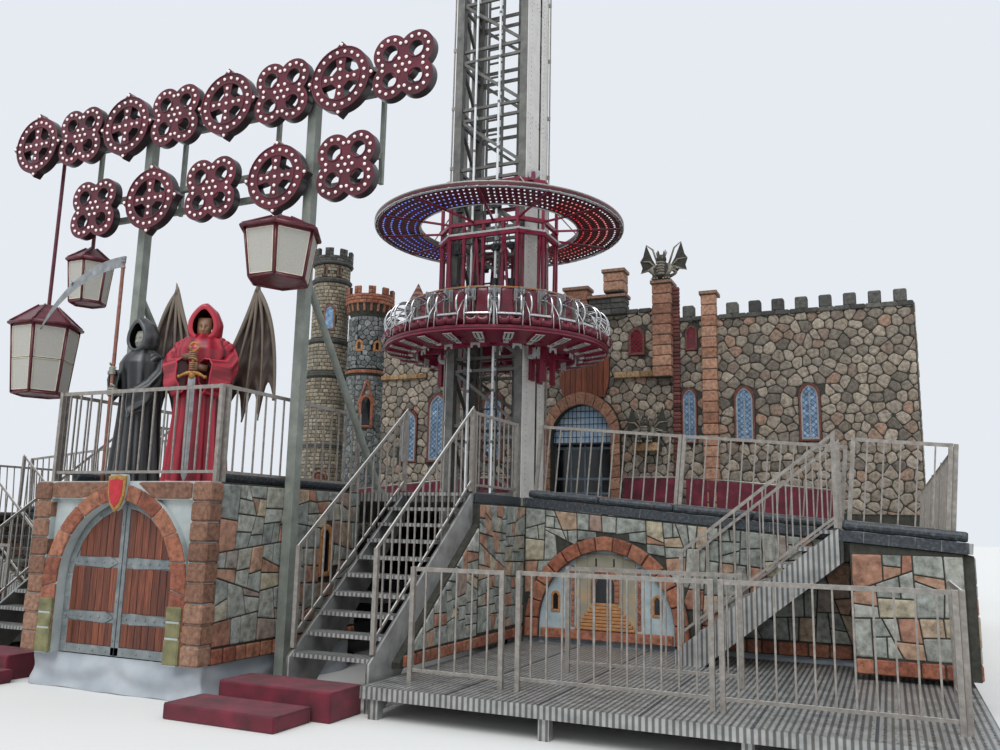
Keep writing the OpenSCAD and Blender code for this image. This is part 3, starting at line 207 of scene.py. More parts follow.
class Heap:
    """Points and faces of one joined mesh, with a tone for each face."""

    def __init__(self):
        self.points, self.faces, self.tones = [], [], []

    def add(self, points, faces, tone=0.5):
        """Adds points, and faces that count from the first of them."""
        first = len(self.points)
        self.points.extend(points)
        self.faces.extend(tuple(first + i for i in face) for face in faces)
        self.tones.extend([tone] * len(faces))

    def disc(self, centre, normal, radius, sides=8, tone=0.5):
        """A flat round face."""
        across = Vector(normal).orthogonal().normalized()
        along = Vector(normal).normalized().cross(across)
        angles = [2 * math.pi * i / sides for i in range(sides)]
        rim = [Vector(centre) + radius * (math.cos(a) * across + math.sin(a) * along) for a in angles]
        self.add(rim, [tuple(range(sides))], tone)

    def tube(self, path, radius, sides=8, tone=0.5, closed=False):
        """A round tube along the points; radius is one value or one for each point."""
        path = [Vector(p) for p in path]
        count = len(path)
        radii = radius if isinstance(radius, (list, tuple)) else [radius] * count
        rings = []
        side = None
        for i, point in enumerate(path):
            ahead = path[(i + 1) % count] if closed or i + 1 < count else path[i]
            behind = path[i - 1] if closed or i else path[i]
            heading = (ahead - behind).normalized()
            side = heading.orthogonal() if side is None else side - side.dot(heading) * heading
            side.normalize()
            other = heading.cross(side)
            for k in range(sides):
                a = 2 * math.pi * k / sides
                rings.append(point + radii[i] * (math.cos(a) * side + math.sin(a) * other))
        spans = count if closed else count - 1
        faces = []
        for i in range(spans):
            j = (i + 1) % count
            for k in range(sides):
                m = (k + 1) % sides
                faces.append((i * sides + k, i * sides + m, j * sides + m, j * sides + k))
        if not closed:
            faces.append(tuple(reversed(range(sides))))
            faces.append(tuple((count - 1) * sides + k for k in range(sides)))
        self.add(rings, faces, tone)

    def block(self, low, high, soft=0.004, place=None, tone=0.5):
        """A block with chamfered edges between two corners; place moves each point."""
        mid = [(a + b) / 2 for a, b in zip(low, high)]
        half = [(b - a) / 2 for a, b in zip(low, high)]
        soft = min(soft, *(0.45 * h for h in half))
        points = []
        for n in range(8):
            sign = [1 if n >> axis & 1 else -1 for axis in range(3)]
            for proud in range(3):
                points.append(Vector(mid[a] + sign[a] * (half[a] - (0 if a == proud else soft))
                                     for a in range(3)))
        faces = []
        for axis in range(3):
            u, v = (axis + 1) % 3, (axis + 2) % 3
            for s in (0, 1):
                loop = [s << axis | p << u | q << v for p, q in ((0, 0), (1, 0), (1, 1), (0, 1))]
                loop = loop if s else loop[::-1]
                faces.append(tuple(3 * n + axis for n in loop))
            for p in (0, 1):
                for q in (0, 1):
                    a = p << u | q << v
                    b = a | 1 << axis
                    quad = (3 * a + u, 3 * a + v, 3 * b + v, 3 * b + u)
                    faces.append(quad if p == q else quad[::-1])
        for n in range(8):
            odd = bin(n).count("1") % 2
            tri = (3 * n, 3 * n + 1, 3 * n + 2)
            faces.append(tri if odd else tri[::-1])
        if place:
            points = [Vector(place(p)) for p in points]
        self.add(points, faces, tone)

    def ball(self, centre, radius, rings=4, sides=8, top_only=False, axis=(0, 0, 1), tone=0.5):
        """A round ball, or the half of it on the side of the axis."""
        turn = Vector((0, 0, 1)).rotation_difference(Vector(axis))
        span = math.pi / 2 if top_only else math.pi
        stretch = Vector(radius) if isinstance(radius, (tuple, list)) else Vector((radius,) * 3)
        points = [Vector((0, 0, 1))]
        for i in range(1, rings + 1):
            polar = span * i / rings
            for k in range(sides):
                a = 2 * math.pi * k / sides
                points.append(Vector((math.sin(polar) * math.cos(a), math.sin(polar) * math.sin(a),
                                      math.cos(polar))))
        faces = [(0, 1 + k, 1 + (k + 1) % sides) for k in range(sides)]
        for i in range(rings - 1):
            base = 1 + i * sides
            for k in range(sides):
                m = (k + 1) % sides
                faces.append((base + k, base + sides + k, base + sides + m, base + m))
        placed = [Vector(centre) + turn @ Vector(a * b for a, b in zip(stretch, p)) for p in points]
        self.add(placed, faces, tone)

    def piece(self, name, material, body, slot, stands_for=(), smooth=False, merge=False):
        """Makes the object, rides it on its body and names the finish it takes."""
        mesh = bpy.data.meshes.new(name)
        mesh.from_pydata(self.points, [], self.faces)
        tone = mesh.attributes.new("tone", "FLOAT", "FACE")
        tone.data.foreach_set("value", self.tones)
        if merge:
            clean = bmesh.new()
            clean.from_mesh(mesh)
            bmesh.ops.remove_doubles(clean, verts=clean.verts, dist=0.0002)
            clean.to_mesh(mesh)
            clean.free()
        if smooth:
            mesh.polygons.foreach_set("use_smooth", [True] * len(mesh.polygons))
        mesh.materials.append(material)
        made = bpy.data.objects.new(name, mesh)
        bpy.context.scene.collection.objects.link(made)
        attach(made, body)
        if stands_for:
            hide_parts(*stands_for)
        return made


PLATE_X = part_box("side_plates")[1][0]
PLATE_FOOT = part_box("side_plates")[0][2]
PLATE_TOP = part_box("side_plates")[1][2]
BAY = 1.4
HOLE_PITCH = 0.11
holes = Heap()
bolts = Heap()
for side in (-1, 1):
    for row in (-0.42, 0.33):
        for i in range(int((PLATE_TOP - PLATE_FOOT) / HOLE_PITCH) - 1):
            holes.disc((side * (PLATE_X + 0.0006), side * row, PLATE_FOOT + (i + 1) * HOLE_PITCH),
                       (side, 0, 0), 0.013)
    for bay in range(1, int((PLATE_TOP - PLATE_FOOT) / BAY), 2):
        z = PLATE_FOOT + bay * BAY
        for y in (-0.57, -0.33, -0.12, 0.02, 0.24, 0.46, 0.58):
            for dz in (-0.05, 0.05):
                bolts.ball((side * PLATE_X, side * y, z + dz), 0.011, 2, 6, True, (side, 0, 0))
holes.piece("plate_holes", hole_shade_black, "structure", "plate")
bolts.piece("plate_bolts", mast_zinc, "structure", "steel")
strip = Heap()
STRIP_X, STRIP_Y, CLIP_IN, CLIP_OUT = 0.915, 0.6, 0.865, 0.935
for side in (-1, 1):
    x, y = side * STRIP_X, side * STRIP_Y
    strip.block((x - 0.012, y - 0.018, PLATE_FOOT), (x + 0.012, y + 0.018, PLATE_TOP), 0.003)
    low_x, high_x = sorted((side * CLIP_IN, side * CLIP_OUT))
    for bay in range(int((PLATE_TOP - PLATE_FOOT) / BAY)):
        z = PLATE_FOOT + 0.4 + bay * BAY
        strip.block((low_x, y - 0.03, z), (high_x, y + 0.012, z + 0.09))
        strip.ball((side * 0.9, y - 0.03, z + 0.045), 0.014, 2, 6, True, (0, -1, 0))
strip.piece("guide_strips", galvanised, "structure", "steel")


# Tube lights on the mast: opal acrylic tubes in metre lengths, with a grey socket at each joint.
# Opal acrylic looks solid white even when it is off; by day it only glows a little.
opal = mottled("opal_acrylic", ((0.3, "c9cccd"), (0.7, "e4e6e6")), 170.0, (0.2, 0.3))
opal_shader = opal.node_tree.nodes["Principled BSDF"]
opal_shader.inputs["Emission Color"].default_value = hex_colour("f4f7fb")
opal_shader.inputs["Emission Strength"].default_value = 0.04
dress("light_tubes", opal)
socket_grey = mottled("socket_plastic", ((0.3, "5d6062"), (0.7, "75787a")), 30.0, (0.4, 0.5))
tube_low, tube_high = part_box("light_tubes")
sockets = Heap()
TUBE_LENGTH = 1.05
for front in (-1, 1):
    for x in (-0.320, 0.235):
        y = front * (tube_high[1] - 0.027)
        for i in range(int((tube_high[2] - tube_low[2]) / TUBE_LENGTH) + 1):
            z = tube_low[2] + 0.03 + i * TUBE_LENGTH
            sockets.tube(((x, y, z - 0.03), (x, y, z + 0.03)), 0.031, 12)
sockets.piece("tube_sockets", socket_grey, "structure", "steel")


# Red carriage: welded square tube with gloss enamel over primer. The coat is thick, so edges
# stay bright and round, and road film dulls it in patches.
enamel = mottled("crimson_enamel", ((0.25, "5d0f26"), (0.55, "7a1632"), (0.8, "8c1c3a")), 180.0,
                 (0.25, 0.42), 0.0, 0.15, 30.0)
for part in ("carriage_frame", "carriage_legs", "seat_ring"):
    dress(part, enamel)
RING_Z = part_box("seat_ring")[1][2] - 0.1
CAGE_HX, CAGE_HY, CAGE_CUT = 1.23, 0.83, 0.42
corners = [(sx * hx, sy * hy) for sx, sy, hx, hy in (
    (1, -1, CAGE_HX - CAGE_CUT, CAGE_HY), (1, -1, CAGE_HX, CAGE_HY - CAGE_CUT),
    (1, 1, CAGE_HX, CAGE_HY - CAGE_CUT),
    (1, 1, CAGE_HX - CAGE_CUT, CAGE_HY), (-1, 1, CAGE_HX - CAGE_CUT, CAGE_HY),
    (-1, 1, CAGE_HX, CAGE_HY - CAGE_CUT),
    (-1, -1, CAGE_HX, CAGE_HY - CAGE_CUT), (-1, -1, CAGE_HX - CAGE_CUT, CAGE_HY))]
bars = Heap()
band = Heap()
LOW_RING = RING_Z + 2.35
for i, (x0, y0) in enumerate(corners):
    x1, y1 = corners[(i + 1) % 8]
    length = math.hypot(x1 - x0, y1 - y0)
    steps = max(1, round(length / 0.36))
    out = Vector((y1 - y0, x0 - x1, 0)).normalized()
    if out.dot(Vector((x0 + x1, y0 + y1, 0))) < 0:
        out = -out
    for k in range(steps):
        share = (k + 0.5) / steps
        lean = 0.10 if k % 2 else -0.10
        foot = Vector((x0 + (x1 - x0) * share, y0 + (y1 - y0) * share, RING_Z + 0.08)) - 0.04 * out
        head = Vector((x0 + (x1 - x0) * (share + lean), y0 + (y1 - y0) * (share + lean),
                       LOW_RING)) - 0.04 * out
        bars.tube((foot, head), 0.032, 4)
    for lift, depth in ((0.088, 0.0), (0.112, 0.022)):
        band.tube(((x0, y0, LOW_RING + lift), (x1, y1, LOW_RING + lift)), 0.011, 8)
    band.block((-0.02, -0.02, LOW_RING + 0.08), (0.02, 0.02, LOW_RING + 0.13), 0.004,
               lambda p, x=x0, y=y0: (p.x + x, p.y + y, p.z))
bars.piece("carriage_bars", enamel, "gondola", "red_paint")
# Anodised aluminium channel that carries the carriage's cables: pale, even and faintly brushed.
anodised = mottled("anodised_channel", ((0.3, "b3b4b4"), (0.7, "cccdcd")), 80.0, (0.3, 0.4), 0.6, 0.1, 6.0)
band.piece("cable_channel", anodised, "gondola", "steel")


# Guide wheels and the gear behind the bars: clear cast polyurethane tyres on grey hubs, black
# air hoses in loose loops, and the dark brake gear that shows between the red posts.
tyre_clear = mottled("cast_polyurethane", ((0.3, "868a8c"), (0.7, "b5b8b9")), 80.0, (0.15, 0.25))
dress("guide_rollers", tyre_clear)
gear_dark = mottled("oily_cast_iron", ((0.3, "1f2021"), (0.6, "343638"), (0.8, "484a4b")), 60.0,
                    (0.35, 0.6), 0.3, 0.4, 6.0)
gear = Heap()
draw = random.Random(11)
for face in (-1, 1):
    for x in (-0.62, -0.2, 0.24, 0.6):
        for z in (1.15, 2.05, 2.98):
            wide, tall = draw.uniform(0.10, 0.2), draw.uniform(0.14, 0.34)
            gear.block((x - wide / 2, -0.05, 0), (x + wide / 2, 0.05, tall), 0.012,
                       lambda p, f=face, z=z: (p.x, f * 0.70 + p.y, RING_Z + z + p.z))
            gear.tube(((x, face * 0.70, RING_Z + z + 0.1), (x, face * 0.78, RING_Z + z + 0.1)), 0.045, 12)
gear.piece("brake_gear", gear_dark, "gondola", "roller")
hose_rubber = mottled("hose_rubber", ((0.3, "17181a"), (0.7, "2b2c2e")), 40.0, (0.5, 0.65))
# Each hose hangs between two couplings below the channel, 350 mm apart: 16 mm outside, 0.94 m long.
HOSE_D, HOSE_HALF, HOSE_SAG = 0.016, 0.175, 0.40
for number, x in enumerate((-0.42, -0.05, 0.42), 1):
    route = [Vector((x + HOSE_HALF * math.cos(a), -CAGE_HY - 0.012,
                     LOW_RING - 0.02 + HOSE_SAG * math.sin(a)))
             for a in (math.pi + math.pi * k / 28 for k in range(29))]
    hose = Heap()
    hose.tube(route, HOSE_D / 2, 8)
    made = hose.piece("air_hose_%d" % number, hose_rubber, "gondola", "roller", smooth=True)


# Light ring under the carriage's top: flat sheet-metal panels on a tube rim, lacquered maroon,
# with five rows of cap lamps below. Zinc-plated seams and clamps hold the twelve panels.
HALO_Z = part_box("light_ring")[0][2]
HALO_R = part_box("light_ring")[1][0]
lacquer = mottled("maroon_lacquer", ((0.3, "3d0d18"), (0.6, "571425"), (0.8, "6a1a2e")), 400.0,
                  (0.3, 0.45), 0.0, 0.1, 60.0)
dress("light_ring", lacquer)
lamp_glass, lamp_tree, lamp_shader = new_material("lit_lamp_caps", "ffffff", 0.3)
lamp_tone = add_node(lamp_tree, "Attribute", {"attribute_name": "tone"})
lamp_tint = add_node(lamp_tree, "ValToRGB", {"stops": (
    (0.0, "4a6cf5"), (0.25, "7f9bff"), (0.45, "eef1ff"), (0.55, "f6f4fa"), (0.75, "ff9a98"),
    (1.0, "e0202e"))}, Fac=lamp_tone.outputs["Fac"])
lamp_tree.links.new(lamp_tint.outputs["Color"], lamp_shader.inputs["Base Color"])
lamp_tree.links.new(lamp_tint.outputs["Color"], lamp_shader.inputs["Emission Color"])
lamp_shader.inputs["Emission Strength"].default_value = 0.6
caps = Heap()
collars = Heap()
# The show's colours run across the ring, square to a line 24 degrees right of the gate: blue at one
# end, then white, then red at the other, as the lamps' controller leaves them when the ride waits.
SHOW_TURN = math.radians(24.0)
LAMP_FIRST_R, LAMP_ROW, LAMP_PITCH = 1.83, 0.17, 0.118
draw = random.Random(5)
for row in range(5):
    radius = LAMP_FIRST_R + row * LAMP_ROW
    count = round(2 * math.pi * radius / LAMP_PITCH)
    for i in range(count):
        a = 2 * math.pi * (i + 0.5 * (row % 2)) / count
        x, y = radius * math.sin(a), -radius * math.cos(a)
        past_seam = (math.degrees(a) + 15.0) % 30.0
        if min(past_seam, 30.0 - past_seam) < 1.3:
            continue
        leaning = math.sin(a - SHOW_TURN)
        tone = 0.48
        if leaning < -0.1:
            tone = max(0.05, 0.42 + 0.5 * leaning) + 0.05 * row
        elif leaning > 0.55 and row < 4:
            tone = 0.98 - 0.07 * row
        tone = min(1.0, max(0.0, tone + draw.uniform(-0.06, 0.06)))
        caps.ball((x, y, HALO_Z), 0.023, 3, 10, True, (0, 0, -1), tone)
        collars.tube(((x, y, HALO_Z + 0.002), (x, y, HALO_Z - 0.008)), 0.030, 10)
caps.piece("ring_lamp_caps", lamp_glass, "gondola", "light", smooth=True)
collars.piece("ring_lamp_collars", lacquer, "gondola", "maroon_shell")
bright_zinc = mottled("bright_zinc_plate", ((0.3, "a6a8aa"), (0.6, "bfc1c2"), (0.8, "d2d3d3")),
                      90.0, (0.25, 0.38), 0.75, 0.1, 10.0)


def circle_path(radius, z, count=96, x=0.0, y=0.0):
    """Points of a level circle, round the mast unless a middle is given."""
    angles = [2 * math.pi * i / count for i in range(count)]
    return [(x + radius * math.cos(a), y + radius * math.sin(a), z) for a in angles]


def turned(x, y, z, degrees):
    """A point turned round the mast's middle."""
    a = math.radians(degrees)
    return Vector((x * math.cos(a) - y * math.sin(a), x * math.sin(a) + y * math.cos(a), z))


seams = Heap()
seams.tube(circle_path(HALO_R - 0.02, HALO_Z - 0.014), 0.016, 8, closed=True)
seams.tube(circle_path(HALO_R - 0.068, HALO_Z - 0.012), 0.011, 6, closed=True)
seams.tube(circle_path(1.722, HALO_Z - 0.014), 0.016, 8, closed=True)
for i in range(12):
    degrees = 15.0 + 30.0 * i
    seams.block((-0.022, -HALO_R + 0.03, HALO_Z - 0.012), (0.022, -1.72, HALO_Z + 0.001), 0.003,
                lambda p, d=degrees: turned(p.x, p.y, p.z, d))
    for spread in (-4.5, 0.0, 4.5, 12.0, 18.0):
        seams.block((-0.02, -HALO_R + 0.003, HALO_Z - 0.028), (0.02, -HALO_R + 0.085, HALO_Z), 0.004,
                    lambda p, d=degrees + spread: turned(p.x, p.y, p.z, d))
seams.piece("light_ring_seams", bright_zinc, "gondola", "steel")
# A reel of cable hangs at the cage's left: two flanges and a drum.
reel = Heap()
for low, high, radius in ((-0.05, -0.04, 0.09), (-0.04, 0.04, 0.05), (0.04, 0.05, 0.09)):
    reel.tube(((-CAGE_HX - 0.02, -CAGE_HY + 0.3 + low, RING_Z + 3.42),
               (-CAGE_HX - 0.02, -CAGE_HY + 0.3 + high, RING_Z + 3.42)), radius, 20)
reel.piece("cable_reel", bright_zinc, "gondola", "steel")


# Seats: glass-fibre shells with a thick gel coat, moulded as a pan with two leg troughs and a waisted back.
# Black rubber lines the troughs; polished edges catch the light.
SEATS = 24
SEAT_STEP = 360.0 / SEATS
PAN_LOW, PAN_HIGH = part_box("seat_pans")
BACK_LOW, BACK_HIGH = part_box("seat_backs")
SEAT_Z = PAN_LOW[2]
PAN_TOP = PAN_HIGH[2]
PAN_BACK, PAN_FRONT, PAN_HALF, TROUGH_X, TROUGH_R = 1.854, 2.44, 0.22, 0.11, 0.075
gel_coat = mottled("maroon_gel_coat", ((0.25, "4a0f1e"), (0.55, "641828"), (0.8, "742134")), 260.0,
                   (0.16, 0.3), 0.0, 0.05, 90.0)
rubber = mottled("black_moulded_rubber", ((0.3, "121213"), (0.7, "232325")), 50.0, (0.5, 0.7), 0.0,
                 0.3, 3.0)


def pan_height(x, front):
    """Height of the pan's top at a distance across; front runs from 0 at the back to 1."""
    across = abs(abs(x) - TROUGH_X)
    lip = PAN_TOP - 0.016 * max(0.0, (abs(x) - 0.18) / 0.04) ** 2
    if across >= TROUGH_R:
        return lip
    depth = math.sqrt(TROUGH_R ** 2 - across ** 2)
    return lip - depth * (1.0 - 0.25 * front ** 3)


def pan_reach(x):
    """How far out the pan goes at a distance across: one round lobe before each trough."""
    lobe = min(1.0, abs(abs(x) - TROUGH_X) / 0.115)
    return PAN_FRONT - 0.075 * (1.0 - math.sqrt(1.0 - lobe ** 2))


def add_pan(heap, liners, degrees):
    """One seat pan with two leg troughs, and the rubber that lines the troughs."""
    columns = [-PAN_HALF + 2 * PAN_HALF * i / 28 for i in range(29)]
    rows = 9
    top = []
    for k in range(rows + 1):
        front = k / rows
        for x in columns:
            y = PAN_BACK + (pan_reach(x) - PAN_BACK) * front
            drop = 0.022 * max(0.0, (front - 0.86) / 0.14) ** 2
            top.append(turned(x, -y, pan_height(x, front) - drop, degrees))
    wide = len(columns)
    low = [turned(x, -(PAN_BACK + (pan_reach(x) - 0.03 - PAN_BACK) * front),
                  SEAT_Z + (0.0 if front < 1 else 0.02), degrees)
           for front in (0.0, 1.0) for x in columns]
    points = top + low
    under = len(top)
    faces = []
    for k in range(rows):
        for i in range(wide - 1):
            a = k * wide + i
            faces.append((a, a + wide, a + wide + 1, a + 1))
    last = rows * wide
    for i in range(wide - 1):
        faces.append((last + i, under + wide + i, under + wide + i + 1, last + i + 1))
        faces.append((i + 1, under + i + 1, under + i, i))
        faces.append((under + i, under + i + 1, under + wide + i + 1, under + wide + i))
    left = [k * wide for k in range(rows + 1)]
    heap.add(points, faces + [tuple(left[::-1] + [under, under + wide]),
                              tuple([a + wide - 1 for a in left] + [under + 2 * wide - 1,
                                                                    under + wide - 1])])
    for side in (-1, 1):
        strip, quads = [], []
        for k in range(7):
            front = 0.03 + 0.85 * k / 6
            for j in range(9):
                a = math.pi * (j / 8 * 0.8 + 0.1)
                x = side * TROUGH_X + 0.068 * math.cos(a)
                y = PAN_BACK + (pan_reach(x) - PAN_BACK) * front
                z = min(pan_height(x, front) + 0.006, PAN_TOP - 0.006)
                strip.append(turned(x, -y, z, degrees))
        for k in range(6):
            for j in range(8):
                a = k * 9 + j
                quads.append((a, a + 1, a + 10, a + 9))
        liners.add(strip, quads)


def back_half_width(z):
    """Half width of the waisted back at a height over the pan's foot."""
    marks = ((0.0, 0.165), (0.06, 0.175), (0.30, 0.172), (0.42, 0.152), (0.53, 0.122), (0.62, 0.119),
             (0.80, 0.12), (0.86, 0.112), (0.88, 0.085))
    for (z0, w0), (z1, w1) in zip(marks, marks[1:]):
        if z <= z1:
            t = (z - z0) / (z1 - z0)
            return w0 + (w1 - w0) * t * t * (3 - 2 * t)
    return marks[-1][1]


def add_back(heap, degrees):
    """One seat back: rounded sections up to the top, dished in front and bulged at the head."""
    rings = []
    heights = [0.0, 0.04, 0.12, 0.2, 0.3, 0.36, 0.42, 0.48, 0.54, 0.6, 0.68, 0.76, 0.82, 0.86, 0.878]
    for z in heights:
        half = back_half_width(z)
        thick = 0.03 if z < 0.86 else 0.018
        bulge = 0.014 * math.exp(-((z - 0.74) / 0.1) ** 2)
        ring = []
        for k in range(20):
            a = 2 * math.pi * k / 20
            c, s = math.cos(a), math.sin(a)
            x = half * math.copysign(abs(c) ** 0.35, c)
            y = thick * math.copysign(abs(s) ** 0.6, s) + (bulge if s > 0 else 0.0) * (1 - abs(c))
            dish = -0.014 * max(0.0, 1 - (x / (0.75 * half)) ** 2) if s > 0 and z < 0.6 else 0.0
            ring.append(turned(x, -(1.82 + y + dish), SEAT_Z + z, degrees))
        rings.append(ring)
    points = [p for ring in rings for p in ring]
    faces = []
    for k in range(len(rings) - 1):
        for i in range(20):
            j = (i + 1) % 20
            faces.append((k * 20 + i, (k + 1) * 20 + i, (k + 1) * 20 + j, k * 20 + j))
    faces.append(tuple(range(20)))
    faces.append(tuple(reversed(range(len(points) - 20, len(points)))))
    heap.add(points, faces)


pans, backs, liners = Heap(), Heap(), Heap()
for i in range(SEATS):
    add_pan(pans, liners, i * SEAT_STEP)
    add_back(backs, i * SEAT_STEP)
pans.piece("seat_pan_shells", gel_coat, "gondola", "maroon_shell", ("seat_pans",), smooth=True)
backs.piece("seat_back_shells", gel_coat, "gondola", "maroon_shell", ("seat_backs",), smooth=True)
liners.piece("seat_liners", rubber, "gondola", "roller", smooth=True)
guards = Heap()
for i in range(SEATS):
    degrees = (i + 0.5) * SEAT_STEP
    for lean in (-1, 1):
        path = [(lean * 0.075, -2.40, RING_Z + 0.09), (lean * 0.06, -2.37, RING_Z + 0.35),
                (lean * 0.022, -2.24, RING_Z + 0.58),
                (lean * 0.018, -2.10, RING_Z + 0.66), (lean * 0.018, -1.95, RING_Z + 0.70)]
        guards.tube([turned(*p, degrees) for p in path], 0.011, 8)
guards.piece("seat_guards", bright_zinc, "gondola", "bar", smooth=True)
ring_roll = Heap()
ring_roll.tube(circle_path(2.362, RING_Z + 0.05, 144), 0.014, 8, closed=True)
ring_roll.piece("ring_edge_roll", lacquer, "gondola", "red_paint", smooth=True)


# Restraints: bent stainless tube, polished to a mirror; it shows the sky and the red shells.
polished = mottled("polished_stainless_tube", ((0.3, "b4b5b6"), (0.7, "d2d2d2")), 40.0, (0.16, 0.28),
                   0.95, 0.02, 5.0)
for i in range(SEATS):
    dress("restraint_%02d" % (i + 1), polished)


# Boards between the seat backs: smoke-grey polycarbonate, bolted to lugs, with a gilt trim line.
# Polycarbonate is glossy and slightly see-through; fine scratches dull it.
board_clear = mottled("smoked_polycarbonate", ((0.3, "a9aeb2"), (0.6, "bfc4c7"), (0.8, "ced2d4")),
                      150.0, (0.1, 0.25), 0.0, 0.05, 12.0)
board_clear.node_tree.nodes["Principled BSDF"].inputs["Transmission Weight"].default_value = 0.6
dress("head_band", board_clear)
gilt = mottled("gilt_trim", ((0.3, "b8702a"), (0.7, "d98f3e")), 60.0, (0.3, 0.4), 0.1)
BAND_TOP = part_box("head_band")[1][2]
trim = Heap()
trim.tube(circle_path(1.872, BAND_TOP - 0.003, 144), 0.009, 6, closed=True)
trim.piece("gilt_line", gilt, "gondola", "tray", smooth=True)
brackets, feet = Heap(), Heap()
for i in range(SEATS):
    degrees = (i + 0.5) * SEAT_STEP
    for x in (-0.07, 0.07):
        brackets.block((x - 0.012, -1.90, SEAT_Z + 0.30), (x + 0.012, -1.80, BAND_TOP - 0.06), 0.003,
                       lambda p, d=degrees: turned(p.x, p.y, p.z, d))
        feet.block((x - 0.022, -1.93, SEAT_Z + 0.26), (x + 0.022, -1.80, SEAT_Z + 0.31), 0.006,
                   lambda p, d=degrees: turned(p.x, p.y, p.z, d))
brackets.piece("board_brackets", galvanised, "gondola", "steel")
feet.piece("bracket_feet", rubber, "gondola", "roller")


# Trays below the ring: folded sheet boxes in the ring's red, the brackets beside them cast
# aluminium. Each tray holds a pale plate with two long slots, and a second smaller plate.
tray_finish = mottled("enamelled_tray", ((0.25, "5d0f26"), (0.55, "7a1632"), (0.8, "8c1c3a")), 180.0,
                      (0.25, 0.42), 0.0, 0.15, 30.0)
tray_tree = tray_finish.node_tree
tray_shader = tray_tree.nodes["Principled BSDF"]
tray_red = tray_shader.inputs["Base Color"].links[0].from_socket
# The brackets lie within 1.7 m of the middle and keep their bare cast metal; trays lie outside it.
tray_place = add_node(tray_tree, "TexCoord").outputs["Object"]
tray_flat = add_node(tray_tree, "VectorMath", {"operation": "MULTIPLY", "Vector_001": (1.0, 1.0, 0.0)},
                     Vector=tray_place)
tray_far = add_node(tray_tree, "VectorMath", {"operation": "LENGTH"}, Vector=tray_flat.outputs["Vector"])
tray_shift = add_node(tray_tree, "MapRange", {"From Min": 1.70, "From Max": 1.76},
                      Value=tray_far.outputs["Value"])
tray_step = add_node(tray_tree, "ValToRGB", {"stops": ((0.0, "000000"), (0.02, "ffffff"))},
                     Fac=tray_shift.outputs["Result"])
tray_mix = add_node(tray_tree, "Mix", {"data_type": "RGBA", "A_Color": hex_colour("a8a9a6")},
                    Factor_Float=tray_step.outputs["Color"], B_Color=tray_red)
tray_tree.links.new(tray_mix.outputs[2], tray_shader.inputs["Base Color"])
dress("light_trays", tray_finish)
plate_white = mottled("powder_coated_plate", ((0.3, "bcbcb6"), (0.7, "cfcfc9")), 70.0, (0.5, 0.6),
                      0.0, 0.1, 2.0)
slope = math.atan(0.11 / 0.66)
plates, plate_slots = Heap(), Heap()


def under_ring(x, y, z, degrees):
    """A point given along the ring's sloping underside, from its outer edge inwards."""
    return turned(x, -2.36 + y * math.cos(slope) + z * math.sin(slope),
                  RING_Z - y * math.sin(slope) + z * math.cos(slope), degrees)


for i in range(SEATS):
    degrees = i * SEAT_STEP

    def bend(p, d=degrees):
        return under_ring(p.x, p.y, p.z, d)

    plates.block((-0.100, 0.055, -0.040), (0.100, 0.355, -0.030), 0.003, bend)
    plates.block((-0.075, 0.375, -0.040), (0.075, 0.470, -0.030), 0.003, bend)
    plates.block((-0.05, 0.50, -0.035), (0.05, 0.60, -0.002), 0.004, bend)
    for x in (-0.04, 0.04):
        plate_slots.block((x - 0.013, 0.085, -0.042), (x + 0.013, 0.325, -0.038), 0.002, bend)
        plate_slots.block((x - 0.022, 0.400, -0.042), (x + 0.022, 0.445, -0.038), 0.002, bend)
plates.piece("tray_plates", plate_white, "gondola", "tray")
# Each slot is a near-black block on the plate: painted shade for the open slot.
plate_slots.piece("tray_slots", hole_shade_black, "gondola", "tray")


# Deck floors, stairs and low decks: aluminium tread plate, pressed with raised lentils against slipping,
# laid on painted beams. Its grey drifts in patches and is darker in lines along the ribs' hollows.
tread = mottled("aluminium_tread_plate", ((0.3, "8c8d8c"), (0.55, "a5a6a4"), (0.8, "b9b9b6")), 160.0,
                (0.32, 0.5), 0.5, 0.2, 8.0)
beam_paint = mottled("dark_grey_primer", ((0.3, "2c2e30"), (0.6, "3b3d40"), (0.8, "4b4d50")), 200.0,
                     (0.5, 0.7), 0.0, 0.2, 12.0)
# The planks are extruded with ribs lengthwise; real ribs are 25 mm apart, drawn at 55 mm to show.
tread_tree = tread.node_tree
tread_shader = tread_tree.nodes["Principled BSDF"]
tread_tone = tread_shader.inputs["Base Color"].links[0].from_socket
tread_place = add_node(tread_tree, "TexCoord").outputs["Object"]
tread_ribs = add_node(tread_tree, "TexWave", {"bands_direction": "X", "Scale": 0.314 / 0.055},
                      Vector=tread_place)
tread_lines = add_node(tread_tree, "ValToRGB", {"stops": ((0.25, "a09e9a"), (0.6, "ffffff"))},
                       Fac=tread_ribs.outputs["Fac"])
tread_mix = add_node(tread_tree, "Mix", {"data_type": "RGBA", "blend_type": "MULTIPLY",
                                         "Factor_Float": 1.0},
                     A_Color=tread_tone, B_Color=tread_lines.outputs["Color"])
tread_tree.links.new(tread_mix.outputs[2], tread_shader.inputs["Base Color"])
for part in ("main_deck", "stair_flights", "low_decks"):
    dress(part, tread)
dress("base_frame", beam_paint)
DECK_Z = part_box("main_deck")[1][2]
WING_X, WING_TILT = 2.93, math.radians(5.0)
DECK_LOW, DECK_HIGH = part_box("main_deck")
DECK_HX = DECK_HIGH[0]
lentils, dark_seams = Heap(), Heap()
(low_x1, low_y0, _), (low_x2, low_y1, low_top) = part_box("low_decks")
low_x0 = 2.9
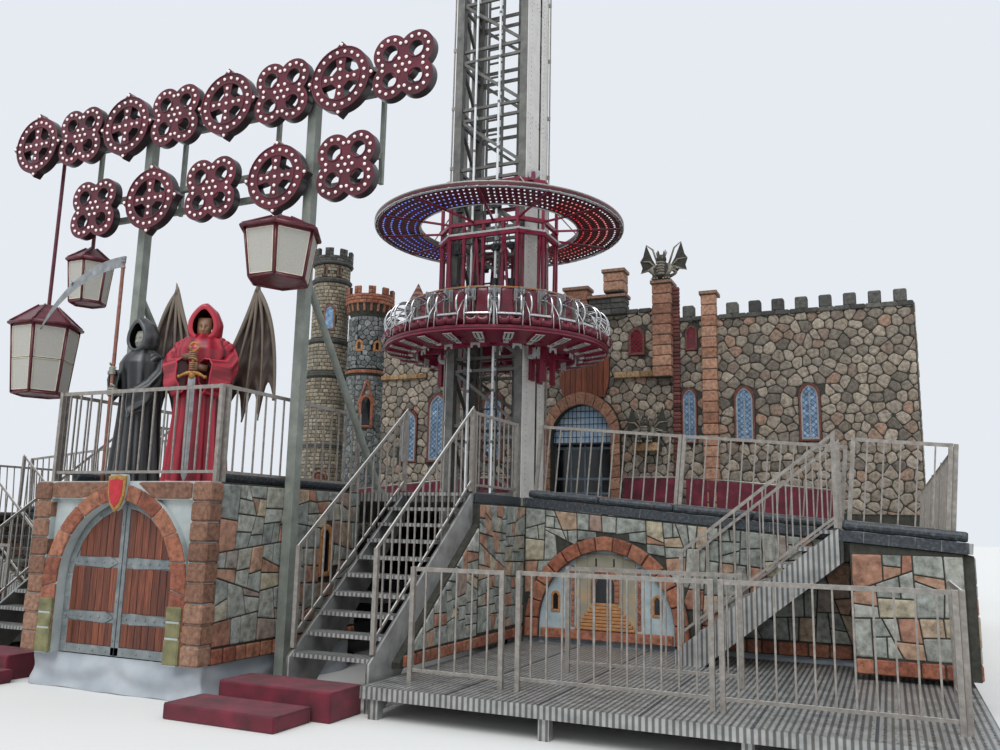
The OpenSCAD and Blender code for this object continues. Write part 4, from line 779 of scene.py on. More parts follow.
for side in (-1, 1):
    columns = int((low_x2 - low_x0) / 0.085)
    rows = int((low_y1 - low_y0) / 0.11)
    for i in range(columns):
        for j in range(rows):
            x = side * (low_x0 + 0.05 + i * 0.085)
            y = low_y0 + 0.06 + j * 0.11
            lean = 0.018 if (i + j) % 2 else -0.018
            a, b = Vector((x - lean, y - 0.032, low_top)), Vector((x + lean, y + 0.032, low_top))
            across = Vector((0.009, 0, 0))
            ridge = ((a + b) / 2) + Vector((0, 0, 0.005))
            lentils.add([a, ridge - across, b, ridge + across, ridge + Vector((0, 0, 0.001))],
                        [(0, 4, 1), (1, 4, 2), (2, 4, 3), (3, 4, 0)])
    for i in range(1, 6):
        x = side * (low_x0 + i * (low_x2 - low_x0) / 6)
        dark_seams.block((x - 0.012, low_y0 + 0.002, low_top - 0.001),
                         (x + 0.012, low_y1 - 0.002, low_top + 0.003), 0.001)
lentils.piece("tread_lentils", tread, "structure", "deck_plate")
dark_seams.piece("low_deck_seams", beam_paint, "structure", "frame_paint")


# Logs along the deck's edges: rigid foam turned and scored to look like thin trunks, painted
# near black with worn grey ridges. They lie end to end in lengths of about a metre.
bark = mottled("scored_black_foam", ((0.35, "1c2024"), (0.55, "343a3f"), (0.75, "5a6167")), 35.0,
               (0.45, 0.65), 0.0, 1.2, 14.0)
logs = Heap()
draw = random.Random(21)


def wing_point(side, x, y, z):
    """A point of the level wing tilted down about the wing's inner edge; side is -1 or 1."""
    dx, dz = x - WING_X, z - DECK_Z
    return Vector((side * (WING_X + dx * math.cos(WING_TILT) + dz * math.sin(WING_TILT)), y,
                   DECK_Z - dx * math.sin(WING_TILT) + dz * math.cos(WING_TILT)))


def lay_logs(start, end, length=0.95):
    """Logs end to end from one point to another, each with its own waist and knots."""
    run = end - start
    count = max(1, round(run.length / length))
    for i in range(count):
        a = start + run * ((i + 0.006) / count)
        b = start + run * ((i + 0.994) / count)
        phase = draw.uniform(0, 6.28)
        radii = [0.045] + [0.056 + 0.004 * math.sin(phase + 2.1 * k) for k in range(9)] + [0.045]
        spots = [a.lerp(b, t) for t in [0.0] + [0.02 + 0.96 * k / 8 for k in range(9)] + [1.0]]
        logs.tube(spots, radii, 12)


EXIT_X, EXIT_W, FRONT_Y, BACK_Y, BLOCK_Y, STAIR_TOP_Y = 6.98, 0.96, -5.45, 4.95, 9.6, 6.9
for side in (-1, 1):
    z = DECK_Z + 0.06
    lay_logs(wing_point(side, WING_X + 0.04, FRONT_Y + 0.065, z),
             wing_point(side, EXIT_X - 0.02, FRONT_Y + 0.065, z))
    lay_logs(wing_point(side, EXIT_X + 0.04, FRONT_Y - EXIT_W + 0.015, z),
             wing_point(side, DECK_HX - 0.02, FRONT_Y - EXIT_W + 0.015, z))
    lay_logs(wing_point(side, DECK_HX - 0.065, FRONT_Y + 0.10, z),
             wing_point(side, DECK_HX - 0.065, BACK_Y - 0.3, z))
    lay_logs(Vector((side * 1.065, -STAIR_TOP_Y - 0.06, z)), Vector((side * 1.065, -BLOCK_Y + 0.24, z)))
logs.piece("edge_logs", bark, "structure", "log", ("deck_logs",))
# Below the logs the floor's edge is faced with near-black strips of the same scored foam: painted shade for
# the edge that lies in the logs' shadow.
edge_shade_strips = Heap()
LANDING_X = 2.86
for side in (-1, 1):
    for x0, x1, y in ((WING_X + 0.01, EXIT_X - 0.01, FRONT_Y), (EXIT_X + 0.02, DECK_HX - 0.02,
                                                                FRONT_Y - EXIT_W - 0.05)):
        for k in range(5):
            a, b = x0 + (x1 - x0) * k / 5 + 0.003, x0 + (x1 - x0) * (k + 1) / 5 - 0.003
            edge_shade_strips.block((a, y - 0.009, DECK_Z - 0.112), (b, y - 0.0005, DECK_Z + 0.004), 0.004,
                              lambda p, side=side: wing_point(side, p.x, p.y, p.z))
    low_x, high_x = sorted((side * (LANDING_X + 0.0005), side * (LANDING_X + 0.009)))
    edge_shade_strips.block((low_x, -STAIR_TOP_Y + 0.01, DECK_Z - 0.112),
                      (high_x, FRONT_Y - 0.01, DECK_Z + 0.004), 0.003)
edge_shade_strips.piece("edge_shade_strips", bark, "structure", "log")


# Stone cladding: glass-fibre skins moulded over real field stones, then painted stone by stone.
# The joints are the skin's low parts, painted near black, so each stone reads by itself.
def stone_finish(name, stops, cloud_mm=90.0, grain_mm=9.0, relief_mm=2.5):
    """Painted moulded stone: a tone for each stone, clouded by dry brushing, with rough grain."""
    made, tree, shader = new_material(name, stops[0][1], 0.85)
    place = add_node(tree, "TexCoord").outputs["Object"]
    tone = add_node(tree, "Attribute", {"attribute_name": "tone"})
    tint = add_node(tree, "ValToRGB", {"stops": stops}, Fac=tone.outputs["Fac"])
    cloud = add_node(tree, "TexNoise", {"Scale": 1000.0 / cloud_mm, "Detail": 5.0, "Roughness": 0.65},
                     Vector=place)
    shade = add_node(tree, "ValToRGB", {"stops": ((0.3, "8f8c88"), (0.52, "d9d6d0"), (0.72, "ffffff"))},
                     Fac=cloud.outputs["Fac"])
    brushed = add_node(tree, "Mix", {"data_type": "RGBA", "blend_type": "MULTIPLY", "Factor_Float": 1.0},
                       A_Color=tint.outputs["Color"], B_Color=shade.outputs["Color"])
    tree.links.new(brushed.outputs[2], shader.inputs["Base Color"])
    grain = add_node(tree, "TexNoise", {"Scale": 1000.0 / grain_mm, "Detail": 4.0}, Vector=place)
    bump = add_node(tree, "Bump", {"Distance": relief_mm / 1000.0, "Strength": 0.9},
                    Height=grain.outputs["Fac"])
    tree.links.new(bump.outputs["Normal"], shader.inputs["Normal"])
    return made


def trimmed(polygon, point, normal):
    """The part of a convex polygon behind the line through a point."""
    kept = []
    for i, a in enumerate(polygon):
        b = polygon[(i + 1) % len(polygon)]
        da, db = (a - point).dot(normal), (b - point).dot(normal)
        if da <= 0:
            kept.append(a)
        if (da < 0) != (db < 0) and abs(da - db) > 1e-9:
            kept.append(a + (b - a) * (da / (da - db)))
    return kept


def spread(polygon):
    """Area of a polygon, positive when it runs anticlockwise."""
    return 0.5 * sum(a.x * b.y - a.y * b.x for a, b in zip(polygon, polygon[1:] + polygon[:1]))


def oblong(u0, u1, v0, v1):
    """An upright rectangle on a wall."""
    return [Vector((u0, v0)), Vector((u1, v0)), Vector((u1, v1)), Vector((u0, v1))]


def add_stone(heap, outline, proud, place, tone=0.5, corner=0.18, soft=0.16, tilt=0.0):
    """One stone on a wall: upright edges, a worn bevel and a slightly domed face."""
    centre = sum(outline, Vector((0.0, 0.0))) / len(outline)
    rim = []
    for i, a in enumerate(outline):
        if corner:
            rim.append(a.lerp(outline[i - 1], corner))
            rim.append(a.lerp(outline[(i + 1) % len(outline)], corner))
        else:
            rim.append(a)
    n = len(rim)
    points = [place(p.x, p.y, -0.004) for p in rim] + [place(p.x, p.y, 0.5 * proud) for p in rim]
    for p in rim:
        q = p.lerp(centre, soft)
        lean = tilt * (q.x - centre.x) / max(0.05, abs(rim[0].x - centre.x))
        points.append(place(q.x, q.y, proud * (0.88 + 0.12 * lean)))
    points.append(place(centre.x, centre.y, proud))
    faces = []
    for ring in (0, n):
        for i in range(n):
            j = (i + 1) % n
            faces.append((ring + i, ring + j, ring + n + j, ring + n + i))
    faces.extend((2 * n + i, 2 * n + (i + 1) % n, 3 * n) for i in range(n))
    heap.add(points, faces, tone)


def free_of(cell, seed, holes, gap):
    """The cell cut back from each convex hole, or nothing when its seed lies in one."""
    for hole in holes:
        best = None
        for i, a in enumerate(hole):
            b = hole[(i + 1) % len(hole)]
            normal = Vector((b.y - a.y, a.x - b.x)).normalized()
            away = (seed - a).dot(normal)
            if best is None or away > best[0]:
                best = (away, a, normal)
        if best[0] <= 0:
            return []
        cell = trimmed(cell, best[1] + best[2] * gap, -best[2])
    return cell


def add_flags(heap, region, size, proud, joint, place, draw, holes=(), flat=1.0, corner=0.12, soft=0.14):
    """Irregular stones that fill a convex region; flat above 1 makes them wider than tall."""
    region = [Vector(p) for p in region]
    if spread(region) < 0:
        region.reverse()
    wide, tall = size * flat, size / flat
    u0, v0 = min(p.x for p in region), min(p.y for p in region)
    u1, v1 = max(p.x for p in region), max(p.y for p in region)
    seeds = {}
    for row in range(-1, int((v1 - v0) / tall) + 3):
        for column in range(-1, int((u1 - u0) / wide) + 3):
            seeds[row, column] = Vector((u0 + (column + 0.5 * (row % 2) + draw.uniform(-0.34, 0.34)) * wide,
                                         v0 + (row + draw.uniform(-0.34, 0.34)) * tall))
    for (row, column), seed in seeds.items():
        cell = [seed + Vector((a * wide * 1.3, b * tall * 1.3)) for a,
                b in ((-1, -1), (1, -1), (1, 1), (-1, 1))]
        for i, a in enumerate(region):
            b = region[(i + 1) % len(region)]
            normal = Vector((b.y - a.y, a.x - b.x)).normalized()
            cell = trimmed(cell, a - normal * joint / 2, normal)
        for dr in range(-2, 3):
            for dc in range(-2, 3):
                other = seeds.get((row + dr, column + dc))
                if other is None or other is seed or not cell:
                    continue
                heading = (other - seed).normalized()
                cell = trimmed(cell, (seed + other) / 2 - heading * joint / 2, heading)
        if len(cell) >= 3:
            cell = free_of(cell, seed, holes, joint / 2)
        if len(cell) >= 3 and spread(cell) > 0.10 * wide * tall:
            add_stone(heap, cell, proud * draw.uniform(0.75, 1.1), place, draw.random(), corner,
                      soft, draw.uniform(-1, 1))


def add_slabs(heap, region, size, proud, joint, place, draw, holes=()):
    """Angular slabs: a convex region is split again and again by slightly leaning cuts."""
    todo = [[Vector(p) for p in region]]
    if spread(todo[0]) < 0:
        todo[0].reverse()
    while todo:
        cell = todo.pop()
        low = Vector((min(p.x for p in cell), min(p.y for p in cell)))
        high = Vector((max(p.x for p in cell), max(p.y for p in cell)))
        wide, tall = high - low
        if max(wide, tall) < 2.1 * size and wide * tall < size * size * draw.uniform(0.5, 2.2):
            edges = [(a, cell[(i + 1) % len(cell)]) for i, a in enumerate(cell)]
            for a, b in edges:
                normal = Vector((b.y - a.y, a.x - b.x)).normalized()
                cell = trimmed(cell, a - normal * joint / 2, normal)
            if len(cell) >= 3:
                cell = free_of(cell, sum(cell, Vector((0.0, 0.0))) / len(cell), holes, joint / 2)
            if len(cell) >= 3 and spread(cell) > 0.06 * size * size:
                add_stone(heap, cell, proud * draw.uniform(0.7, 1.15), place, draw.random(), 0.035,
                          0.09, draw.uniform(-1, 1))
            continue
        point = low.lerp(high, draw.uniform(0.36, 0.64))
        lean = draw.uniform(-0.14, 0.14) if draw.random() < 0.75 else draw.uniform(-0.5, 0.5)
        cut = Vector((1.0, lean)) if wide > tall * draw.uniform(0.8, 1.25) else Vector((lean, 1.0))
        for way in (cut, -cut):
            half = trimmed(cell, point, way.normalized())
            if len(half) >= 3:
                todo.append(half)


def add_courses(heap, u0, u1, v0, v1, tall, long, proud, joint, place, draw, holes=(), corner=0.08,
                soft=0.12):
    """Level courses of blocks between two distances and two heights, with broken joints."""
    rows = max(1, round((v1 - v0) / tall))
    step = (v1 - v0) / rows
    for row in range(rows):
        u = u0 - (0.5 * long * draw.uniform(0.4, 1.0) if row % 2 else 0.0)
        while u < u1 - 0.02:
            wide = long * draw.uniform(0.75, 1.25)
            a, b = max(u, u0), min(u + wide, u1)
            u += wide
            if b - a < 0.25 * long:
                continue
            low, high = v0 + row * step + joint / 2, v0 + (row + 1) * step - joint / 2
            cell = oblong(a + joint / 2, b - joint / 2, low, high)
            seed = Vector(((a + b) / 2, (low + high) / 2))
            cell = free_of(cell, seed, holes, joint / 2)
            if len(cell) >= 3 and spread(cell) > 0.2 * tall * tall:
                add_stone(heap, cell, proud * draw.uniform(0.85, 1.1), place, draw.random(), corner,
                          soft, draw.uniform(-1, 1))


def arch_points(width, height, count=7, foot=0.0, sharp=1.08):
    """Outline of an arch from its right foot over the top to its left foot; sharp above 1 points it."""
    r = width / 2 * sharp
    spring = height - (r if sharp < 1.2 else math.sqrt(r * r - (r - width / 2) ** 2))
    stop = math.acos((r - width / 2) / r)
    right_half = [Vector((width / 2, foot))] + [
        Vector((width / 2 - r + r * math.cos(stop * i / count),
                foot + spring + r * math.sin(stop * i / count))) for i in range(count + 1)]
    return right_half + [Vector((-p.x, p.y)) for p in reversed(right_half[:-1])]


def moved(points, du, dv=0.0):
    """The outline moved across and up."""
    return [p + Vector((du, dv)) for p in points]


def add_arch_blocks(heap, inner, outer, middle, foot, proud, place, draw, long, joint=0.014, top=99.0):
    """Wedge blocks between two arches given as (width, height)."""
    fine_in = moved(arch_points(inner[0], inner[1], 40), middle, foot)
    fine_out = moved(arch_points(outer[0], outer[1], 40), middle, foot)
    count = max(3, round(sum((a - b).length for a, b in zip(fine_out, fine_out[1:])) / long))
    marks = [0.0]
    for a, b in zip(fine_out, fine_out[1:]):
        marks.append(marks[-1] + (b - a).length)

    def at(path, share):
        target = share * marks[-1]
        for i in range(len(marks) - 1):
            if marks[i + 1] >= target:
                return path[i].lerp(path[i + 1], (target - marks[i]) / max(1e-6, marks[i + 1] - marks[i]))
        return path[-1]

    for k in range(count):
        a, b = (k + 0.5 * joint / long) / count, (k + 1 - 0.5 * joint / long) / count
        cell = [at(fine_in, a), at(fine_out, a), at(fine_out, (a + b) / 2), at(fine_out, b),
                at(fine_in, b), at(fine_in, (a + b) / 2)]
        cell = trimmed(cell, Vector((0.0, top)), Vector((0.0, 1.0)))
        if len(cell) >= 3:
            add_stone(heap, cell, proud * draw.uniform(0.9, 1.1), place, draw.random(), 0.06, 0.1,
                      draw.uniform(-1, 1))


def facing_front(y):
    """Puts a wall point on a plane that faces the front; its height stays."""
    return lambda u, v, w: Vector((u, y - w, v))


def facing_side(side, x):
    """Puts a wall point on a plane that faces left (-1) or right (1)."""
    return lambda u, v, w: Vector((side * (x + w), side * u, v))


mortar = mottled("painted_joint", ((0.35, "26251f"), (0.6, "3b3a33"), (0.8, "4b4a42")), 70.0, (0.8, 0.95),
                 0.0, 1.0, 8.0)
flag_stone = stone_finish("painted_flagstone", (
    (0.0, "8b9390"), (0.2, "a0a6a2"), (0.38, "b3b6af"), (0.5, "989f9b"), (0.6, "beb59f"), (0.7, "b8957f"),
    (0.82, "aa7a67"), (0.92, "979e9b"), (1.0, "b8bab4")))
salmon_block = stone_finish("painted_salmon_block", ((0.0, "8a4f3d"), (0.4, "a5654e"), (0.7, "b37a60"),
                                                     (1.0, "96604c")), 60.0, 14.0, 4.0)
brown_block = stone_finish("painted_brown_block", ((0.0, "7f5b4a"), (0.5, "97705c"), (1.0, "a88470")),
                           50.0, 7.0, 2.0)
ochre_frame = mottled("painted_ochre_moulding", ((0.3, "8d5f38"), (0.6, "a9774a"), (0.8, "bd8f62")),
                      50.0, (0.6, 0.8), 0.0, 0.8, 9.0)
dress("stone_walls", mortar)
WALL_FOOT = 0.36
draw = random.Random(3)
flags, bases = Heap(), Heap()
window_rims, panes = Heap(), Heap()


def wing_top(x):
    """Height of the wing's underside at a distance from the mast."""
    return DECK_Z - 0.11 - 0.02 - (x - WING_X) * math.tan(WING_TILT)


def add_window(rims, glass, width, height, middle, foot, place, rim=0.055, proud=0.03, lift=0.004):
    """A pointed window: a moulded rim and, where a heap for glass is given, a pane set back in it."""
    outer = moved(arch_points(width, height, 5), middle, foot)
    inner = moved(arch_points(width - 2 * rim, height - 2 * rim, 5, 0.0, 1.75), middle, foot + rim)
    n = len(outer)
    for i in range(n):
        j = (i + 1) % n
        cell = [inner[i], outer[i], outer[j], inner[j]]
        add_stone(rims, cell, proud, place, 0.5, 0.0, 0.12)
    if glass:
        add_stone(glass, inner, lift, place, 0.5, 0.0, 0.02)
    return outer


HALL_X, HALL_W, HALL_H, HALL_RIB = 4.08, 2.18, 1.33, 0.18
BASE_TALL, BASE_LONG, JOINT = 0.16, 0.2, 0.014
SLAB_FOOT = WALL_FOOT + 0.17
SLAB_PROUD, BASE_PROUD = 0.022, 0.03
LOW_Y = FRONT_Y - EXIT_W
END_TOP = wing_top(DECK_HX)


def clad_wall(face, ends, tops, size, holes=(), proud=SLAB_PROUD, base_proud=BASE_PROUD):
    """Slabs between a wall's two ends, then one course of base blocks below them."""
    outline = [(ends[0], SLAB_FOOT), (ends[1], SLAB_FOOT), (ends[1], tops[1]), (ends[0], tops[0])]
    add_slabs(flags, outline, size, proud, JOINT, face, draw, holes)
    add_courses(bases, min(ends), max(ends), WALL_FOOT, WALL_FOOT + BASE_TALL, BASE_TALL, BASE_LONG,
                base_proud, JOINT, face, draw, holes)


for side in (-1, 1):
    hall = moved(arch_points(HALL_W, HALL_H), side * HALL_X, WALL_FOOT)
    a, b = WING_X + 0.02, DECK_HX - 0.1
    clad_wall(facing_front(FRONT_Y), (side * a, side * b), (wing_top(a), wing_top(b)), 0.24, (hall,))
    across = facing_side(side, 1.22)
    window = add_window(window_rims, panes, 0.26, 0.62, side * -7.62, 1.15, across)
    block_ends = sorted((side * (-BLOCK_Y + 0.10), side * (-STAIR_TOP_Y - 0.02)))
    clad_wall(across, block_ends, (2.168, 2.168), 0.25, (window,))
    stair_side = facing_side(side, 2.926)
    for shape in (((-8.54, 0.50), (-6.91, 0.50), (-6.91, 1.78)), ((-6.88, 0.52), (-5.46, 0.52),
                                                                  (-5.46, 2.05), (-6.88, 2.05))):
        add_slabs(flags, [(side * u, v) for u, v in shape], 0.22, SLAB_PROUD, JOINT, stair_side, draw)
    u_low, u_high = sorted((side * -8.62, side * -5.47))
    add_courses(bases, u_low, u_high, WALL_FOOT, WALL_FOOT + 0.13, 0.13, BASE_LONG, BASE_PROUD, JOINT,
                stair_side, draw)
    for face, ends, size in (
            (facing_side(side, DECK_HX), (side * (LOW_Y + 0.01), side * (BACK_Y - 0.02)), 0.27),
            (facing_front(LOW_Y - 0.03), (side * (EXIT_X + 0.11), side * (DECK_HX - 0.1)), 0.24)):
        clad_wall(face, sorted(ends), (END_TOP, END_TOP), size, (), 0.02, 0.028)
    add_arch_blocks(bases, (HALL_W - 2 * HALL_RIB, HALL_H - HALL_RIB), (HALL_W, HALL_H), side * HALL_X,
                    WALL_FOOT,
                    0.045, facing_front(FRONT_Y - 0.058), draw, 0.26)
flags.piece("wall_flagstones", flag_stone, "structure", "stone_shell")
bases.piece("wall_base_blocks", salmon_block, "structure", "stone_shell")
window_rims.piece("wall_window_rims", ochre_frame, "structure", "stone_shell")
dark_pane = mottled("dark_acrylic_pane", ((0.4, "101214"), (0.7, "1c2024")), 300.0, (0.1, 0.2))
panes.piece("wall_window_panes", dark_pane, "structure", "clear_board")


# Gate front: a glass-fibre moulding with a smooth rendered field, wedge blocks round the arch,
# a long lintel and corner quoins that wrap the block, and a plain painted shield at the top.
GATE_Y = -BLOCK_Y - 0.07
render_grey = mottled("painted_render", ((0.3, "8e9696"), (0.55, "a9b0af"), (0.8, "c3c7c3")), 420.0,
                      (0.7, 0.85), 0.0, 0.5, 6.0)
dress("gate_wall", render_grey)
draw = random.Random(8)
gate_blocks, quoins, green_blocks = Heap(), Heap(), Heap()
on_gate = facing_front(GATE_Y)
GATE_OPENING, GATE_ARCH = (1.62, 1.63), (2.04, 1.798)
arch = arch_points(*GATE_ARCH, 7, WALL_FOOT)
add_arch_blocks(gate_blocks, GATE_OPENING, GATE_ARCH, 0.0, WALL_FOOT, 0.022, on_gate, draw, 0.34, 0.012)
gate_blocks.piece("gate_arch_blocks", salmon_block, "structure", "stone_shell")
add_courses(quoins, -1.01, 1.01, 1.995, 2.172, 0.177, 1.0, 0.016, 0.006, on_gate, draw, (arch,))
for side in (-1, 1):
    for k in range(9):
        z0 = WALL_FOOT + 0.004 + k * 0.2015
        x0, x1 = sorted((side * (1.012 - 0.006 * (k % 2)), side * (1.240 + 0.008 * (k % 3))))
        quoins.block((x0, -9.702 + 0.006 * (k % 2), z0), (x1, -9.49, z0 + 0.193), 0.02, None, draw.random())
    for low, high, z0, z1, lift in ((0.806, 1.004, 0.362, 0.615, 0.0), (0.812, 0.998, 0.622, 0.775,
            0.003), (0.809, 1.001, 0.782, 0.928, 0.001)):
        x0, x1 = sorted((side * low, side * high))
        green_blocks.block((x0, -9.718 + lift, z0), (x1, -9.66, z1), 0.014)
quoins.piece("gate_quoins", brown_block, "structure", "stone_shell")
moss_paint = mottled("painted_moss_stone", ((0.3, "57553a"), (0.55, "77744f"), (0.8, "918d68")),
                     130.0, (0.6, 0.75), 0.0, 0.8, 8.0)
green_blocks.piece("gate_foot_blocks", moss_paint, "structure", "stone_shell")
heater = [Vector(p) for p in ((0.0, 0.0), (0.075, 0.07), (0.115, 0.17), (0.125, 0.27), (0.125, 0.38),
                              (0.06, 0.385), (0.0, 0.40),
                              (-0.06, 0.385), (-0.125, 0.38), (-0.125, 0.27), (-0.115, 0.17),
                              (-0.075, 0.07))]
shield_rim, shield_field = Heap(), Heap()
add_stone(shield_rim, moved(heater, 0.0, 1.85), 0.024, facing_front(GATE_Y - 0.045), 0.5, 0.0, 0.12)
small = [p * 0.76 + Vector((0.0, 0.05)) for p in heater]
add_stone(shield_field, moved(small, 0.0, 1.85), 0.008, facing_front(GATE_Y - 0.067), 0.5, 0.0, 0.1)
old_gold = mottled("painted_old_gold", ((0.3, "7d5a26"), (0.6, "a37c3c"), (0.8, "c09a55")), 40.0,
                   (0.35, 0.5), 0.2, 0.3, 6.0)
signal_red = mottled("gloss_red_paint", ((0.3, "9c1420"), (0.7, "b81e2c")), 90.0, (0.2, 0.35))
shield_rim.piece("gate_shield_rim", old_gold, "structure", "stone_shell")
shield_field.piece("gate_shield_field", signal_red, "structure", "stone_shell")


# Gate doors: two fixed leaves of oiled softwood boards in a frame of grey-painted iron strip,
# with spear-headed straps and round coach bolts. Grain runs up each board; knots darken it.
iron_paint = mottled("grey_painted_iron", ((0.3, "5d6365"), (0.55, "757b7c"), (0.8, "8b9090")),
                     120.0, (0.4, 0.6), 0.15, 0.6, 9.0)
dress("gate_doors", iron_paint)
oiled_board, board_tree, board_shader = new_material("oiled_softwood_board", "7a4328", 0.45)
board_place = add_node(board_tree, "TexCoord").outputs["Object"]
board_stretch = add_node(board_tree, "Mapping", {"Scale": (70.0, 70.0, 2.2)}, Vector=board_place)
board_grain = add_node(board_tree, "TexNoise", {"Scale": 1.0, "Detail": 6.0, "Distortion": 1.2},
                       Vector=board_stretch.outputs["Vector"])
board_tint = add_node(board_tree, "ValToRGB",
                      {"stops": ((0.28, "371910"), (0.45, "62301d"), (0.6, "84462b"), (0.78, "9b5c38"))},
                      Fac=board_grain.outputs["Fac"])
board_tone = add_node(board_tree, "Attribute", {"attribute_name": "tone"})
board_cast = add_node(board_tree, "ValToRGB", {"stops": ((0.0, "b9aca4"), (1.0, "ffffff"))},
                      Fac=board_tone.outputs["Fac"])
board_mix = add_node(board_tree, "Mix", {"data_type": "RGBA", "blend_type": "MULTIPLY",
                                         "Factor_Float": 1.0},
                     A_Color=board_tint.outputs["Color"], B_Color=board_cast.outputs["Color"])
board_tree.links.new(board_mix.outputs[2], board_shader.inputs["Base Color"])
board_bump = add_node(board_tree, "Bump", {"Distance": 0.0015, "Strength": 0.8},
                      Height=board_grain.outputs["Fac"])
board_tree.links.new(board_bump.outputs["Normal"], board_shader.inputs["Normal"])
DOOR_Y = -9.545
on_door = facing_front(DOOR_Y)
boards, door_iron = Heap(), Heap()
leaf = arch_points(1.43, 1.44, 12, WALL_FOOT + 0.10)
for side in (-1, 1):
    for z0, z1 in ((0.46, 0.695), (0.805, 1.265), (1.375, 1.93)):
        for k in range(7):
            u0, u1 = sorted((side * (0.062 + k * 0.096), side * (0.062 + (k + 1) * 0.096 - 0.006)))
            cell = oblong(u0, u1, z0, z1)
            for i, a in enumerate(leaf):
                b = leaf[(i + 1) % len(leaf)]
                cell = trimmed(cell, a, Vector((b.y - a.y, a.x - b.x)).normalized())
            if len(cell) >= 3 and spread(cell) > 0.002:
                add_stone(boards, cell, 0.010, on_door, draw.random(), 0.0, 0.06)
    x0, x1 = sorted((side * 0.006, side * 0.056))
    door_iron.block((x0, DOOR_Y - 0.014, 0.37), (x1, DOOR_Y + 0.002, 1.93), 0.003)
    x0, x1 = sorted((side * 0.006, side * 0.80))
    door_iron.block((x0, DOOR_Y - 0.014, 0.366), (x1, DOOR_Y + 0.002, 0.455), 0.003)
    for z in (0.75, 1.32):
        for x in (0.13, 0.26, 0.39, 0.52, 0.65, 0.755):
            door_iron.ball((side * x, DOOR_Y - 0.011, z), 0.014, 3, 8, True, (0, -1, 0))
    for k in range(4):
        door_iron.ball((side * 0.765, DOOR_Y - 0.013, 0.50 + 0.22 * k), 0.013, 3, 8, True, (0, -1, 0))
        door_iron.ball((side * 0.031, DOOR_Y - 0.013, 0.52 + 0.4 * k), 0.011, 3, 8, True, (0, -1, 0))
        door_iron.ball((side * (0.12 + 0.19 * k), DOOR_Y - 0.013, 0.41), 0.013, 3, 8, True, (0, -1, 0))
add_arch_blocks(door_iron, (1.43, 1.535), (1.604, 1.617), 0.0, WALL_FOOT + 0.006, 0.014, on_door,
                draw, 0.42, 0.002)
for p in arch_points(1.52, 1.575, 6, WALL_FOOT)[2:-2]:
    door_iron.ball((p.x, DOOR_Y - 0.013, p.y), 0.013, 3, 8, True, (0, -1, 0))
boards.piece("door_boards", oiled_board, "structure", "door_board")
door_iron.piece("door_iron", iron_paint, "structure", "door_board")


# Arched reliefs in the long front walls: a moulded view up a flight of steps to a small door,
# painted in pale blue and grey, set back inside a ring of rough blocks.
sky_render = mottled("painted_blue_render", ((0.3, "7f8f96"), (0.55, "9fadb0"), (0.8, "b9c2c1")),
                     260.0, (0.7, 0.85), 0.0, 0.4, 7.0)
warm_render = mottled("painted_warm_render", ((0.3, "716f62"), (0.55, "8a8472"), (0.72, "a98a63")),
                      330.0, (0.7, 0.85), 0.0, 0.4, 7.0)
relief_field, relief_wall, relief_stone, relief_rims, relief_dark = Heap(), Heap(), Heap(), Heap(), Heap()
for side in (-1, 1):
    mid = side * HALL_X
    face = facing_front(FRONT_Y)
    add_stone(relief_field, moved(arch_points(1.83, 1.16), mid, WALL_FOOT), 0.006, face, 0.5, 0.0, 0.01)
    for x0, x1, z0, z1, lift in ((-0.40, -0.22, 0.5, 1.40, 0.016), (0.22, 0.40, 0.5, 1.40, 0.016),
                                 (-0.24, 0.24, 0.5, 1.46, 0.024)):
        relief_wall.block((mid + x0, FRONT_Y - lift, z0), (mid + x1, FRONT_Y, z1), 0.006)
    for x in (-0.12, 0.12):
        relief_dark.block((mid + x - 0.012, FRONT_Y - 0.028, 1.30),
                          (mid + x + 0.012, FRONT_Y - 0.02, 1.40), 0.002)
    inner = facing_front(FRONT_Y - 0.024)
    add_arch_blocks(relief_stone, (0.26, 0.36), (0.38, 0.44), mid, 0.84, 0.016, inner, draw, 0.08, 0.006)
    add_stone(relief_dark, moved(arch_points(0.25, 0.35), mid, 0.84), 0.004, inner, 0.5, 0.0, 0.03)
    for k in range(8):
        half = 0.40 - 0.032 * k
        relief_rims.block((mid - half, FRONT_Y - 0.062 + 0.004 * k, 0.50 + 0.043 * k),
                          (mid + half, FRONT_Y - 0.01, 0.536 + 0.043 * k), 0.005)
    for x in (-0.47, 0.42):
        add_courses(relief_stone, mid + x, mid + x + 0.055, 0.52, 1.30, 0.065, 0.2, 0.022, 0.006,
                    face, draw)
    relief_stone.block((mid - 0.88, FRONT_Y - 0.05, 0.365), (mid + 0.88, FRONT_Y - 0.002, 0.49), 0.012)
    for x in (-0.68, 0.68):
        add_window(relief_rims, relief_dark, 0.13, 0.27, mid + x, 0.70, facing_front(FRONT_Y - 0.004),
                   0.03, 0.018)
relief_field.piece("relief_field", sky_render, "structure", "stone_shell")
relief_wall.piece("relief_towers", warm_render, "structure", "stone_shell")
relief_stone.piece("relief_blocks", salmon_block, "structure", "stone_shell")
relief_rims.piece("relief_steps", ochre_frame, "structure", "stone_shell")
relief_dark.piece("relief_door", dark_pane, "structure", "door_board")


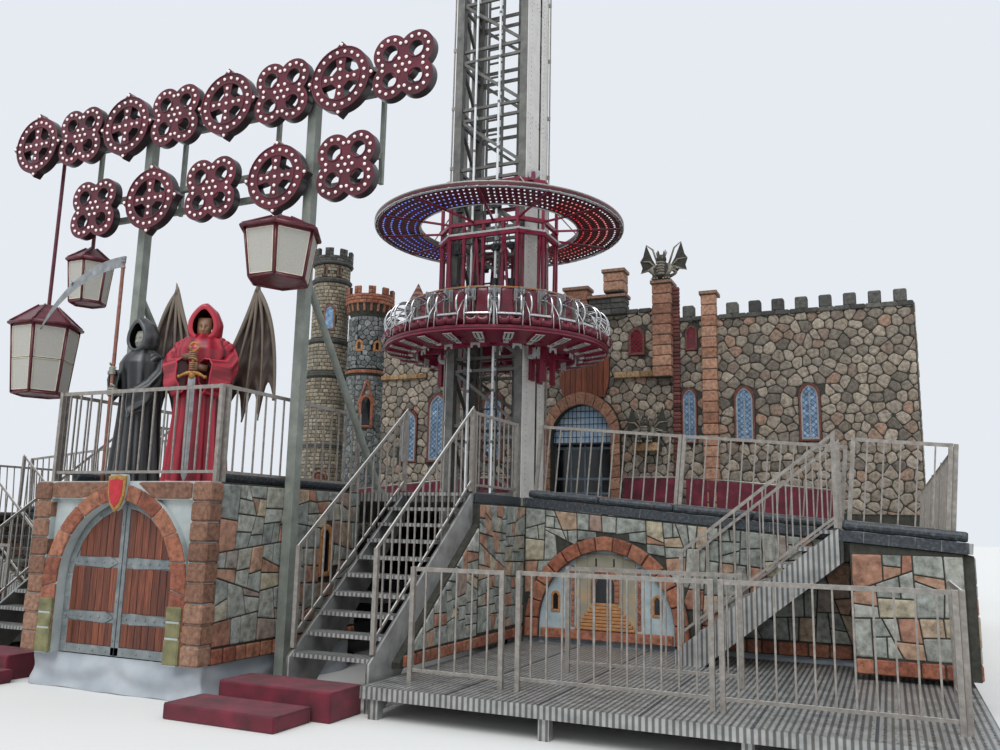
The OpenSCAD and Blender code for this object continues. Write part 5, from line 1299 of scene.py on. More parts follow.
# Castle backdrop: field stones moulded in tall panels, with piers and caps of rough blocks,
# pointed windows of tinted acrylic with lead strips, and a gateway with a ring of stones.
CASTLE_Y = 5.0
CASTLE_TOP, CASTLE_LOW_TOP = 7.42, 7.10
CASTLE_LEFT, CASTLE_STEP = -5.88, 2.80
field_stone = stone_finish("painted_field_stone", (
    (0.0, "6a635b"), (0.2, "8c8479"), (0.4, "a79d91"), (0.55, "94887a"), (0.7, "b6ab9d"),
    (0.85, "7d756d"), (1.0, "a88a78")), 80.0, 12.0, 3.0)
coping_stone = stone_finish("painted_dark_coping", ((0.0, "3e3f3e"), (0.5, "565755"), (1.0, "6b6b67")),
                            70.0, 10.0, 3.0)
# The skin's back is raw glass fibre: pale, chalky and a little green against the painted front.
raw_back = mortar.copy()
raw_back.name = "raw_glass_fibre_back"
back_tree = raw_back.node_tree
back_shader = back_tree.nodes["Principled BSDF"]
back_paint = back_shader.inputs["Base Color"].links[0].from_socket
back_side = add_node(back_tree, "NewGeometry")
back_turn = add_node(back_tree, "SeparateXYZ", Vector=back_side.outputs["Normal"])
back_mask = add_node(back_tree, "ValToRGB", {"stops": ((0.6, "000000"), (0.8, "ffffff"))},
                     Fac=back_turn.outputs["Y"])
back_place = add_node(back_tree, "TexCoord").outputs["Object"]
back_cloud = add_node(back_tree, "TexNoise", {"Scale": 1.4, "Detail": 6.0}, Vector=back_place)
back_tint = add_node(back_tree, "ValToRGB", {"stops": ((0.3, "8e9184"), (0.55, "a7a99b"),
                                                       (0.75, "b9baac"))}, Fac=back_cloud.outputs["Fac"])
back_mix = add_node(back_tree, "Mix", {"data_type": "RGBA"}, Factor_Float=back_mask.outputs["Color"],
                    A_Color=back_paint, B_Color=back_tint.outputs["Color"])
back_tree.links.new(back_mix.outputs[2], back_shader.inputs["Base Color"])
dress("castle_wall", raw_back)
# Galvanised frames stand behind the skin: uprights with a back stay each, and level girts.
back_frames = Heap()
FRAME_Y = 5.285
for x in (-5.6, -4.2, -2.8, -1.5, 1.9, 3.4, 5.0, 6.6, 8.0):
    top = 7.25 if x < 2.8 else 6.95
    back_frames.tube(((x, FRAME_Y, 0.02), (x, FRAME_Y, top)), 0.038, 10)
    back_frames.tube(((x, FRAME_Y + 0.01, 4.6), (x, 6.22, 0.06)), 0.028, 8)
    back_frames.tube(((x, FRAME_Y, 0.06), (x, 6.26, 0.06)), 0.03, 8)
    back_frames.tube(((x, FRAME_Y + 0.01, 2.2), (x, 5.72, 2.45)), 0.02, 8)
    back_frames.tube(((x, 6.22, 0.0), (x, 6.22, 0.02)), 0.10, 14)
for x0, x1, z in ((-5.6, -1.5, 1.1), (1.9, 8.0, 1.1), (-5.6, -1.5, 3.0), (1.9, 8.0, 3.0),
                  (-5.6, 8.0, 5.35), (-5.6, 8.0, 6.8)):
    back_frames.tube(((x0, FRAME_Y + 0.055, z), (x1, FRAME_Y + 0.055, z)), 0.024, 8)
back_frames.piece("backdrop_frames", galvanised, "structure", "steel", smooth=True)
draw = random.Random(17)
SMALL_WINDOWS = ((1.735, 6.20, 0.43, 0.74), (3.145, 6.24, 0.30, 0.64), (-4.10, 6.15, 0.42, 0.74))
TALL_WINDOWS = ((-4.005, 3.5, 0.62, 1.95), (-4.915, 3.5, 0.52, 1.5), (-2.30, 3.5, 0.62, 1.95),
                (3.07, 3.9, 0.38, 1.38), (4.40, 3.9, 0.48, 1.38), (5.90, 3.9, 0.48, 1.38))
PORTAL_X, PORTAL_W, PORTAL_H = 0.25, 1.64, 2.78
PORTAL_RING = (2.12, PORTAL_H + 0.33)
castle_front = facing_front(CASTLE_Y)
portal = moved(arch_points(*PORTAL_RING), PORTAL_X, DECK_Z)
openings = [moved(arch_points(w, h), x, z) for x, z, w, h in SMALL_WINDOWS + TALL_WINDOWS] + [portal]
field = Heap()
for x0, x1, top in ((CASTLE_LEFT, CASTLE_STEP, CASTLE_TOP), (CASTLE_STEP, 8.24, CASTLE_LOW_TOP)):
    add_flags(field, oblong(x0, x1, 2.2, top), 0.25, 0.035, 0.022, castle_front, draw, openings,
              1.12, 0.2, 0.22)
castle_end = facing_side(1, DECK_HX)
add_flags(field, oblong(5.0, 5.235, 0.1, CASTLE_LOW_TOP), 0.22, 0.03, 0.02, castle_end, draw, (),
          1.0, 0.2, 0.2)
field.piece("castle_field_stones", field_stone, "structure", "stone_shell")
coping = Heap()
for x0, x1, top in ((CASTLE_LEFT, -0.9, CASTLE_TOP), (CASTLE_STEP, DECK_HX, CASTLE_LOW_TOP)):
    count = math.floor((x1 - x0) / 0.52)
    for i in range(count):
        x = x0 + (i + 0.25) * (x1 - x0) / count
        coping.block((x - 0.014, CASTLE_Y - 0.02, top + 0.001),
                     (x + 0.274, CASTLE_Y + 0.255, top + 0.315), 0.03, None, draw.random())
for x0, x1, top in ((CASTLE_LEFT, 2.79, CASTLE_TOP), (CASTLE_STEP, DECK_HX - 0.01, CASTLE_LOW_TOP)):
    count = round((x1 - x0) / 0.33)
    for i in range(count):
        a, b = x0 + (x1 - x0) * i / count, x0 + (x1 - x0) * (i + 1) / count
        coping.block((a + 0.006, CASTLE_Y - 0.06, top - 0.11), (b - 0.006, CASTLE_Y + 0.262, top + 0.012),
                     0.02, None, draw.random())
coping.piece("castle_coping", coping_stone, "structure", "stone_shell")


def clad_pier(heap, x0, x1, z0, z1, depth, tall=0.17, back=0.0, single=0.36):
    """Rough blocks round a pier's front and sides, one or two to a course."""
    rows = max(1, round((z1 - z0) / tall))
    for row in range(rows):
        a, b = z0 + (z1 - z0) * row / rows + 0.005, z0 + (z1 - z0) * (row + 1) / rows - 0.005
        cuts = [x0 - 0.018, x1 + 0.018]
        if x1 - x0 > single:
            cuts.insert(1, x0 + (x1 - x0) * (0.36 if row % 2 else 0.62))
        for u0, u1 in zip(cuts, cuts[1:]):
            heap.block((u0 + 0.004, CASTLE_Y - depth - draw.uniform(0.012, 0.03), a),
                       (u1 - 0.004, CASTLE_Y + back, b), 0.022, None, draw.random())


piers, ledges = Heap(), Heap()
grey_blocks, pier_caps, brick_strip = Heap(), Heap(), Heap()
for heap, x, w, z0, z1, depth in ((piers, 2.23, 0.45, 5.56, 8.06, 0.33), (grey_blocks, 0.49, 0.96,
        7.29, 7.84, 0.18), (piers, 0.90, 0.52, 7.93, 8.52, 0.20),
                                  (piers, -0.19, 0.62, 7.43, 8.12, 0.20), (piers, 3.44, 0.34, 2.18,
                                          7.7, 0.20), (piers, -3.0, 0.30, 2.18, 7.3, 0.16)):
    clad_pier(heap, x, x + w, z0, z1 - 0.09, depth, 0.27 if heap is piers else 0.14,
              0.255 if z0 > 7.0 else 0.0, 0.7 if heap is piers else 0.36)
    pier_caps.block((x - 0.056, CASTLE_Y - depth - 0.056, z1 - 0.092),
                    (x + w + 0.056, CASTLE_Y + 0.256, z1 + 0.004), 0.018, None, draw.random())
clad_pier(brick_strip, 2.69, 2.85, 2.18, 7.9, 0.10, 0.10)
for x0, x1, z0, z1, depth in ((1.15, 2.18, 5.62, 5.76, 0.12), (-5.88, -4.38, 5.90, 6.02, 0.11),
                              (1.70, 2.36, 3.70, 3.896, 0.42)):
    count = max(1, round((x1 - x0) / 0.3))
    for i in range(count):
        a, b = x0 + (x1 - x0) * i / count, x0 + (x1 - x0) * (i + 1) / count
        ledges.block((a + 0.003, CASTLE_Y - depth - 0.016, z0 - 0.008), (b - 0.003, CASTLE_Y, z1 + 0.003),
                     0.016, None, draw.random())
add_arch_blocks(piers, (PORTAL_W, PORTAL_H), PORTAL_RING, PORTAL_X, DECK_Z, 0.035,
                facing_front(CASTLE_Y - 0.14), draw, 0.3)
piers.piece("castle_piers", stone_finish("painted_pale_salmon_block", ((0.0, "8f6552"), (0.4, "ad8069"),
        (0.7, "bf957d"), (1.0, "a27460")), 70.0, 16.0, 6.0),
            "structure", "stone_shell")
grey_blocks.piece("castle_grey_blocks", coping_stone, "structure", "stone_shell")
pier_caps.piece("castle_pier_caps", brown_block, "structure", "stone_shell")
brick_strip.piece("castle_brick_strip", stone_finish("painted_dark_brick", ((0.0, "4d2523"),
        (0.5, "6b3532"), (1.0, "84504a")), 40.0, 8.0, 2.0),
                  "structure", "stone_shell")
ledges.piece("castle_ledges", stone_finish("painted_tan_coping", ((0.0, "8a6a4a"), (0.5, "a5855f"),
                                                                  (1.0, "b99a76")), 60.0, 10.0, 2.0),
             "structure", "stone_shell")


def add_lead(heap, inside, place, pitch, low, high):
    """Diagonal lead strips clipped to a convex pane."""
    reach = high - low + pitch
    for slant in (-1, 1):
        k = -int(reach / pitch) - 2
        while k * pitch < reach * 2:
            start, end = Vector((-2.0 * slant, low + k * pitch - 2.0)), Vector((2.0 * slant,
                                                                                low + k * pitch + 2.0))
            middle = sum(inside, Vector((0.0, 0.0))) / len(inside)
            start.x, end.x = start.x + middle.x, end.x + middle.x
            t0, t1 = 0.0, 1.0
            for i, a in enumerate(inside):
                b = inside[(i + 1) % len(inside)]
                normal = Vector((b.y - a.y, a.x - b.x))
                ds, de = (start - a).dot(normal), (end - a).dot(normal)
                if ds > 0 and de > 0:
                    t0, t1 = 1.0, 0.0
                elif ds > 0:
                    t0 = max(t0, ds / (ds - de))
                elif de > 0:
                    t1 = min(t1, ds / (ds - de))
            if t1 - t0 > 0.01:
                p, q = start.lerp(end, t0), start.lerp(end, t1)
                heap.tube((place(p.x, p.y, 0.008), place(q.x, q.y, 0.008)), 0.006, 4)
            k += 1


blue_glass = mottled("blue_tinted_acrylic", ((0.3, "3c5672"), (0.55, "6f8dab"), (0.75, "a9bfd3")),
                     160.0, (0.08, 0.2))
red_glass = mottled("red_tinted_acrylic", ((0.3, "4d0d18"), (0.6, "7d1a2a"), (0.8, "9a2b3c")), 120.0,
                    (0.1, 0.25))
tracery = mottled("painted_grey_tracery", ((0.3, "6b6e70"), (0.7, "8d9090")), 60.0, (0.6, 0.75),
                  0.0, 0.5, 8.0)
lead_grey = mottled("lead_strip", ((0.3, "2f3234"), (0.7, "484c4f")), 40.0, (0.5, 0.65), 0.5)
blue_rims, blue_panes, red_panes, leads, red_rims = Heap(), Heap(), Heap(), Heap(), Heap()
on_frame = facing_front(CASTLE_Y - 0.05)
for x, z, w, h in TALL_WINDOWS:
    add_window(blue_rims, blue_panes, w * 0.84, h - 0.16 * w, x, z + 0.08 * w, on_frame, 0.10 * w, 0.018)
    add_window(red_rims, None, w, h, x, z, on_frame, 0.09 * w, 0.03)
    inner = moved(arch_points(w - 0.36 * w, h - 0.36 * w, 5, 0.0, 1.75), x, z + 0.18 * w)
    add_lead(leads, inner, on_frame, 0.13, z, z + h)
    blue_rims.block((x - 0.016, CASTLE_Y - 0.07, z + 0.12 * w),
                    (x + 0.016, CASTLE_Y - 0.05, z + h - 0.45 * w), 0.004)
for x, z, w, h in SMALL_WINDOWS:
    add_window(red_rims, red_panes, w, h, x, z, on_frame, 0.16 * w, 0.022)
    inner = moved(arch_points(w - 0.32 * w, h - 0.32 * w, 5, 0.0, 1.75), x, z + 0.16 * w)
    add_lead(leads, inner, on_frame, 0.11, z, z + h)
blue_rims.piece("blue_window_frames", tracery, "structure", "stone_shell")
blue_panes.piece("blue_window_panes", blue_glass, "structure", "clear_board")
red_panes.piece("red_window_panes", red_glass, "structure", "clear_board")
red_rims.piece("red_window_frames", stone_finish("painted_maroon_moulding", ((0.0, "5c2f2c"),
        (0.5, "78443d"), (1.0, "936056")), 50.0, 8.0, 2.0),
               "structure", "stone_shell")
lattice = Heap()
gate_inner = moved(arch_points(PORTAL_W, PORTAL_H, 8), PORTAL_X, DECK_Z)
upper = trimmed(gate_inner, Vector((0.0, 3.96)), Vector((0.0, -1.0)))
glazing = Heap()
add_stone(glazing, upper, 0.006, facing_front(CASTLE_Y + 0.12), 0.5, 0.0, 0.02)
glazing.piece("gateway_glazing", mottled("milk_blue_acrylic", ((0.3, "8fb0cf"), (0.6, "bcd3e6"),
                                                               (0.8, "e4eef6")), 300.0, (0.1, 0.2)),
              "structure", "clear_board")
r = PORTAL_W / 2 * 1.08
spring = DECK_Z + PORTAL_H - r
for i in range(14):
    x = PORTAL_X - 0.76 + i * 0.117
    off = abs(x - PORTAL_X) + r - PORTAL_W / 2
    top = spring + math.sqrt(max(0.0, r * r - off * off))
    if top > 3.98:
        lattice.tube(((x, CASTLE_Y + 0.07, 3.94), (x, CASTLE_Y + 0.07, top)), 0.011, 6)
for i in range(6):
    z = 3.95 + i * 0.17
    half = PORTAL_W / 2 - (r - math.sqrt(max(0.0, r * r - max(0.0, z - spring) ** 2)))
    lattice.tube(((PORTAL_X - half, CASTLE_Y + 0.07, z), (PORTAL_X + half, CASTLE_Y + 0.07, z)),
                 0.011 if i else 0.03, 6)
lattice.piece("gateway_lattice", lead_grey, "structure", "steel")
# A glazed screen hangs on stand-off blocks behind the gateway in blue-grey frames; its near-black acrylic
# panes are painted shade, standing for the unlit room behind the glass.
SCREEN_Y = 5.37
screen_frame, screen_shade_panes, screen_tiles, screen_board = Heap(), Heap(), Heap(), Heap()
screen_posts = (-1.10, -0.62, -0.16, 0.22, 0.66, 1.08, 1.56)
for x in screen_posts:
    screen_frame.block((x - 0.025, SCREEN_Y - 0.02, DECK_Z - 0.03), (x + 0.025, SCREEN_Y + 0.04, 4.40),
                       0.004)
for z in (DECK_Z + 0.49, 3.05, 3.86, 4.37):
    screen_frame.block((-1.12, SCREEN_Y - 0.012, z - 0.03), (1.58, SCREEN_Y + 0.03, z + 0.03), 0.004)
for x0, x1 in zip(screen_posts, screen_posts[1:]):
    for z0, z1 in ((DECK_Z + 0.52, 3.02), (3.08, 3.83), (3.89, 4.34)):
        screen_shade_panes.block((x0 + 0.026, SCREEN_Y + 0.006, z0 + 0.001),
                           (x1 - 0.026, SCREEN_Y + 0.016, z1 - 0.001), 0.002)
add_courses(screen_tiles, -1.10, 1.56, DECK_Z - 0.02, DECK_Z + 0.455, 0.155, 0.24, 0.014, 0.008,
            facing_front(SCREEN_Y), draw)
screen_board.block((-1.12, SCREEN_Y + 0.001, DECK_Z - 0.03), (1.58, SCREEN_Y + 0.005, DECK_Z + 0.46), 0.001)
for x in (-1.05, 1.51):
    for z in (DECK_Z + 0.3, 4.1):
        screen_frame.block((x - 0.05, 5.235, z - 0.05), (x + 0.05, SCREEN_Y - 0.012, z + 0.05), 0.008)
screen_paint = mottled("blue_grey_gloss_paint", ((0.3, "4b5a63"), (0.6, "65757e"), (0.8, "7b8a92")),
                       120.0, (0.25, 0.4), 0.0, 0.15, 20.0)
screen_frame.piece("gateway_screen_frame", screen_paint, "structure", "frame_paint")
screen_shade_panes.piece("gateway_screen_panes", dark_pane, "structure", "clear_board")
screen_tiles.piece("gateway_screen_tiles", salmon_block, "structure", "stone_shell")
screen_board.piece("gateway_screen_board", mortar, "structure", "stone_shell")
leads.piece("window_leads", lead_grey, "structure", "steel")
panel_boards = Heap()
board_field = [Vector(p) for p in ((-0.55, 0.0), (0.55, 0.0), (0.651, 0.3), (0.68, 0.6), (0.68, 1.06),
                                   (-0.68, 1.06), (-0.68, 0.6), (-0.651, 0.3))]
for k in range(9):
    cell = trimmed(trimmed(board_field, Vector((-0.68 + 0.151 * k + 0.004, 0)), Vector((-1.0, 0.0))),
                   Vector((-0.68 + 0.151 * (k + 1) - 0.004, 0)), Vector((1.0, 0.0)))
    if len(cell) >= 3:
        add_stone(panel_boards, moved(cell, PORTAL_X + 0.09, 5.13), 0.02, facing_front(CASTLE_Y - 0.11),
                  draw.random(), 0.0, 0.05)
panel_boards.piece("shield_boards", oiled_board, "structure", "door_board")


# Round towers and the turret behind the deck: the same moulded skins bent round a drum, tan
# bricks on the tall one, grey rubble on the short one, and a corbelled crown of salmon bricks.
TALL_X, SHORT_X, TOWER_Y, TALL_R, SHORT_R, TALL_TOP, SHORT_TOP = -8.34, -6.88, 5.68, 0.62, 0.60, 10.26, 8.86
dress("castle_towers", mortar)


def round_drum(x, y, radius):
    """Bends a wall point round a drum; distances across start at the front."""
    return lambda u, v, w: Vector((x + (radius + w) * math.sin(u / radius),
                                   y - (radius + w) * math.cos(u / radius), v))


def drum_bricks(heap, x, radius, z0, z1, tall, long, proud, holes=()):
    """Courses of bricks all round a tower's drum."""
    half = math.pi * radius
    add_courses(heap, -half, half, z0, z1, tall, long, proud, 0.014, round_drum(x, TOWER_Y, radius),
                draw, holes, 0.0, 0.16)


def level_ring(heap, x, y, radius, z, thick, tone=0.5):
    """A round moulding that runs round a tower."""
    heap.tube(circle_path(radius, z, 40, x, y), thick, 8, tone, closed=True)


draw = random.Random(29)
tan_brick = stone_finish("painted_tan_brick", ((0.0, "7a7163"), (0.3, "958a78"), (0.6, "aba08c"),
                                               (0.85, "8f8b80"), (1.0, "b8ad98")), 60.0, 9.0, 2.5)
grey_rubble = stone_finish("painted_grey_rubble", ((0.0, "5a6062"), (0.4, "73797b"), (0.75, "898f90"),
                                                   (1.0, "9ba1a0")), 70.0, 10.0, 3.0)
tan, rubble, salmon, mouldings, crowns = Heap(), Heap(), Heap(), Heap(), Heap()
# The towers' doors and windows face the gate's right side, where visitors come from.
DOOR_TURN = math.atan2(15.82, 22.27)
SLIT_TURNS, EYE_TURNS = (-0.42, 0.38), (-0.52, 0.42)
SLIT_R, EYE_R = 0.54, 0.57
door_u, door_z = (DOOR_TURN - 0.12) * TALL_R, DECK_Z - 0.4
tower_door = moved(arch_points(0.46, 1.55), door_u, door_z)
pane_u = (DOOR_TURN - 0.06) * TALL_R * 0.9
pane = moved(arch_points(0.34, 0.82), pane_u, 7.62)
slits = [moved(arch_points(0.13, 0.32), (DOOR_TURN + a) * SLIT_R, 9.36) for a in SLIT_TURNS]
for z0, z1, radius in ((0.05, 6.12, 0.62), (6.36, 7.2, 0.60), (7.40, 9.15, 0.55), (9.32, 9.74, 0.54)):
    drum_bricks(tan, TALL_X, radius, z0, z1, 0.115, 0.17, 0.024, [tower_door, pane] + slits)
for radius, z in ((0.635, 6.22), (0.63, 6.28), (0.615, 7.28), (0.62, 7.32), (0.575, 9.21), (0.59, 9.25),
                  (0.625, 4.02), (0.63, 4.08)):
    level_ring(mouldings, TALL_X, TOWER_Y, radius, z, 0.045)
level_ring(mouldings, TALL_X, TOWER_Y, 0.60, 9.80, 0.05)
for x, radius, z0, z1, count, heap in ((TALL_X, 0.61, 9.845, 10.26, 8, crowns),
                                       (SHORT_X, 0.73, 8.445, 8.86, 10, salmon)):
    low = z0 + 0.45 * (z1 - z0)
    face = round_drum(x, TOWER_Y, radius)
    around = 2 * math.pi * radius
    add_courses(heap, -around / 2, around / 2, z0, low, (low - z0) / 2, 0.2, 0.02, 0.01, face, draw,
                (), 0.0, 0.12)
    for i in range(count):
        middle = (i + 0.5) * around / count - around / 4
        wide = around / count * 0.5
        for row in range(2):
            v0, v1 = low + (z1 - low) * row / 2 + 0.005, low + (z1 - low) * (row + 1) / 2
            for u0, u1 in ((middle - wide / 2, middle), (middle, middle + wide / 2)):
                add_stone(heap, oblong(u0 + 0.004, u1 - 0.004, v0, v1), 0.02, face, draw.random(),
                          0.0, 0.12)
niche_u = (DOOR_TURN - 0.02) * SHORT_R
niche = moved(arch_points(0.40, 1.0), niche_u, 4.55)
eyes = [moved(arch_points(0.24, 0.36), (DOOR_TURN + a) * EYE_R, 6.86) for a in EYE_TURNS]
around = math.pi * SHORT_R
drum = round_drum(SHORT_X, TOWER_Y, SHORT_R)
for z0, z1 in ((0.05, 6.12), (6.34, 7.94)):
    for k in range(6):
        u0, u1 = -around + 2 * around * k / 6, -around + 2 * around * (k + 1) / 6
        add_flags(rubble, oblong(u0, u1, z0, z1), 0.17, 0.024, 0.014, drum, draw, [niche] + eyes,
                  1.1, 0.14, 0.16)
corbels = round_drum(SHORT_X, TOWER_Y, 0.66)
for i in range(20):
    u = (i - 10) * 2 * math.pi * 0.66 / 20
    salmon.block((u - 0.035, -0.09, 0), (u + 0.035, 0.07, 0.26), 0.012,
                 lambda p: corbels(p.x, 8.10 + p.z, -0.03 - p.y * (0.4 + 2.2 * p.z)), draw.random())
add_courses(salmon, -math.pi * 0.73, math.pi * 0.73, 8.33, 8.44, 0.11, 0.2, 0.02, 0.01,
            round_drum(SHORT_X, TOWER_Y, 0.73), draw, (), 0.0, 0.12)
for i in range(24):
    u0, u1 = (i - 12) * 2 * math.pi * 0.65 / 24, (i - 11) * 2 * math.pi * 0.65 / 24
    add_stone(salmon, oblong(u0 + 0.005, u1 - 0.005, 6.20, 6.29), 0.014, round_drum(SHORT_X, TOWER_Y, 0.65),
              draw.random(), 0.0, 0.12)
tower_rims, tower_blue, tower_dark, tower_boards = Heap(), Heap(), Heap(), Heap()
tall_face = round_drum(TALL_X, TOWER_Y, TALL_R)
add_arch_blocks(tower_rims, (0.36, 1.48), (0.46, 1.55), door_u, door_z, 0.03, tall_face, draw, 0.16, 0.008)
for k in range(4):
    u = door_u - 0.176 + 0.088 * k
    left_top, right_top = (1.24 if k == 0 else 1.42), (1.30 if k in (0, 3) else 1.42)
    board = [(u + 0.003, door_z), (u + 0.085, door_z), (u + 0.085, door_z + right_top),
             (u + 0.003, door_z + left_top)]
    add_stone(tower_boards, [Vector(p) for p in board], 0.014, tall_face, draw.random(), 0.0, 0.1)
add_window(tower_rims, tower_blue, 0.34, 0.82, pane_u, 7.62, round_drum(TALL_X, TOWER_Y, 0.55),
           0.05, 0.055, 0.036)
for a in SLIT_TURNS:
    add_window(tower_rims, tower_dark, 0.13, 0.32, (DOOR_TURN + a) * SLIT_R, 9.36,
               round_drum(TALL_X, TOWER_Y, SLIT_R), 0.025, 0.034, 0.012)
add_window(salmon, tower_dark, 0.40, 1.0, niche_u, 4.55, drum, 0.08, 0.062, 0.042)
for u in (-0.24, 0.24):
    salmon.tube((drum(niche_u + u, 5.22, 0.03), drum(niche_u, 5.98, 0.05)), 0.035, 6)
eye_rims = Heap()
for a in EYE_TURNS:
    add_window(eye_rims, tower_dark, 0.24, 0.36, (DOOR_TURN + a) * EYE_R, 6.86,
               round_drum(SHORT_X, TOWER_Y, EYE_R), 0.07, 0.050, 0.024)
tan.piece("tall_tower_bricks", tan_brick, "structure", "stone_shell")
rubble.piece("short_tower_rubble", grey_rubble, "structure", "stone_shell")
salmon.piece("short_tower_crown", salmon_block, "structure", "stone_shell")
crowns.piece("tall_tower_crown", coping_stone, "structure", "stone_shell")
mouldings.piece("tower_mouldings", coping_stone, "structure", "stone_shell", smooth=True)
tower_rims.piece("tower_window_rims", brown_block, "structure", "stone_shell")
eye_rims.piece("tower_eye_rims", ochre_frame, "structure", "stone_shell")
tower_blue.piece("tower_blue_pane", blue_glass, "structure", "clear_board")
tower_dark.piece("tower_dark_panes", dark_pane, "structure", "clear_board")
tower_boards.piece("tower_door_boards", oiled_board, "structure", "door_board")
roof_paint = stone_finish("painted_roof_slate", ((0.0, "5e3838"), (0.5, "7f5048"), (1.0, "a07466")),
                          50.0, 8.0, 2.0)
roof = Heap()
ROOF_X, ROOF_Y, ROOF_FOOT, ROOF_TIP = -5.13, 5.56, 8.11, 8.92
for row in range(9):
    t0, t1 = row / 9, (row + 1) / 9
    for i in range(14):
        a0, a1 = 2 * math.pi * i / 14, 2 * math.pi * (i + 1) / 14
        r0, r1 = 0.392 * (1 - t0) + 0.012, 0.392 * (1 - t1) + 0.004
        z0, z1 = ROOF_FOOT + (ROOF_TIP - ROOF_FOOT) * t0 - 0.008, ROOF_FOOT + (ROOF_TIP - ROOF_FOOT) * t1
        rim = ((r0, a0, z0), (r0, a1, z0), (r1, a1, z1), (r1, a0, z1))
        points = [Vector((ROOF_X + r * math.cos(a), ROOF_Y + r * math.sin(a), z)) for r, a, z in rim]
        roof.add(points, [(0, 1, 2, 3)], 0.9 if row % 2 else 0.15)
roof.piece("turret_roof", roof_paint, "structure", "stone_shell")
turret = Heap()
add_courses(turret, -math.pi * 0.3, math.pi * 0.3, 7.45, 8.05, 0.12, 0.16, 0.02, 0.012,
            round_drum(ROOF_X, ROOF_Y, 0.3), draw, (), 0.0, 0.14)
turret.piece("turret_bricks", tan_brick, "structure", "stone_shell")


# Beasts on the backdrop: grey moulded figures that crouch on a bracket and on a pier. Their
# folded skin is dry-brushed; ribs run down the raised wings.
beast_skin = mottled("dry_brushed_grey_skin", ((0.3, "4f4b44"), (0.55, "7d7769"), (0.78, "aaa18c")),
                     45.0, (0.5, 0.7), 0.0, 2.0, 12.0)
beasts = Heap()
for bx, by, bz, k in ((2.455, 4.83, 8.0603, 1.0), (2.03, 4.67, 3.90, 0.86)):
    def at_beast(x, y, z, bx=bx, by=by, bz=bz, k=k):
        """A point of this beast's drawing."""
        return Vector((bx + k * x, by + k * y, bz + k * z))

    for side in (-1, 1):
        for tip in ((0.40, 0.82), (0.56, 0.38), (0.54, 0.06), (0.38, 0.13)):
            beasts.tube((at_beast(side * 0.08, 0.145, 0.30), at_beast(side * (0.06 + tip[0] * 0.55),
                                                                      0.14, 0.33 + tip[1] * 0.72),
                         at_beast(side * (0.06 + tip[0]), 0.15, 0.25 + tip[1])),
                         [0.035 * k, 0.026 * k, 0.01 * k], 6)
        beasts.tube((at_beast(side * 0.07, -0.09, 0.64), at_beast(side * 0.12, -0.07, 0.74),
                     at_beast(side * 0.09, -0.05, 0.83)),
                    [0.045 * k, 0.03 * k, 0.006 * k], 8)
        for toe in (-0.05, 0.0, 0.05):
            beasts.tube((at_beast(side * 0.15 + toe, -0.15, 0.04), at_beast(side * 0.15 + toe * 1.4,
                    -0.24, 0.03), at_beast(side * 0.15 + toe * 1.6, -0.29, 0.0)),
                        [0.03 * k, 0.024 * k, 0.006 * k], 6)
        beasts.tube((at_beast(side * 0.17, 0.05, 0.42), at_beast(side * 0.24, -0.12, 0.30),
                     at_beast(side * 0.15, -0.16, 0.12)), [0.07 * k, 0.075 * k, 0.055 * k], 8)
        beasts.ball(at_beast(side * 0.05, -0.20, 0.585), 0.022 * k, 4, 8)
    for i in range(5):
        beasts.ball(at_beast(0, -0.16 - 0.012 * i, 0.16 + 0.07 * i), (0.13 * k, 0.10 * k, 0.045 * k), 4, 10)
    beasts.tube([at_beast(0.12 + 0.22 * math.sin(t * 0.5), 0.16 - 0.02 * t, 0.16 + 0.03 * t)
                 for t in range(7)], [0.05 * k - 0.006 * k * t for t in range(7)], 8)
beasts.piece("beast_details", beast_skin, "structure", "stone_shell", smooth=True)


# Sign: maroon channel ornaments on galvanised rails, their faces studded with cap lamps. Each is
# a folded sheet tray with a gloss face and near-black sides.
face_paint, face_tree, face_shader = new_material("gloss_maroon_sheet", "5a1626", 0.3)
face_normal = add_node(face_tree, "NewGeometry")
face_split = add_node(face_tree, "SeparateXYZ", None, Vector=face_normal.outputs["True Normal"])
face_step = add_node(face_tree, "MapRange", {"From Min": -0.8, "From Max": -0.6, "To Min": 0.0,
                                             "To Max": 1.0}, Value=face_split.outputs["Y"])
face_cloud = add_node(face_tree, "TexNoise", {"Scale": 3.5, "Detail": 3.0},
                      Vector=add_node(face_tree, "TexCoord").outputs["Object"])
face_red = add_node(face_tree, "ValToRGB", {"stops": ((0.3, "430d1b"), (0.6, "5b1526"), (0.8, "6c1f31"))},
                    Fac=face_cloud.outputs["Fac"])
face_mix = add_node(face_tree, "Mix", {"data_type": "RGBA", "B_Color": hex_colour("211518")},
                    Factor_Float=face_step.outputs["Result"], A_Color=face_red.outputs["Color"])
face_tree.links.new(face_mix.outputs[2], face_shader.inputs["Base Color"])
dress("sign_ornaments", face_paint)
ORN_R, ORN_Y = 0.475, -8.68
lamps, holders, edges = Heap(), Heap(), Heap()


def stud(x, z, dx, dz):
    """One cap lamp in its holder, a step away from an ornament's middle."""
    lamps.ball((x + dx, ORN_Y - 0.004, z + dz), 0.021, 3, 8, True, (0, -1, 0))
    holders.tube(((x + dx, ORN_Y + 0.002, z + dz), (x + dx, ORN_Y - 0.006, z + dz)), 0.026, 8)


def edge_ring(x, z, radius, spots=36):
    """A rolled edge round an ornament's face."""
    path = [(x + u, ORN_Y - 0.003, z + v) for u, v, _ in circle_path(radius, 0.0, spots)]
    edges.tube(path, 0.009, 6, closed=True)


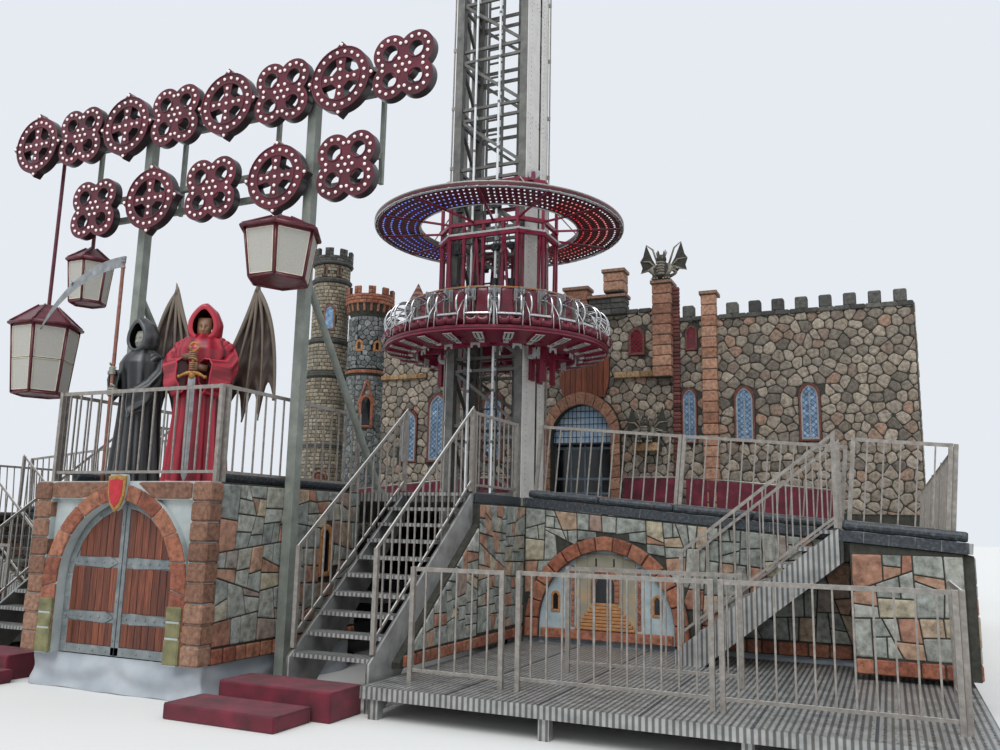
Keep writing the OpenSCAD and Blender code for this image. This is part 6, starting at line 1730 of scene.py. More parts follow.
for x, z, kind in [(-3.29 + 0.85 * i, 6.96, i % 2) for i in range(8)] + [(-2.05 + i, 5.86, (i + 1) % 2)
                                                                         for i in range(5)]:
    if kind == 0:
        edge_ring(x, z, 0.40)
        edge_ring(x, z, 0.272)
        for i in range(20):
            a = 2 * math.pi * (i + 0.5) / 20
            stud(x, z, 0.336 * math.cos(a), 0.336 * math.sin(a))
        for i in range(4):
            a = math.pi / 2 * i
            for reach in (0.11, 0.2, 0.43):
                stud(x, z, reach * math.cos(a), reach * math.sin(a))
        stud(x, z, 0.0, 0.0)
    else:
        for i in range(4):
            a = math.pi / 4 + math.pi / 2 * i
            cx, cz = 0.2375 * math.cos(a), 0.2375 * math.sin(a)
            edge_ring(x + cx, z + cz, 0.100, 24)
            for j in range(11):
                b = a + 2 * math.pi * j / 11
                if math.hypot(cx + 0.165 * math.cos(b), cz + 0.165 * math.sin(b)) > 0.2:
                    stud(x, z, cx + 0.165 * math.cos(b), cz + 0.165 * math.sin(b))
        for i in range(6):
            stud(x, z, 0.095 * math.cos(math.pi * i / 3), 0.095 * math.sin(math.pi * i / 3))
        stud(x, z, 0.0, 0.0)
frosted = mottled("frosted_lamp_cap", ((0.3, "e8d9d4"), (0.7, "fbf3ee")), 20.0, (0.3, 0.4))
frosted_shader = frosted.node_tree.nodes["Principled BSDF"]
frosted_shader.inputs["Emission Color"].default_value = hex_colour("ffe9e0")
frosted_shader.inputs["Emission Strength"].default_value = 0.15
lamps.piece("sign_lamps", frosted, "structure", "light", smooth=True)
holders.piece("sign_lamp_holders", lacquer, "structure", "maroon_shell")
edges.piece("sign_edges", lacquer, "structure", "maroon_shell", smooth=True)


# Lanterns: six-sided cages of folded sheet with opal panels behind wire mesh, cream edge
# strips and a vinyl-covered roof that is tied down over the frame.
vinyl = mottled("maroon_vinyl", ((0.3, "42121c"), (0.55, "5c1e2a"), (0.8, "713240")), 110.0, (0.25, 0.45),
                0.0, 3.0, 40.0)
dress("lanterns", vinyl)
mesh_panel, mesh_tree, mesh_shader = new_material("meshed_opal_panel", "b4b4b0", 0.5)
mesh_place = add_node(mesh_tree, "TexCoord").outputs["Object"]
mesh_wire = add_node(mesh_tree, "TexVoronoi", {"Scale": 240.0}, Vector=mesh_place)
mesh_tint = add_node(mesh_tree, "ValToRGB", {"stops": ((0.2, "b9b6ae"), (0.5, "a9a69e"),
                                                       (0.8, "97948d"))}, Fac=mesh_wire.outputs["Distance"])
mesh_tree.links.new(mesh_tint.outputs["Color"], mesh_shader.inputs["Base Color"])
cream = mottled("cream_edge_strip", ((0.3, "b9b09b"), (0.7, "d8d0bd")), 60.0, (0.5, 0.6))
lantern_panels, lantern_strips, lantern_posts = Heap(), Heap(), Heap()
LANTERNS = ((1.37, -9.01, 4.43, 0.94, 0.54), (-3.10, -8.355, 3.43, 0.94, 0.93),
            (-2.36, -8.355, 4.65, 0.62, 0.56))
for lx, ly, lz, w, h in LANTERNS:
    def lantern_point(share, a, z, lx=lx, ly=ly, r=w / 2):
        """A point at a share of the lantern's radius."""
        return Vector((lx + share * r * math.cos(a), ly + share * r * math.sin(a), z))

    for k in range(6):
        a0, a1 = math.pi / 3 * k, math.pi / 3 * (k + 1)
        out = Vector((math.cos((a0 + a1) / 2), math.sin((a0 + a1) / 2), 0.0))
        foot0, foot1 = [lantern_point(0.72, a, lz) for a in (a0, a1)]
        head0, head1 = [lantern_point(0.9, a, lz + h) for a in (a0, a1)]
        levels = (0.05, 0.95) if h < 0.8 else (0.04, 0.49, 0.51, 0.96)
        for t0, t1 in zip(levels[::2], levels[1::2]):
            pane_corners = []
            for share, t in ((0.07, t0), (0.93, t0), (0.93, t1), (0.07, t1)):
                pane_corners.append(foot0.lerp(foot1, share).lerp(head0.lerp(head1, share), t)
                                    + 0.004 * out)
            lantern_panels.add(pane_corners, [(0, 1, 2, 3)])
            for i in range(4):
                lantern_strips.tube((pane_corners[i] + 0.004 * out, pane_corners[(i + 1) % 4]
                                     + 0.004 * out), 0.006, 4)
        lantern_posts.tube((foot0 + 0.004 * out, head0 + 0.004 * out), 0.016, 6)
        lantern_posts.tube((foot0, foot1), 0.018, 6)
        eave, peak = lantern_point(0.97, a0, lz + h + 0.045), lantern_point(0.26, a0,
                                                                            lz + h + 0.04 + 0.3 * h)
        lantern_posts.tube((eave, peak), 0.014, 6)
        lantern_posts.tube([lantern_point(0.99, a, lz + h + 0.02) for a in (a0, a1)], 0.024, 8)
lantern_panels.piece("lantern_panels", mesh_panel, "structure", "clear_board")
lantern_strips.piece("lantern_strips", cream, "structure", "clear_board")
lantern_posts.piece("lantern_ridges", vinyl, "structure", "maroon_shell", smooth=True)


# Two robed statues on the gate: hollow glass-fibre figures. The folds are moulded in, and a gloss coat lies
# over all; hands and faces are air-brushed. Each face's tone paints shade and highlight into the colour:
# fold valleys, hood hollows, cuffs and eye sockets darker as painted shade, ridges and ribs lighter as
# painted highlight.
def sprayed(name, stops, roughness, grain_mm=6.0, relief_mm=0.6):
    """Gloss paint that goes from dark to light by the mesh's tone, which holds painted shade in valleys and
    hollows and painted highlight on ridges.
    """
    material, tree, shader = new_material(name, "808080", roughness)
    height = add_node(tree, "Attribute", {"attribute_name": "tone"})
    place = add_node(tree, "TexCoord").outputs["Object"]
    cloud = add_node(tree, "TexNoise", {"Scale": 1000.0 / 160.0, "Detail": 4.0}, Vector=place)
    shift = add_node(tree, "Math", {"operation": "MULTIPLY_ADD", "Value_001": 0.3},
                     Value=cloud.outputs["Fac"], Value_002=height.outputs["Fac"])
    ramp = add_node(tree, "ValToRGB", {"stops": stops}, Fac=shift.outputs["Value"])
    tree.links.new(ramp.outputs["Color"], shader.inputs["Base Color"])
    grain = add_node(tree, "TexNoise", {"Scale": 1000.0 / grain_mm, "Detail": 2.0}, Vector=place)
    bump = add_node(tree, "Bump", {"Strength": 0.25, "Distance": relief_mm / 1000.0},
                    Height=grain.outputs["Fac"])
    tree.links.new(bump.outputs["Normal"], shader.inputs["Normal"])
    return material


ROBE_LINE = ((0.0, 0.95), (0.1, 0.90), (0.2, 0.85), (0.35, 0.78), (0.5, 0.74), (0.6, 0.78), (0.68, 0.84),
             (0.72, 0.84), (0.77, 0.68), (0.81, 0.40))


def follow(line, at):
    """Reads a value off a list of (place, value) pairs."""
    for (a, low), (b, high) in zip(line, line[1:]):
        if at <= b:
            return low + (high - low) * max(0.0, (at - a) / (b - a))
    return line[-1][1]


def add_grid(heap, points, tones, rows, cols, around):
    """Quads over rows of points; around joins the last column to the first."""
    start = len(heap.points)
    heap.points.extend(points)
    for j in range(rows - 1):
        for i in range(cols if around else cols - 1):
            k = (i + 1) % cols
            heap.faces.append((start + j * cols + i, start + j * cols + k, start + (j + 1) * cols + k,
                               start + (j + 1) * cols + i))
            heap.tones.append((tones[j * cols + i] + tones[(j + 1) * cols + k]) / 2)


def add_robe(heap, foot, height, radius, folds, twist, draw):
    """The robe from the hem to the shoulders: folds fade toward the shoulders, and each fold's valley is
    painted darker as painted shade.
    """
    rows, cols = 72, 216
    waves = [(folds * k, draw.uniform(0, 6.3), draw.uniform(0.7, 1.3) * twist, weight) for k,
             weight in ((1, 0.55), (0.62, 0.3), (1.7, 0.15))]
    waves = [(round(n), phase, turn, weight) for n, phase, turn, weight in waves]
    points, tones = [], []
    for j in range(rows):
        t = 0.81 * j / (rows - 1)
        reach = follow(ROBE_LINE, t) * radius
        depth = 0.24 * (1.0 - 0.5 * t) * (1.0 if t < 0.42
                                          else max(0.22, 1.0 - 2.6 * (t - 0.42))) * min(1.0, (0.83 - t) * 9)
        for i in range(cols):
            a = 2 * math.pi * i / cols
            ridge = sum(w * (1 - abs(math.sin((n * a + p + turn * t * 5) / 2)) ** 1.6) for n, p,
                        turn, w in waves)
            low = depth * ridge
            r = reach * (1.0 - low)
            points.append(Vector(foot) + Vector((r * math.sin(a), -r * math.cos(a),
                                                 t * height + (0.012 * math.sin(3 * a + waves[0][1])
                                                               + 0.012 if j == 0 else 0.0))))
            tones.append(0.95 - ridge * 0.9)
    add_grid(heap, points, tones, rows, cols, True)


def add_sleeve(heap, foot, path, tops, drops, wide, draw):
    """A bell sleeve: rings along the arm that hang lower and lower toward the cuff; its folds and hollow
    cuff are painted darker as painted shade, the cuff's rolled rim lighter as painted highlight.
    """
    rows, cols = 30, 40
    phase = draw.uniform(0, 6)
    points, tones = [], []
    for j in range(rows):
        s = j / (rows - 1)
        centre = Vector(follow([(k / (len(path) - 1), p[axis]) for k, p in enumerate(path)], s)
                        for axis in range(3))
        heading = Vector(path[-1]) - Vector(path[0])
        across = Vector((heading.y, -heading.x, 0)).normalized()
        top, drop, half = (follow([(k / (len(v) - 1), x) for k, x in enumerate(v)], s)
                           for v in (tops, drops, wide))
        for i in range(cols):
            b = 2 * math.pi * i / cols
            fold = 1 - abs(math.sin(3.5 * b + phase + 2.5 * s))
            wave = 1.0 - 0.16 * fold * min(1.0, 2.5 * s)
            up = top * math.cos(b) if math.cos(b) > 0 else drop * math.cos(b)
            points.append(Vector(foot) + centre + across * half * math.sin(b) * wave
                          + Vector((0, 0, up * wave)))
            tones.append(0.92 - 0.85 * fold * min(1.0, 2 * s))
    add_grid(heap, points, tones, rows, cols, True)
    rim = points[-cols:]
    heap.tube(rim, 0.011, 6, 1.0, closed=True)
    hollow = sum(rim, Vector()) / cols
    inner = [p.lerp(hollow, 0.08) - (Vector(foot) + Vector(path[-1])
                                     - (Vector(foot) + Vector(path[-2]))) * 0.3 for p in rim]
    add_grid(heap, rim + inner, [0.3] * cols + [0.0] * cols, 2, cols, True)
    heap.add(inner, [tuple(range(cols))], 0.0)


def add_hood(heap, centre, size, draw):
    """A pointed hood that is open to the front, with its creases painted darker and the hollow inside it
    painted near black, as painted shade.
    """
    rings = ((-0.150, 0.125, 0.185, 0.150, 0.03), (-0.170, 0.150, 0.215, 0.165, 0.035),
             (-0.150, 0.180, 0.240, 0.190, 0.04), (-0.08, 0.208, 0.262, 0.225, 0.045),
             (0.0, 0.215, 0.268, 0.235, 0.05), (0.09, 0.195, 0.245, 0.22, 0.03),
             (0.16, 0.135, 0.17, 0.17, 0.02), (0.20, 0.03, 0.04, 0.06, 0.0))
    inner = ((-0.150, 0.125, 0.185, 0.150, 0.03), (-0.08, 0.150, 0.20, 0.17, 0.02),
             (0.02, 0.155, 0.20, 0.17, 0.0), (0.10, 0.08, 0.1, 0.1, 0.0))
    cols = 48
    for line, shade_lining in ((rings, False), (inner, True)):
        points, tones = [], []
        for y, half, up, down, tip in line:
            for i in range(cols):
                b = 2 * math.pi * i / cols
                rise = (up if math.cos(b) > 0 else down) * math.cos(b) + tip * max(0.0, math.cos(b)) ** 9
                ripple = 0.05 * abs(math.sin(4.5 * b + 6 * y)) * min(1.0, (y + 0.17) * 8)
                crease = 1.0 if shade_lining else 1.0 - ripple
                points.append(Vector(centre) + size * Vector((half * math.sin(b) * crease, y,
                                                              rise * crease)))
                tones.append(0.0 if shade_lining else 0.9 - 0.5 * (1 - crease) / 0.05)
        add_grid(heap, points, tones, len(line), cols, True)


def bell(x, width):
    """A smooth bump, 1 at zero, that fades over the width."""
    return math.exp(-(x / width) ** 2)


def add_face(heap, centre, size):
    """A calm, plain face with lowered lids, tipped a little down; its tone paints shade in the eye sockets
    and mouth and a highlight on the lids and nose.
    """
    rows, cols = 26, 22
    points, tones = [], []
    for j in range(rows):
        v = 1 - 2 * j / (rows - 1)
        for i in range(cols):
            u = -1 + 2 * i / (cols - 1)
            narrow = 1.0 - 0.22 * max(0.0, -v) ** 1.5
            depth = math.sqrt(max(0.0, 1 - 0.85 * u * u)) * math.sqrt(max(0.0, 1 - 0.8 * v * v)) * 0.085
            nose = 0.030 * bell(u, 0.15) * max(0.0, min(1.0, (0.32 - v) / 0.5)) * (1.0 if v > -0.18
                    else bell(v + 0.18, 0.06))
            socket = 0.017 * (bell(abs(u) - 0.38, 0.18) * bell(v - 0.16, 0.13))
            lid = 0.010 * (bell(abs(u) - 0.38, 0.11) * bell(v - 0.13, 0.05))
            mouth = 0.006 * bell(v + 0.5, 0.035) * bell(u, 0.3) - 0.006 * (bell(v + 0.42, 0.06)
                    + bell(v + 0.58, 0.06)) * bell(u, 0.26)
            cheek = 0.008 * bell(abs(u) - 0.5, 0.2) * bell(v + 0.12, 0.18)
            push = depth + nose - socket + lid - mouth + cheek
            points.append(Vector(centre) + size * Vector((u * 0.085 * narrow, -push,
                                                          v * 0.125 + 0.25 * (0.085 - push))))
            tones.append(0.75 - 22 * (socket - lid) - 25 * max(0.0, mouth) + 6 * nose)
    add_grid(heap, points, tones, rows, cols, False)


def add_cowl(heap, foot, rolls, front, back, height, lift, tone):
    """Rolled collars, one over the other; a roll is (reach, drop, thickness), front is (m, more each)."""
    for k, (reach, drop, thick) in enumerate(rolls):
        roll = []
        for i in range(40):
            a = 2 * math.pi * i / 40
            ahead, behind = max(0.0, math.cos(a)), max(0.0, -math.cos(a))
            roll.append(foot + Vector((reach * math.sin(a), -0.03 - (front[0] + front[1] * k) * ahead
                                       + back * behind,
                                       height + lift * k - drop * ahead ** 2)))
        heap.tube(roll, thick, 12, tone + 0.1 * (k % 2), closed=True)


def add_fist(heap, foot, x, y, z, side, grip):
    """Four fingers and a thumb closed round an upright bar."""
    for k in range(4):
        arc = [Vector(foot) + Vector((x + side * (grip + 0.012) * math.cos(a),
                                      y - (grip + 0.012) * math.sin(a), z + 0.023 * k))
               for a in [math.radians(-20 + 28 * i) for i in range(9)]]
        heap.tube(arc, [0.010 + 0.002 * math.sin(i * 1.7) if i < 8 else 0.006 for i in range(9)], 8, 0.8)
    thumb = [Vector(foot) + Vector((x + side * (grip + 0.016) * math.cos(a),
                                    y - (grip + 0.016) * math.sin(a), z + 0.096 + 0.01 * i))
             for i, a in enumerate([math.radians(-30 + 32 * i) for i in range(4)])]
    heap.tube(thumb, [0.014, 0.013, 0.012, 0.008], 8, 0.9)
    low, high = Vector((x + side * 0.015, y - 0.02, z - 0.012)), Vector((x + side * (0.03 + grip),
                                                                         y + 0.055, z + 0.085))
    low.x, high.x = sorted((low.x, high.x))
    heap.block(low + Vector(foot), high + Vector(foot), 0.018, None, 0.7)
    heap.tube((Vector(foot) + Vector((x + side * 0.03, y + 0.03, z + 0.035)),
               Vector(foot) + Vector((x + side * 0.13, y + 0.09, z + 0.03))), [0.036, 0.040], 12, 0.6)


draw = random.Random(53)
red_robe = sprayed("sprayed_red_robe", ((0.12, "2c050b"), (0.4, "6a0c18"), (0.75, "90142a"),
                                        (1.1, "ab2c3c")), 0.32)
black_robe = sprayed("sprayed_black_robe", ((0.1, "0c0d0e"), (0.4, "1b1c1e"), (0.75, "303234"),
                                            (1.0, "4c4f50")), 0.35)
# The guard's face and hands are brown, darkened further as painted shade for the hood's shadow.
skin_and_hood_shade_paint = sprayed("brown_skin_and_hood_shade", ((0.1, "170d08"), (0.5, "4a3022"), (0.9, "75523c"),
                                            (1.2, "94704f")), 0.5)
bone_paint = sprayed("sprayed_grey_skin", ((0.1, "1c1d1c"), (0.5, "53554f"), (0.9, "85867c"),
                                           (1.2, "9c9c90")), 0.5)
wing_paint = sprayed("sprayed_wing_skin", ((0.05, "17120f"), (0.4, "32261f"), (0.75, "4a3b31"),
                                           (1.05, "71665a")), 0.5, 14.0, 2.5)
gold_paint = mottled("aged_gold_paint", ((0.3, "7a5327"), (0.6, "a9793b"), (0.8, "c9a05c")), 35.0,
                     (0.3, 0.5), 0.3, 0.5, 5.0)
steel_paint = mottled("brushed_silver_paint", ((0.3, "7b7e80"), (0.6, "989b9d"), (0.8, "b4b7b8")),
                      90.0, (0.3, 0.45), 0.6, 0.4, 4.0)
staff_wood = mottled("varnished_brown_pole", ((0.3, "6b412f"), (0.6, "87584a"), (0.8, "9c6d5c")),
                     60.0, (0.35, 0.5), 0.0, 0.4, 6.0)
GUARD, GUARD_H, GUARD_R = Vector((0.2, -8.8, DECK_Z)), 2.26, 0.40
GUARD_TURN = 28.0
robe, skin, gold, blade, wings = Heap(), Heap(), Heap(), Heap(), Heap()


def facing(x, y, z, degrees=GUARD_TURN):
    """A step from the guard's foot, turned with the figure toward the stairs."""
    a = math.radians(degrees)
    return Vector((x * math.cos(a) - y * math.sin(a), x * math.sin(a) + y * math.cos(a), z))


def turn_about(heap, foot, degrees):
    """Turns all that a heap holds about an upright line through the foot."""
    a = math.radians(degrees)
    for i, p in enumerate(heap.points):
        x, y = p[0] - foot.x, p[1] - foot.y
        heap.points[i] = Vector((foot.x + x * math.cos(a) - y * math.sin(a),
                                 foot.y + x * math.sin(a) + y * math.cos(a), p[2]))


add_robe(robe, GUARD, GUARD_H * 0.955, GUARD_R, 15, 0.1, draw)
for side in (-1, 1):
    arm = ((side * 0.24, 0.02, 1.57), (side * 0.31, -0.08, 1.42), (side * 0.27, -0.24, 1.32),
           (side * 0.12, -0.39, 1.34))
    add_sleeve(robe, GUARD, arm, (0.12, 0.13, 0.11, 0.075), (0.14, 0.26, 0.34, 0.33),
               (0.12, 0.13, 0.13, 0.085), draw)
add_cowl(robe, GUARD, ((0.30, 0.26, 0.046), (0.25, 0.22, 0.044), (0.20, 0.15, 0.040)), (0.19, 0.015), 0.13,
         1.62, 0.035, 0.7)
add_hood(robe, GUARD + Vector((0.0, -0.04, 1.835)), 0.95, draw)
add_face(skin, GUARD + Vector((0.0, -0.075, 1.81)), 1.0)
for side, z in ((-1, 1.395), (1, 1.27)):
    add_fist(skin, GUARD, 0.0, -0.46, z, side, 0.024)
SWORD = GUARD + Vector((0.0, -0.46, 0.0))
sections = [(0.012, 0.004, 0.003), (0.10, 0.036, 0.009), (0.6, 0.040, 0.011), (1.18, 0.040, 0.012)]
points = []
for z, w, d in sections:
    outline = ((-w, 0), (-0.3 * w, -d), (0, -0.75 * d), (0.3 * w, -d), (w, 0), (0.3 * w, d), (-0.3 * w, d))
    points += [SWORD + Vector((x, y, z)) for x, y in outline]
add_grid(blade, points, [0.5] * len(points), len(sections), 7, True)
guard_bar = [SWORD + Vector((x, 0.0, 1.205 - 0.05 * abs(x / 0.14) ** 2 + 0.03))
             for x in [-0.14 + 0.02 * i for i in range(15)]]
gold.tube(guard_bar, [0.020 - 0.006 * math.cos(6.28 * i / 14) for i in range(15)], 10)
for side in (-1, 1):
    gold.ball(SWORD + Vector((side * 0.142, 0.0, 1.186)), 0.022, 6, 12)
gold.ball(SWORD + Vector((0, 0, 1.20)), (0.04, 0.03, 0.045), 6, 12)
gold.tube((SWORD + Vector((0, 0, 1.22)), SWORD + Vector((0, 0, 1.475))), 0.019, 14)
for i in range(12):
    gold.tube((SWORD + Vector((0, 0, 1.235 + 0.02 * i)), SWORD + Vector((0, 0, 1.243 + 0.02 * i))),
              0.022, 12)
gold.tube([SWORD + Vector((0.046 * math.cos(a), 0, 1.53 + 0.046 * math.sin(a)))
           for a in [math.pi * i / 12 for i in range(24)]], 0.014, 10, closed=True)


def bent(a, b, c, t):
    """A point on the smooth line from a past b to c."""
    return (1 - t) ** 2 * Vector(a) + 2 * t * (1 - t) * Vector(b) + t * t * Vector(c)


wing_root = GUARD + facing(-0.02, 0.40, 0.0)
FINGERS = (((0.93, 2.02), (0.925, 1.03)), ((0.76, 2.05), (0.72, 0.79)), ((0.60, 1.95), (0.49, 0.77)),
           ((0.49, 1.82), (0.21, 0.84)), ((0.40, 1.84), (0.10, 1.32)))
# The wings' tone is painted shade and highlight: each membrane darker in its sagging middle, the ribs
# lighter.
for side in (-1, 1):
    ribs = []
    for knee, tip in FINGERS:
        ribs.append([bent((0.59, 2.41), knee, tip, j / 28) for j in range(29)])

    def flat(p, back, side=side):
        """A point of the wing's drawing, set back from its plane."""
        return wing_root + facing(side * p.x * 0.92, back, p.y, 12.0)

    for n, (first, second) in enumerate(zip(ribs, ribs[1:])):
        for layer in (0.0, 0.018):
            points, tones = [], []
            for j in range(29):
                for i in range(9):
                    s = i / 8
                    end = 1.0 - (0.16 if n < 3 else 0.05) * math.sin(math.pi * s) * (j / 28) ** 2
                    down = min(28.0, j * end)
                    low, share = int(min(27, down)), down - int(min(27, down))
                    p = first[low].lerp(first[low + 1], share).lerp(second[low].lerp(second[low + 1],
                                                                                     share), s)
                    sag = 0.045 * math.sin(math.pi * s) * math.sin(math.pi * min(1.0, j / 28
                            + 0.1)) + 0.006 * math.sin(j * 1.3 + 2 * n)
                    points.append(flat(p, sag + layer))
                    tones.append(0.75 - 0.55 * math.sin(math.pi * s) + 0.12 * math.sin(j * 1.3 + 2 * n))
            add_grid(wings, points, tones, 29, 9, False)
    for n, rib in enumerate(ribs):
        thick = [0.026 - 0.018 * j / 28 for j in range(29)] if 0 < n < 4 else [0.030 - 0.012 * j / 28
                                                                               for j in range(29)]
        wings.tube([flat(p, 0.0) for p in rib], thick, 8, 1.0)
    wings.tube((flat(Vector((0.595, 2.38)), 0), flat(Vector((0.60, 2.46)), 0),
                flat(Vector((0.62, 2.535)), 0)), [0.040, 0.022, 0.004], 8, 0.95)
    wings.tube((flat(Vector((0.10, 1.32)), 0), flat(Vector((0.02, 1.25)), -0.10),
                flat(Vector((0.0, 1.2)), -0.2)), [0.04, 0.07, 0.08], 10, 0.6)
for heap in (robe, skin, gold, blade):
    turn_about(heap, GUARD, GUARD_TURN)
robe.piece("guard_robe", red_robe, "structure", "robe", ("winged_guard",), smooth=True)
skin.piece("guard_face_and_hands", skin_and_hood_shade_paint, "structure", "robe", smooth=True)
gold.piece("guard_sword_hilt", gold_paint, "structure", "robe", smooth=True)
blade.piece("guard_sword_blade", steel_paint, "structure", "robe")
wings.piece("guard_wings", wing_paint, "structure", "robe", smooth=True)


# The second figure stands at its right with a scythe: the same kind of hollow shell in satin black,
# with a varnished pole and a blade of silver-painted sheet.
REAPER, REAPER_H, REAPER_R = Vector((-0.64, -8.90, DECK_Z)), 1.99, 0.33
robe, skin, blade, pole = Heap(), Heap(), Heap(), Heap()
add_robe(robe, REAPER, REAPER_H, REAPER_R, 13, 0.85, draw)
for arm, drops in ((((-0.19, 0.02, 1.44), (-0.28, -0.07, 1.28), (-0.24, -0.20, 1.22),
                     (-0.13, -0.32, 1.26)), (0.12, 0.20, 0.26, 0.24)),
                   (((0.20, 0.02, 1.44), (0.29, -0.07, 1.26), (0.25, -0.20, 1.12), (0.14, -0.30, 1.03)),
                    (0.12, 0.22, 0.28, 0.27))):
    add_sleeve(robe, REAPER, arm, (0.10, 0.11, 0.09, 0.065), drops, (0.10, 0.11, 0.11, 0.07), draw)
add_cowl(robe, REAPER, ((0.25, 0.22, 0.038), (0.205, 0.18, 0.036), (0.16, 0.12, 0.034)), (0.13, 0.0), 0.11,
         1.50, 0.03, 0.6)
add_hood(robe, REAPER + Vector((0.0, -0.03, 1.735)), 0.86, draw)
add_face(skin, REAPER + Vector((0.0, -0.06, 1.71)), 0.9)
add_fist(skin, REAPER, -0.09, -0.37, 1.27, -1, 0.022)
add_fist(skin, REAPER, -0.09, -0.37, 1.02, 1, 0.022)
STAFF = REAPER + Vector((-0.09, -0.37, 0.0))
pole.tube([STAFF + Vector((0.0, 0.0, 0.01 + 0.1 * i)) for i in range(27)],
          [0.0215 + 0.0012 * math.sin(2.3 * i) for i in range(27)], 12)
for z in (2.55, 2.62, 2.66):
    blade.tube((STAFF + Vector((0, 0, z)), STAFF + Vector((0, 0, z + 0.02))), 0.028, 14)
points = []
for i in range(37):
    a = math.radians(62 * i / 36)
    broad = 0.13 * max(0.02, 1 - (i / 36) ** 2.2)
    outer = STAFF + Vector((0.03 - 1.5 * math.sin(a), 0.0, 2.69 - 1.5 + 1.5 * math.cos(a)))
    inward = Vector((math.sin(a), 0.0, -math.cos(a)))
    points += [outer + Vector((0, -0.013, 0)), outer + inward * 0.35 * broad + Vector((0, -0.008, 0)),
               outer + inward * broad,
               outer + inward * 0.35 * broad + Vector((0, 0.008, 0)), outer + Vector((0, 0.013, 0))]
add_grid(blade, points, [0.5] * len(points), 37, 5, True)
barb = [STAFF + Vector((0.03 - (1.49 + out) * math.sin(math.radians(a)), 0.0,
                        1.19 + (1.49 + out) * math.cos(math.radians(a)))) for a,
                        out in ((34, 0.0), (35.2, 0.035), (34.2, 0.075))]
blade.tube(barb, [0.03, 0.018, 0.003], 8)
robe.piece("reaper_robe", black_robe, "structure", "dark_robe", ("reaper_statue",), smooth=True)
skin.piece("reaper_face_and_hands", bone_paint, "structure", "dark_robe", smooth=True)
blade.piece("scythe_blade", steel_paint, "structure", "dark_robe")
pole.piece("scythe_pole", staff_wood, "structure", "dark_robe", smooth=True)


# Skirts below the walls: silver-grey coated cloth, gathered on a wire behind the walls' lower edge
# so that it falls in uneven folds; its weave is fine enough to look smooth with a faint sheen.
def textile(name, colour, roughness, stops, cloud, weave, height, bump, sheen):
    """Cloth whose colour drifts in clouds; weave is (node, settings), bump is (strength, metres)."""
    made, tree, shader = new_material(name, colour, roughness)
    place = add_node(tree, "TexCoord").outputs["Object"]
    drift = add_node(tree, "TexNoise", {"Scale": cloud, "Detail": 4.0}, Vector=place)
    tint = add_node(tree, "ValToRGB", {"stops": stops}, Fac=drift.outputs["Fac"])
    tree.links.new(tint.outputs["Color"], shader.inputs["Base Color"])
    threads = add_node(tree, *weave, Vector=place)
    relief = add_node(tree, "Bump", {"Strength": bump[0], "Distance": bump[1]},
                      Height=threads.outputs[height])
    tree.links.new(relief.outputs["Normal"], shader.inputs["Normal"])
    shader.inputs["Sheen Weight"].default_value = sheen
    return made


cloth = textile("silver_grey_cloth", "989da3", 0.55, ((0.3, "838a92"), (0.55, "9ca2a8"),
                                                      (0.75, "aeb3b7")), 2.2,
                ("TexNoise", {"Scale": 700.0, "Detail": 1.0}), "Fac", (0.3, 0.0004), 0.25)
SKIRT_H = 0.355


def hang_cloth(name, corners, stands_for=(), tall=SKIRT_H, pleats=False, fabric=None):
    """Cloth hung above a line on the floor: swags between its hooks, or upright pleats."""
    corners = [Vector(p) for p in corners]
    lengths = [(b - a).length for a, b in zip(corners, corners[1:])]
    length = sum(lengths)
    cols, rows = max(8, round(length / 0.025)), 17
    phases = [draw.uniform(0, 6.3) for _ in range(4)]

    def along(u):
        """Place on the line at a distance from its start."""
        for i, span in enumerate(lengths):
            if u <= span or i == len(lengths) - 1:
                return corners[i].lerp(corners[i + 1], min(1.0, max(0.0, u / span)))
            u -= span

    points = []
    for j in range(rows):
        t = j / (rows - 1)
        deep = 0.006 if pleats else 0.005 + 0.034 * t * (1.5 - t)
        for i in range(cols + 1):
            u = length * i / cols
            before, after = along(max(0.0, u - 0.05)), along(min(length, u + 0.05))
            run = (after - before).normalized()
            out = Vector((run.y, -run.x, 0.0)).normalized()
            spans = max(1, round(length / 1.25))
            part = (u / length * spans) % 1.0
            swag = 4 * part * (1 - part)
            wander = 0.9 * math.sin(2.1 * u + phases[0]) + 0.5 * math.sin(5.3 * u + phases[1])
            broad = math.cos(2 * math.pi * (1.25 * t - 0.6 * swag) + 0.25 * wander)
            pinch = math.exp(-(min(part, 1 - part) * length / spans / (0.05 + 0.16 * t)) ** 2)
            wave = broad * (1 - 0.5 * pinch) - 0.6 * pinch * (1 - t)
            if pleats:
                wave = 1.6 * math.sin(2 * math.pi * u / 0.19 + wander * (1 + 0.35 * t))
                wave += 0.4 * math.sin(2 * math.pi * u / 0.07 + phases[2]) * (1 - t)
            ends = 1.0 if pleats else min(1.0, u / 0.2, (length - u) / 0.2)
            flare = (0.0 if pleats else 0.030 * t * t) * ends
            lift = 0.002 + (0.003 * (1 + math.sin(2 * math.pi * u / 0.6 + wander)) if j == rows - 1 else 0)
            points.append(along(u) + out * (deep * wave * ends + flare)
                          + Vector((0, 0, max(lift, tall * (1 - t)))))
    mesh = bpy.data.meshes.new(name)
    starts = [j * (cols + 1) + i for j in range(rows - 1) for i in range(cols)]
    mesh.from_pydata(points, [], [(k, k + cols + 1, k + cols + 2, k + 1) for k in starts])
    mesh.polygons.foreach_set("use_smooth", [True] * len(mesh.polygons))
    mesh.materials.append(fabric or cloth)
    made = bpy.data.objects.new(name, mesh)
    bpy.context.scene.collection.objects.link(made)
    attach(made, "structure")
    if stands_for:
        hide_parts(*stands_for)


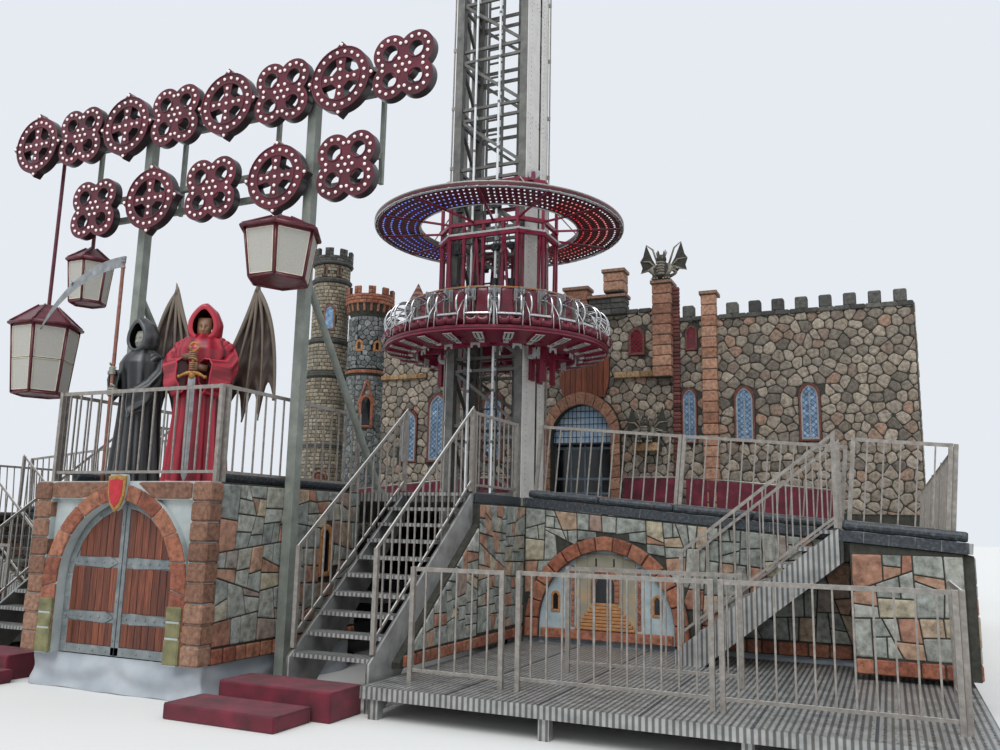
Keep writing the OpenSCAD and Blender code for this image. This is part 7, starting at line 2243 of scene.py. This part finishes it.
hang_cloth("skirt_front", ((-1.181, -6.97, 0), (-1.181, -9.549, 0), (1.181, -9.549, 0),
                           (1.181, -6.97, 0)), ("skirts",))
hang_cloth("skirt_long_left", ((-8.15, -5.399, 0), (-2.92, -5.399, 0)))
hang_cloth("skirt_long_right", ((2.92, -5.399, 0), (8.15, -5.399, 0)))
hang_cloth("skirt_side_left", ((-8.199, 4.89, 0), (-8.199, -5.39, 0)))
hang_cloth("skirt_side_right", ((8.199, -5.39, 0), (8.199, 4.89, 0)))


# Crimson drapes behind the deck: heavy woven cloth laced to a low rail in front of the backdrop.
# The rail is galvanised tube on posts with round feet, which stand upright on each floor.
drape_cloth = textile("crimson_woven_drape", "5c1426", 0.85, ((0.3, "3f0c19"), (0.55, "5c1426"),
                                                              (0.75, "752339")),
                      4.0, ("TexWave", {"Scale": 0.314 / 0.006}), "Fac", (0.4, 0.001), 0.15)
drape_rails = Heap()
DRAPE_Y, DRAPE_H = 4.80, 0.84
for side, tag in ((-1, "left"), (1, "right")):
    level = [Vector((side * x, DRAPE_Y, DECK_Z)) for x in (1.42, 2.86)]
    sloped = [wing_point(side, x, DRAPE_Y, DECK_Z) for x in (3.00, 6.40)]
    for part, (a, b), count in (("level", level, 2), ("wing", sloped, 4)):
        up = Vector((0, 0, 1)) if part == "level" else Vector((side * math.sin(WING_TILT), 0,
                                                               math.cos(WING_TILT)))
        drape_rails.tube((a + up * (DRAPE_H + 0.03), b + up * (DRAPE_H + 0.03)), 0.02, 10)
        for k in range(count + 1):
            foot = a.lerp(b, k / count) + Vector((0, 0.035, 0))
            drape_rails.tube((foot + up * 0.001, foot + up * (DRAPE_H + 0.02)), 0.016, 8)
            drape_rails.tube((foot + up * 0.001, foot + up * 0.012), 0.045, 12)
        ends = sorted((a + Vector((0, -0.03, 0.006)), b + Vector((0, -0.03, 0.006))), key=lambda p: p.x)
        hang_cloth("drape_" + part + "_" + tag, ends, (), DRAPE_H, True, drape_cloth)
drape_rails.piece("drape_rails", galvanised, "structure", "steel", smooth=True)


# Carpet steps: crimson pile carpet glued over wooden boxes at the foot of the two stairs. The pile
# drinks the light; a rolled seam binds its cut edges.
pile = textile("crimson_pile_carpet", "6d1526", 0.9, ((0.3, "480a18"), (0.55, "661026"),
                                                      (0.75, "7b1a30")), 5.0,
               ("TexVoronoi", {"Scale": 260.0}), "Distance", (0.8, 0.004), 0.12)
carpet = Heap()
for side in (-1, 1):
    for x0, x1, y0, y1, z1 in ((1.48, 2.78, -9.64, -9.12, 0.27), (1.34, 2.59, -10.20, -9.66, 0.14)):
        low_x, high_x = sorted((side * x0, side * x1))
        carpet.block((low_x, y0, 0.0), (high_x, y1, z1), 0.014)
        for x in (low_x + 0.004, high_x - 0.004):
            carpet.tube([(x, y0 + 0.02 + (y1 - y0 - 0.04) * i / 8, z1 - 0.004 + 0.002 * math.sin(3 * i))
                         for i in range(9)], 0.006, 6)
carpet.piece("carpet_boxes", pile, "structure", "carpet", ("carpet_steps",))
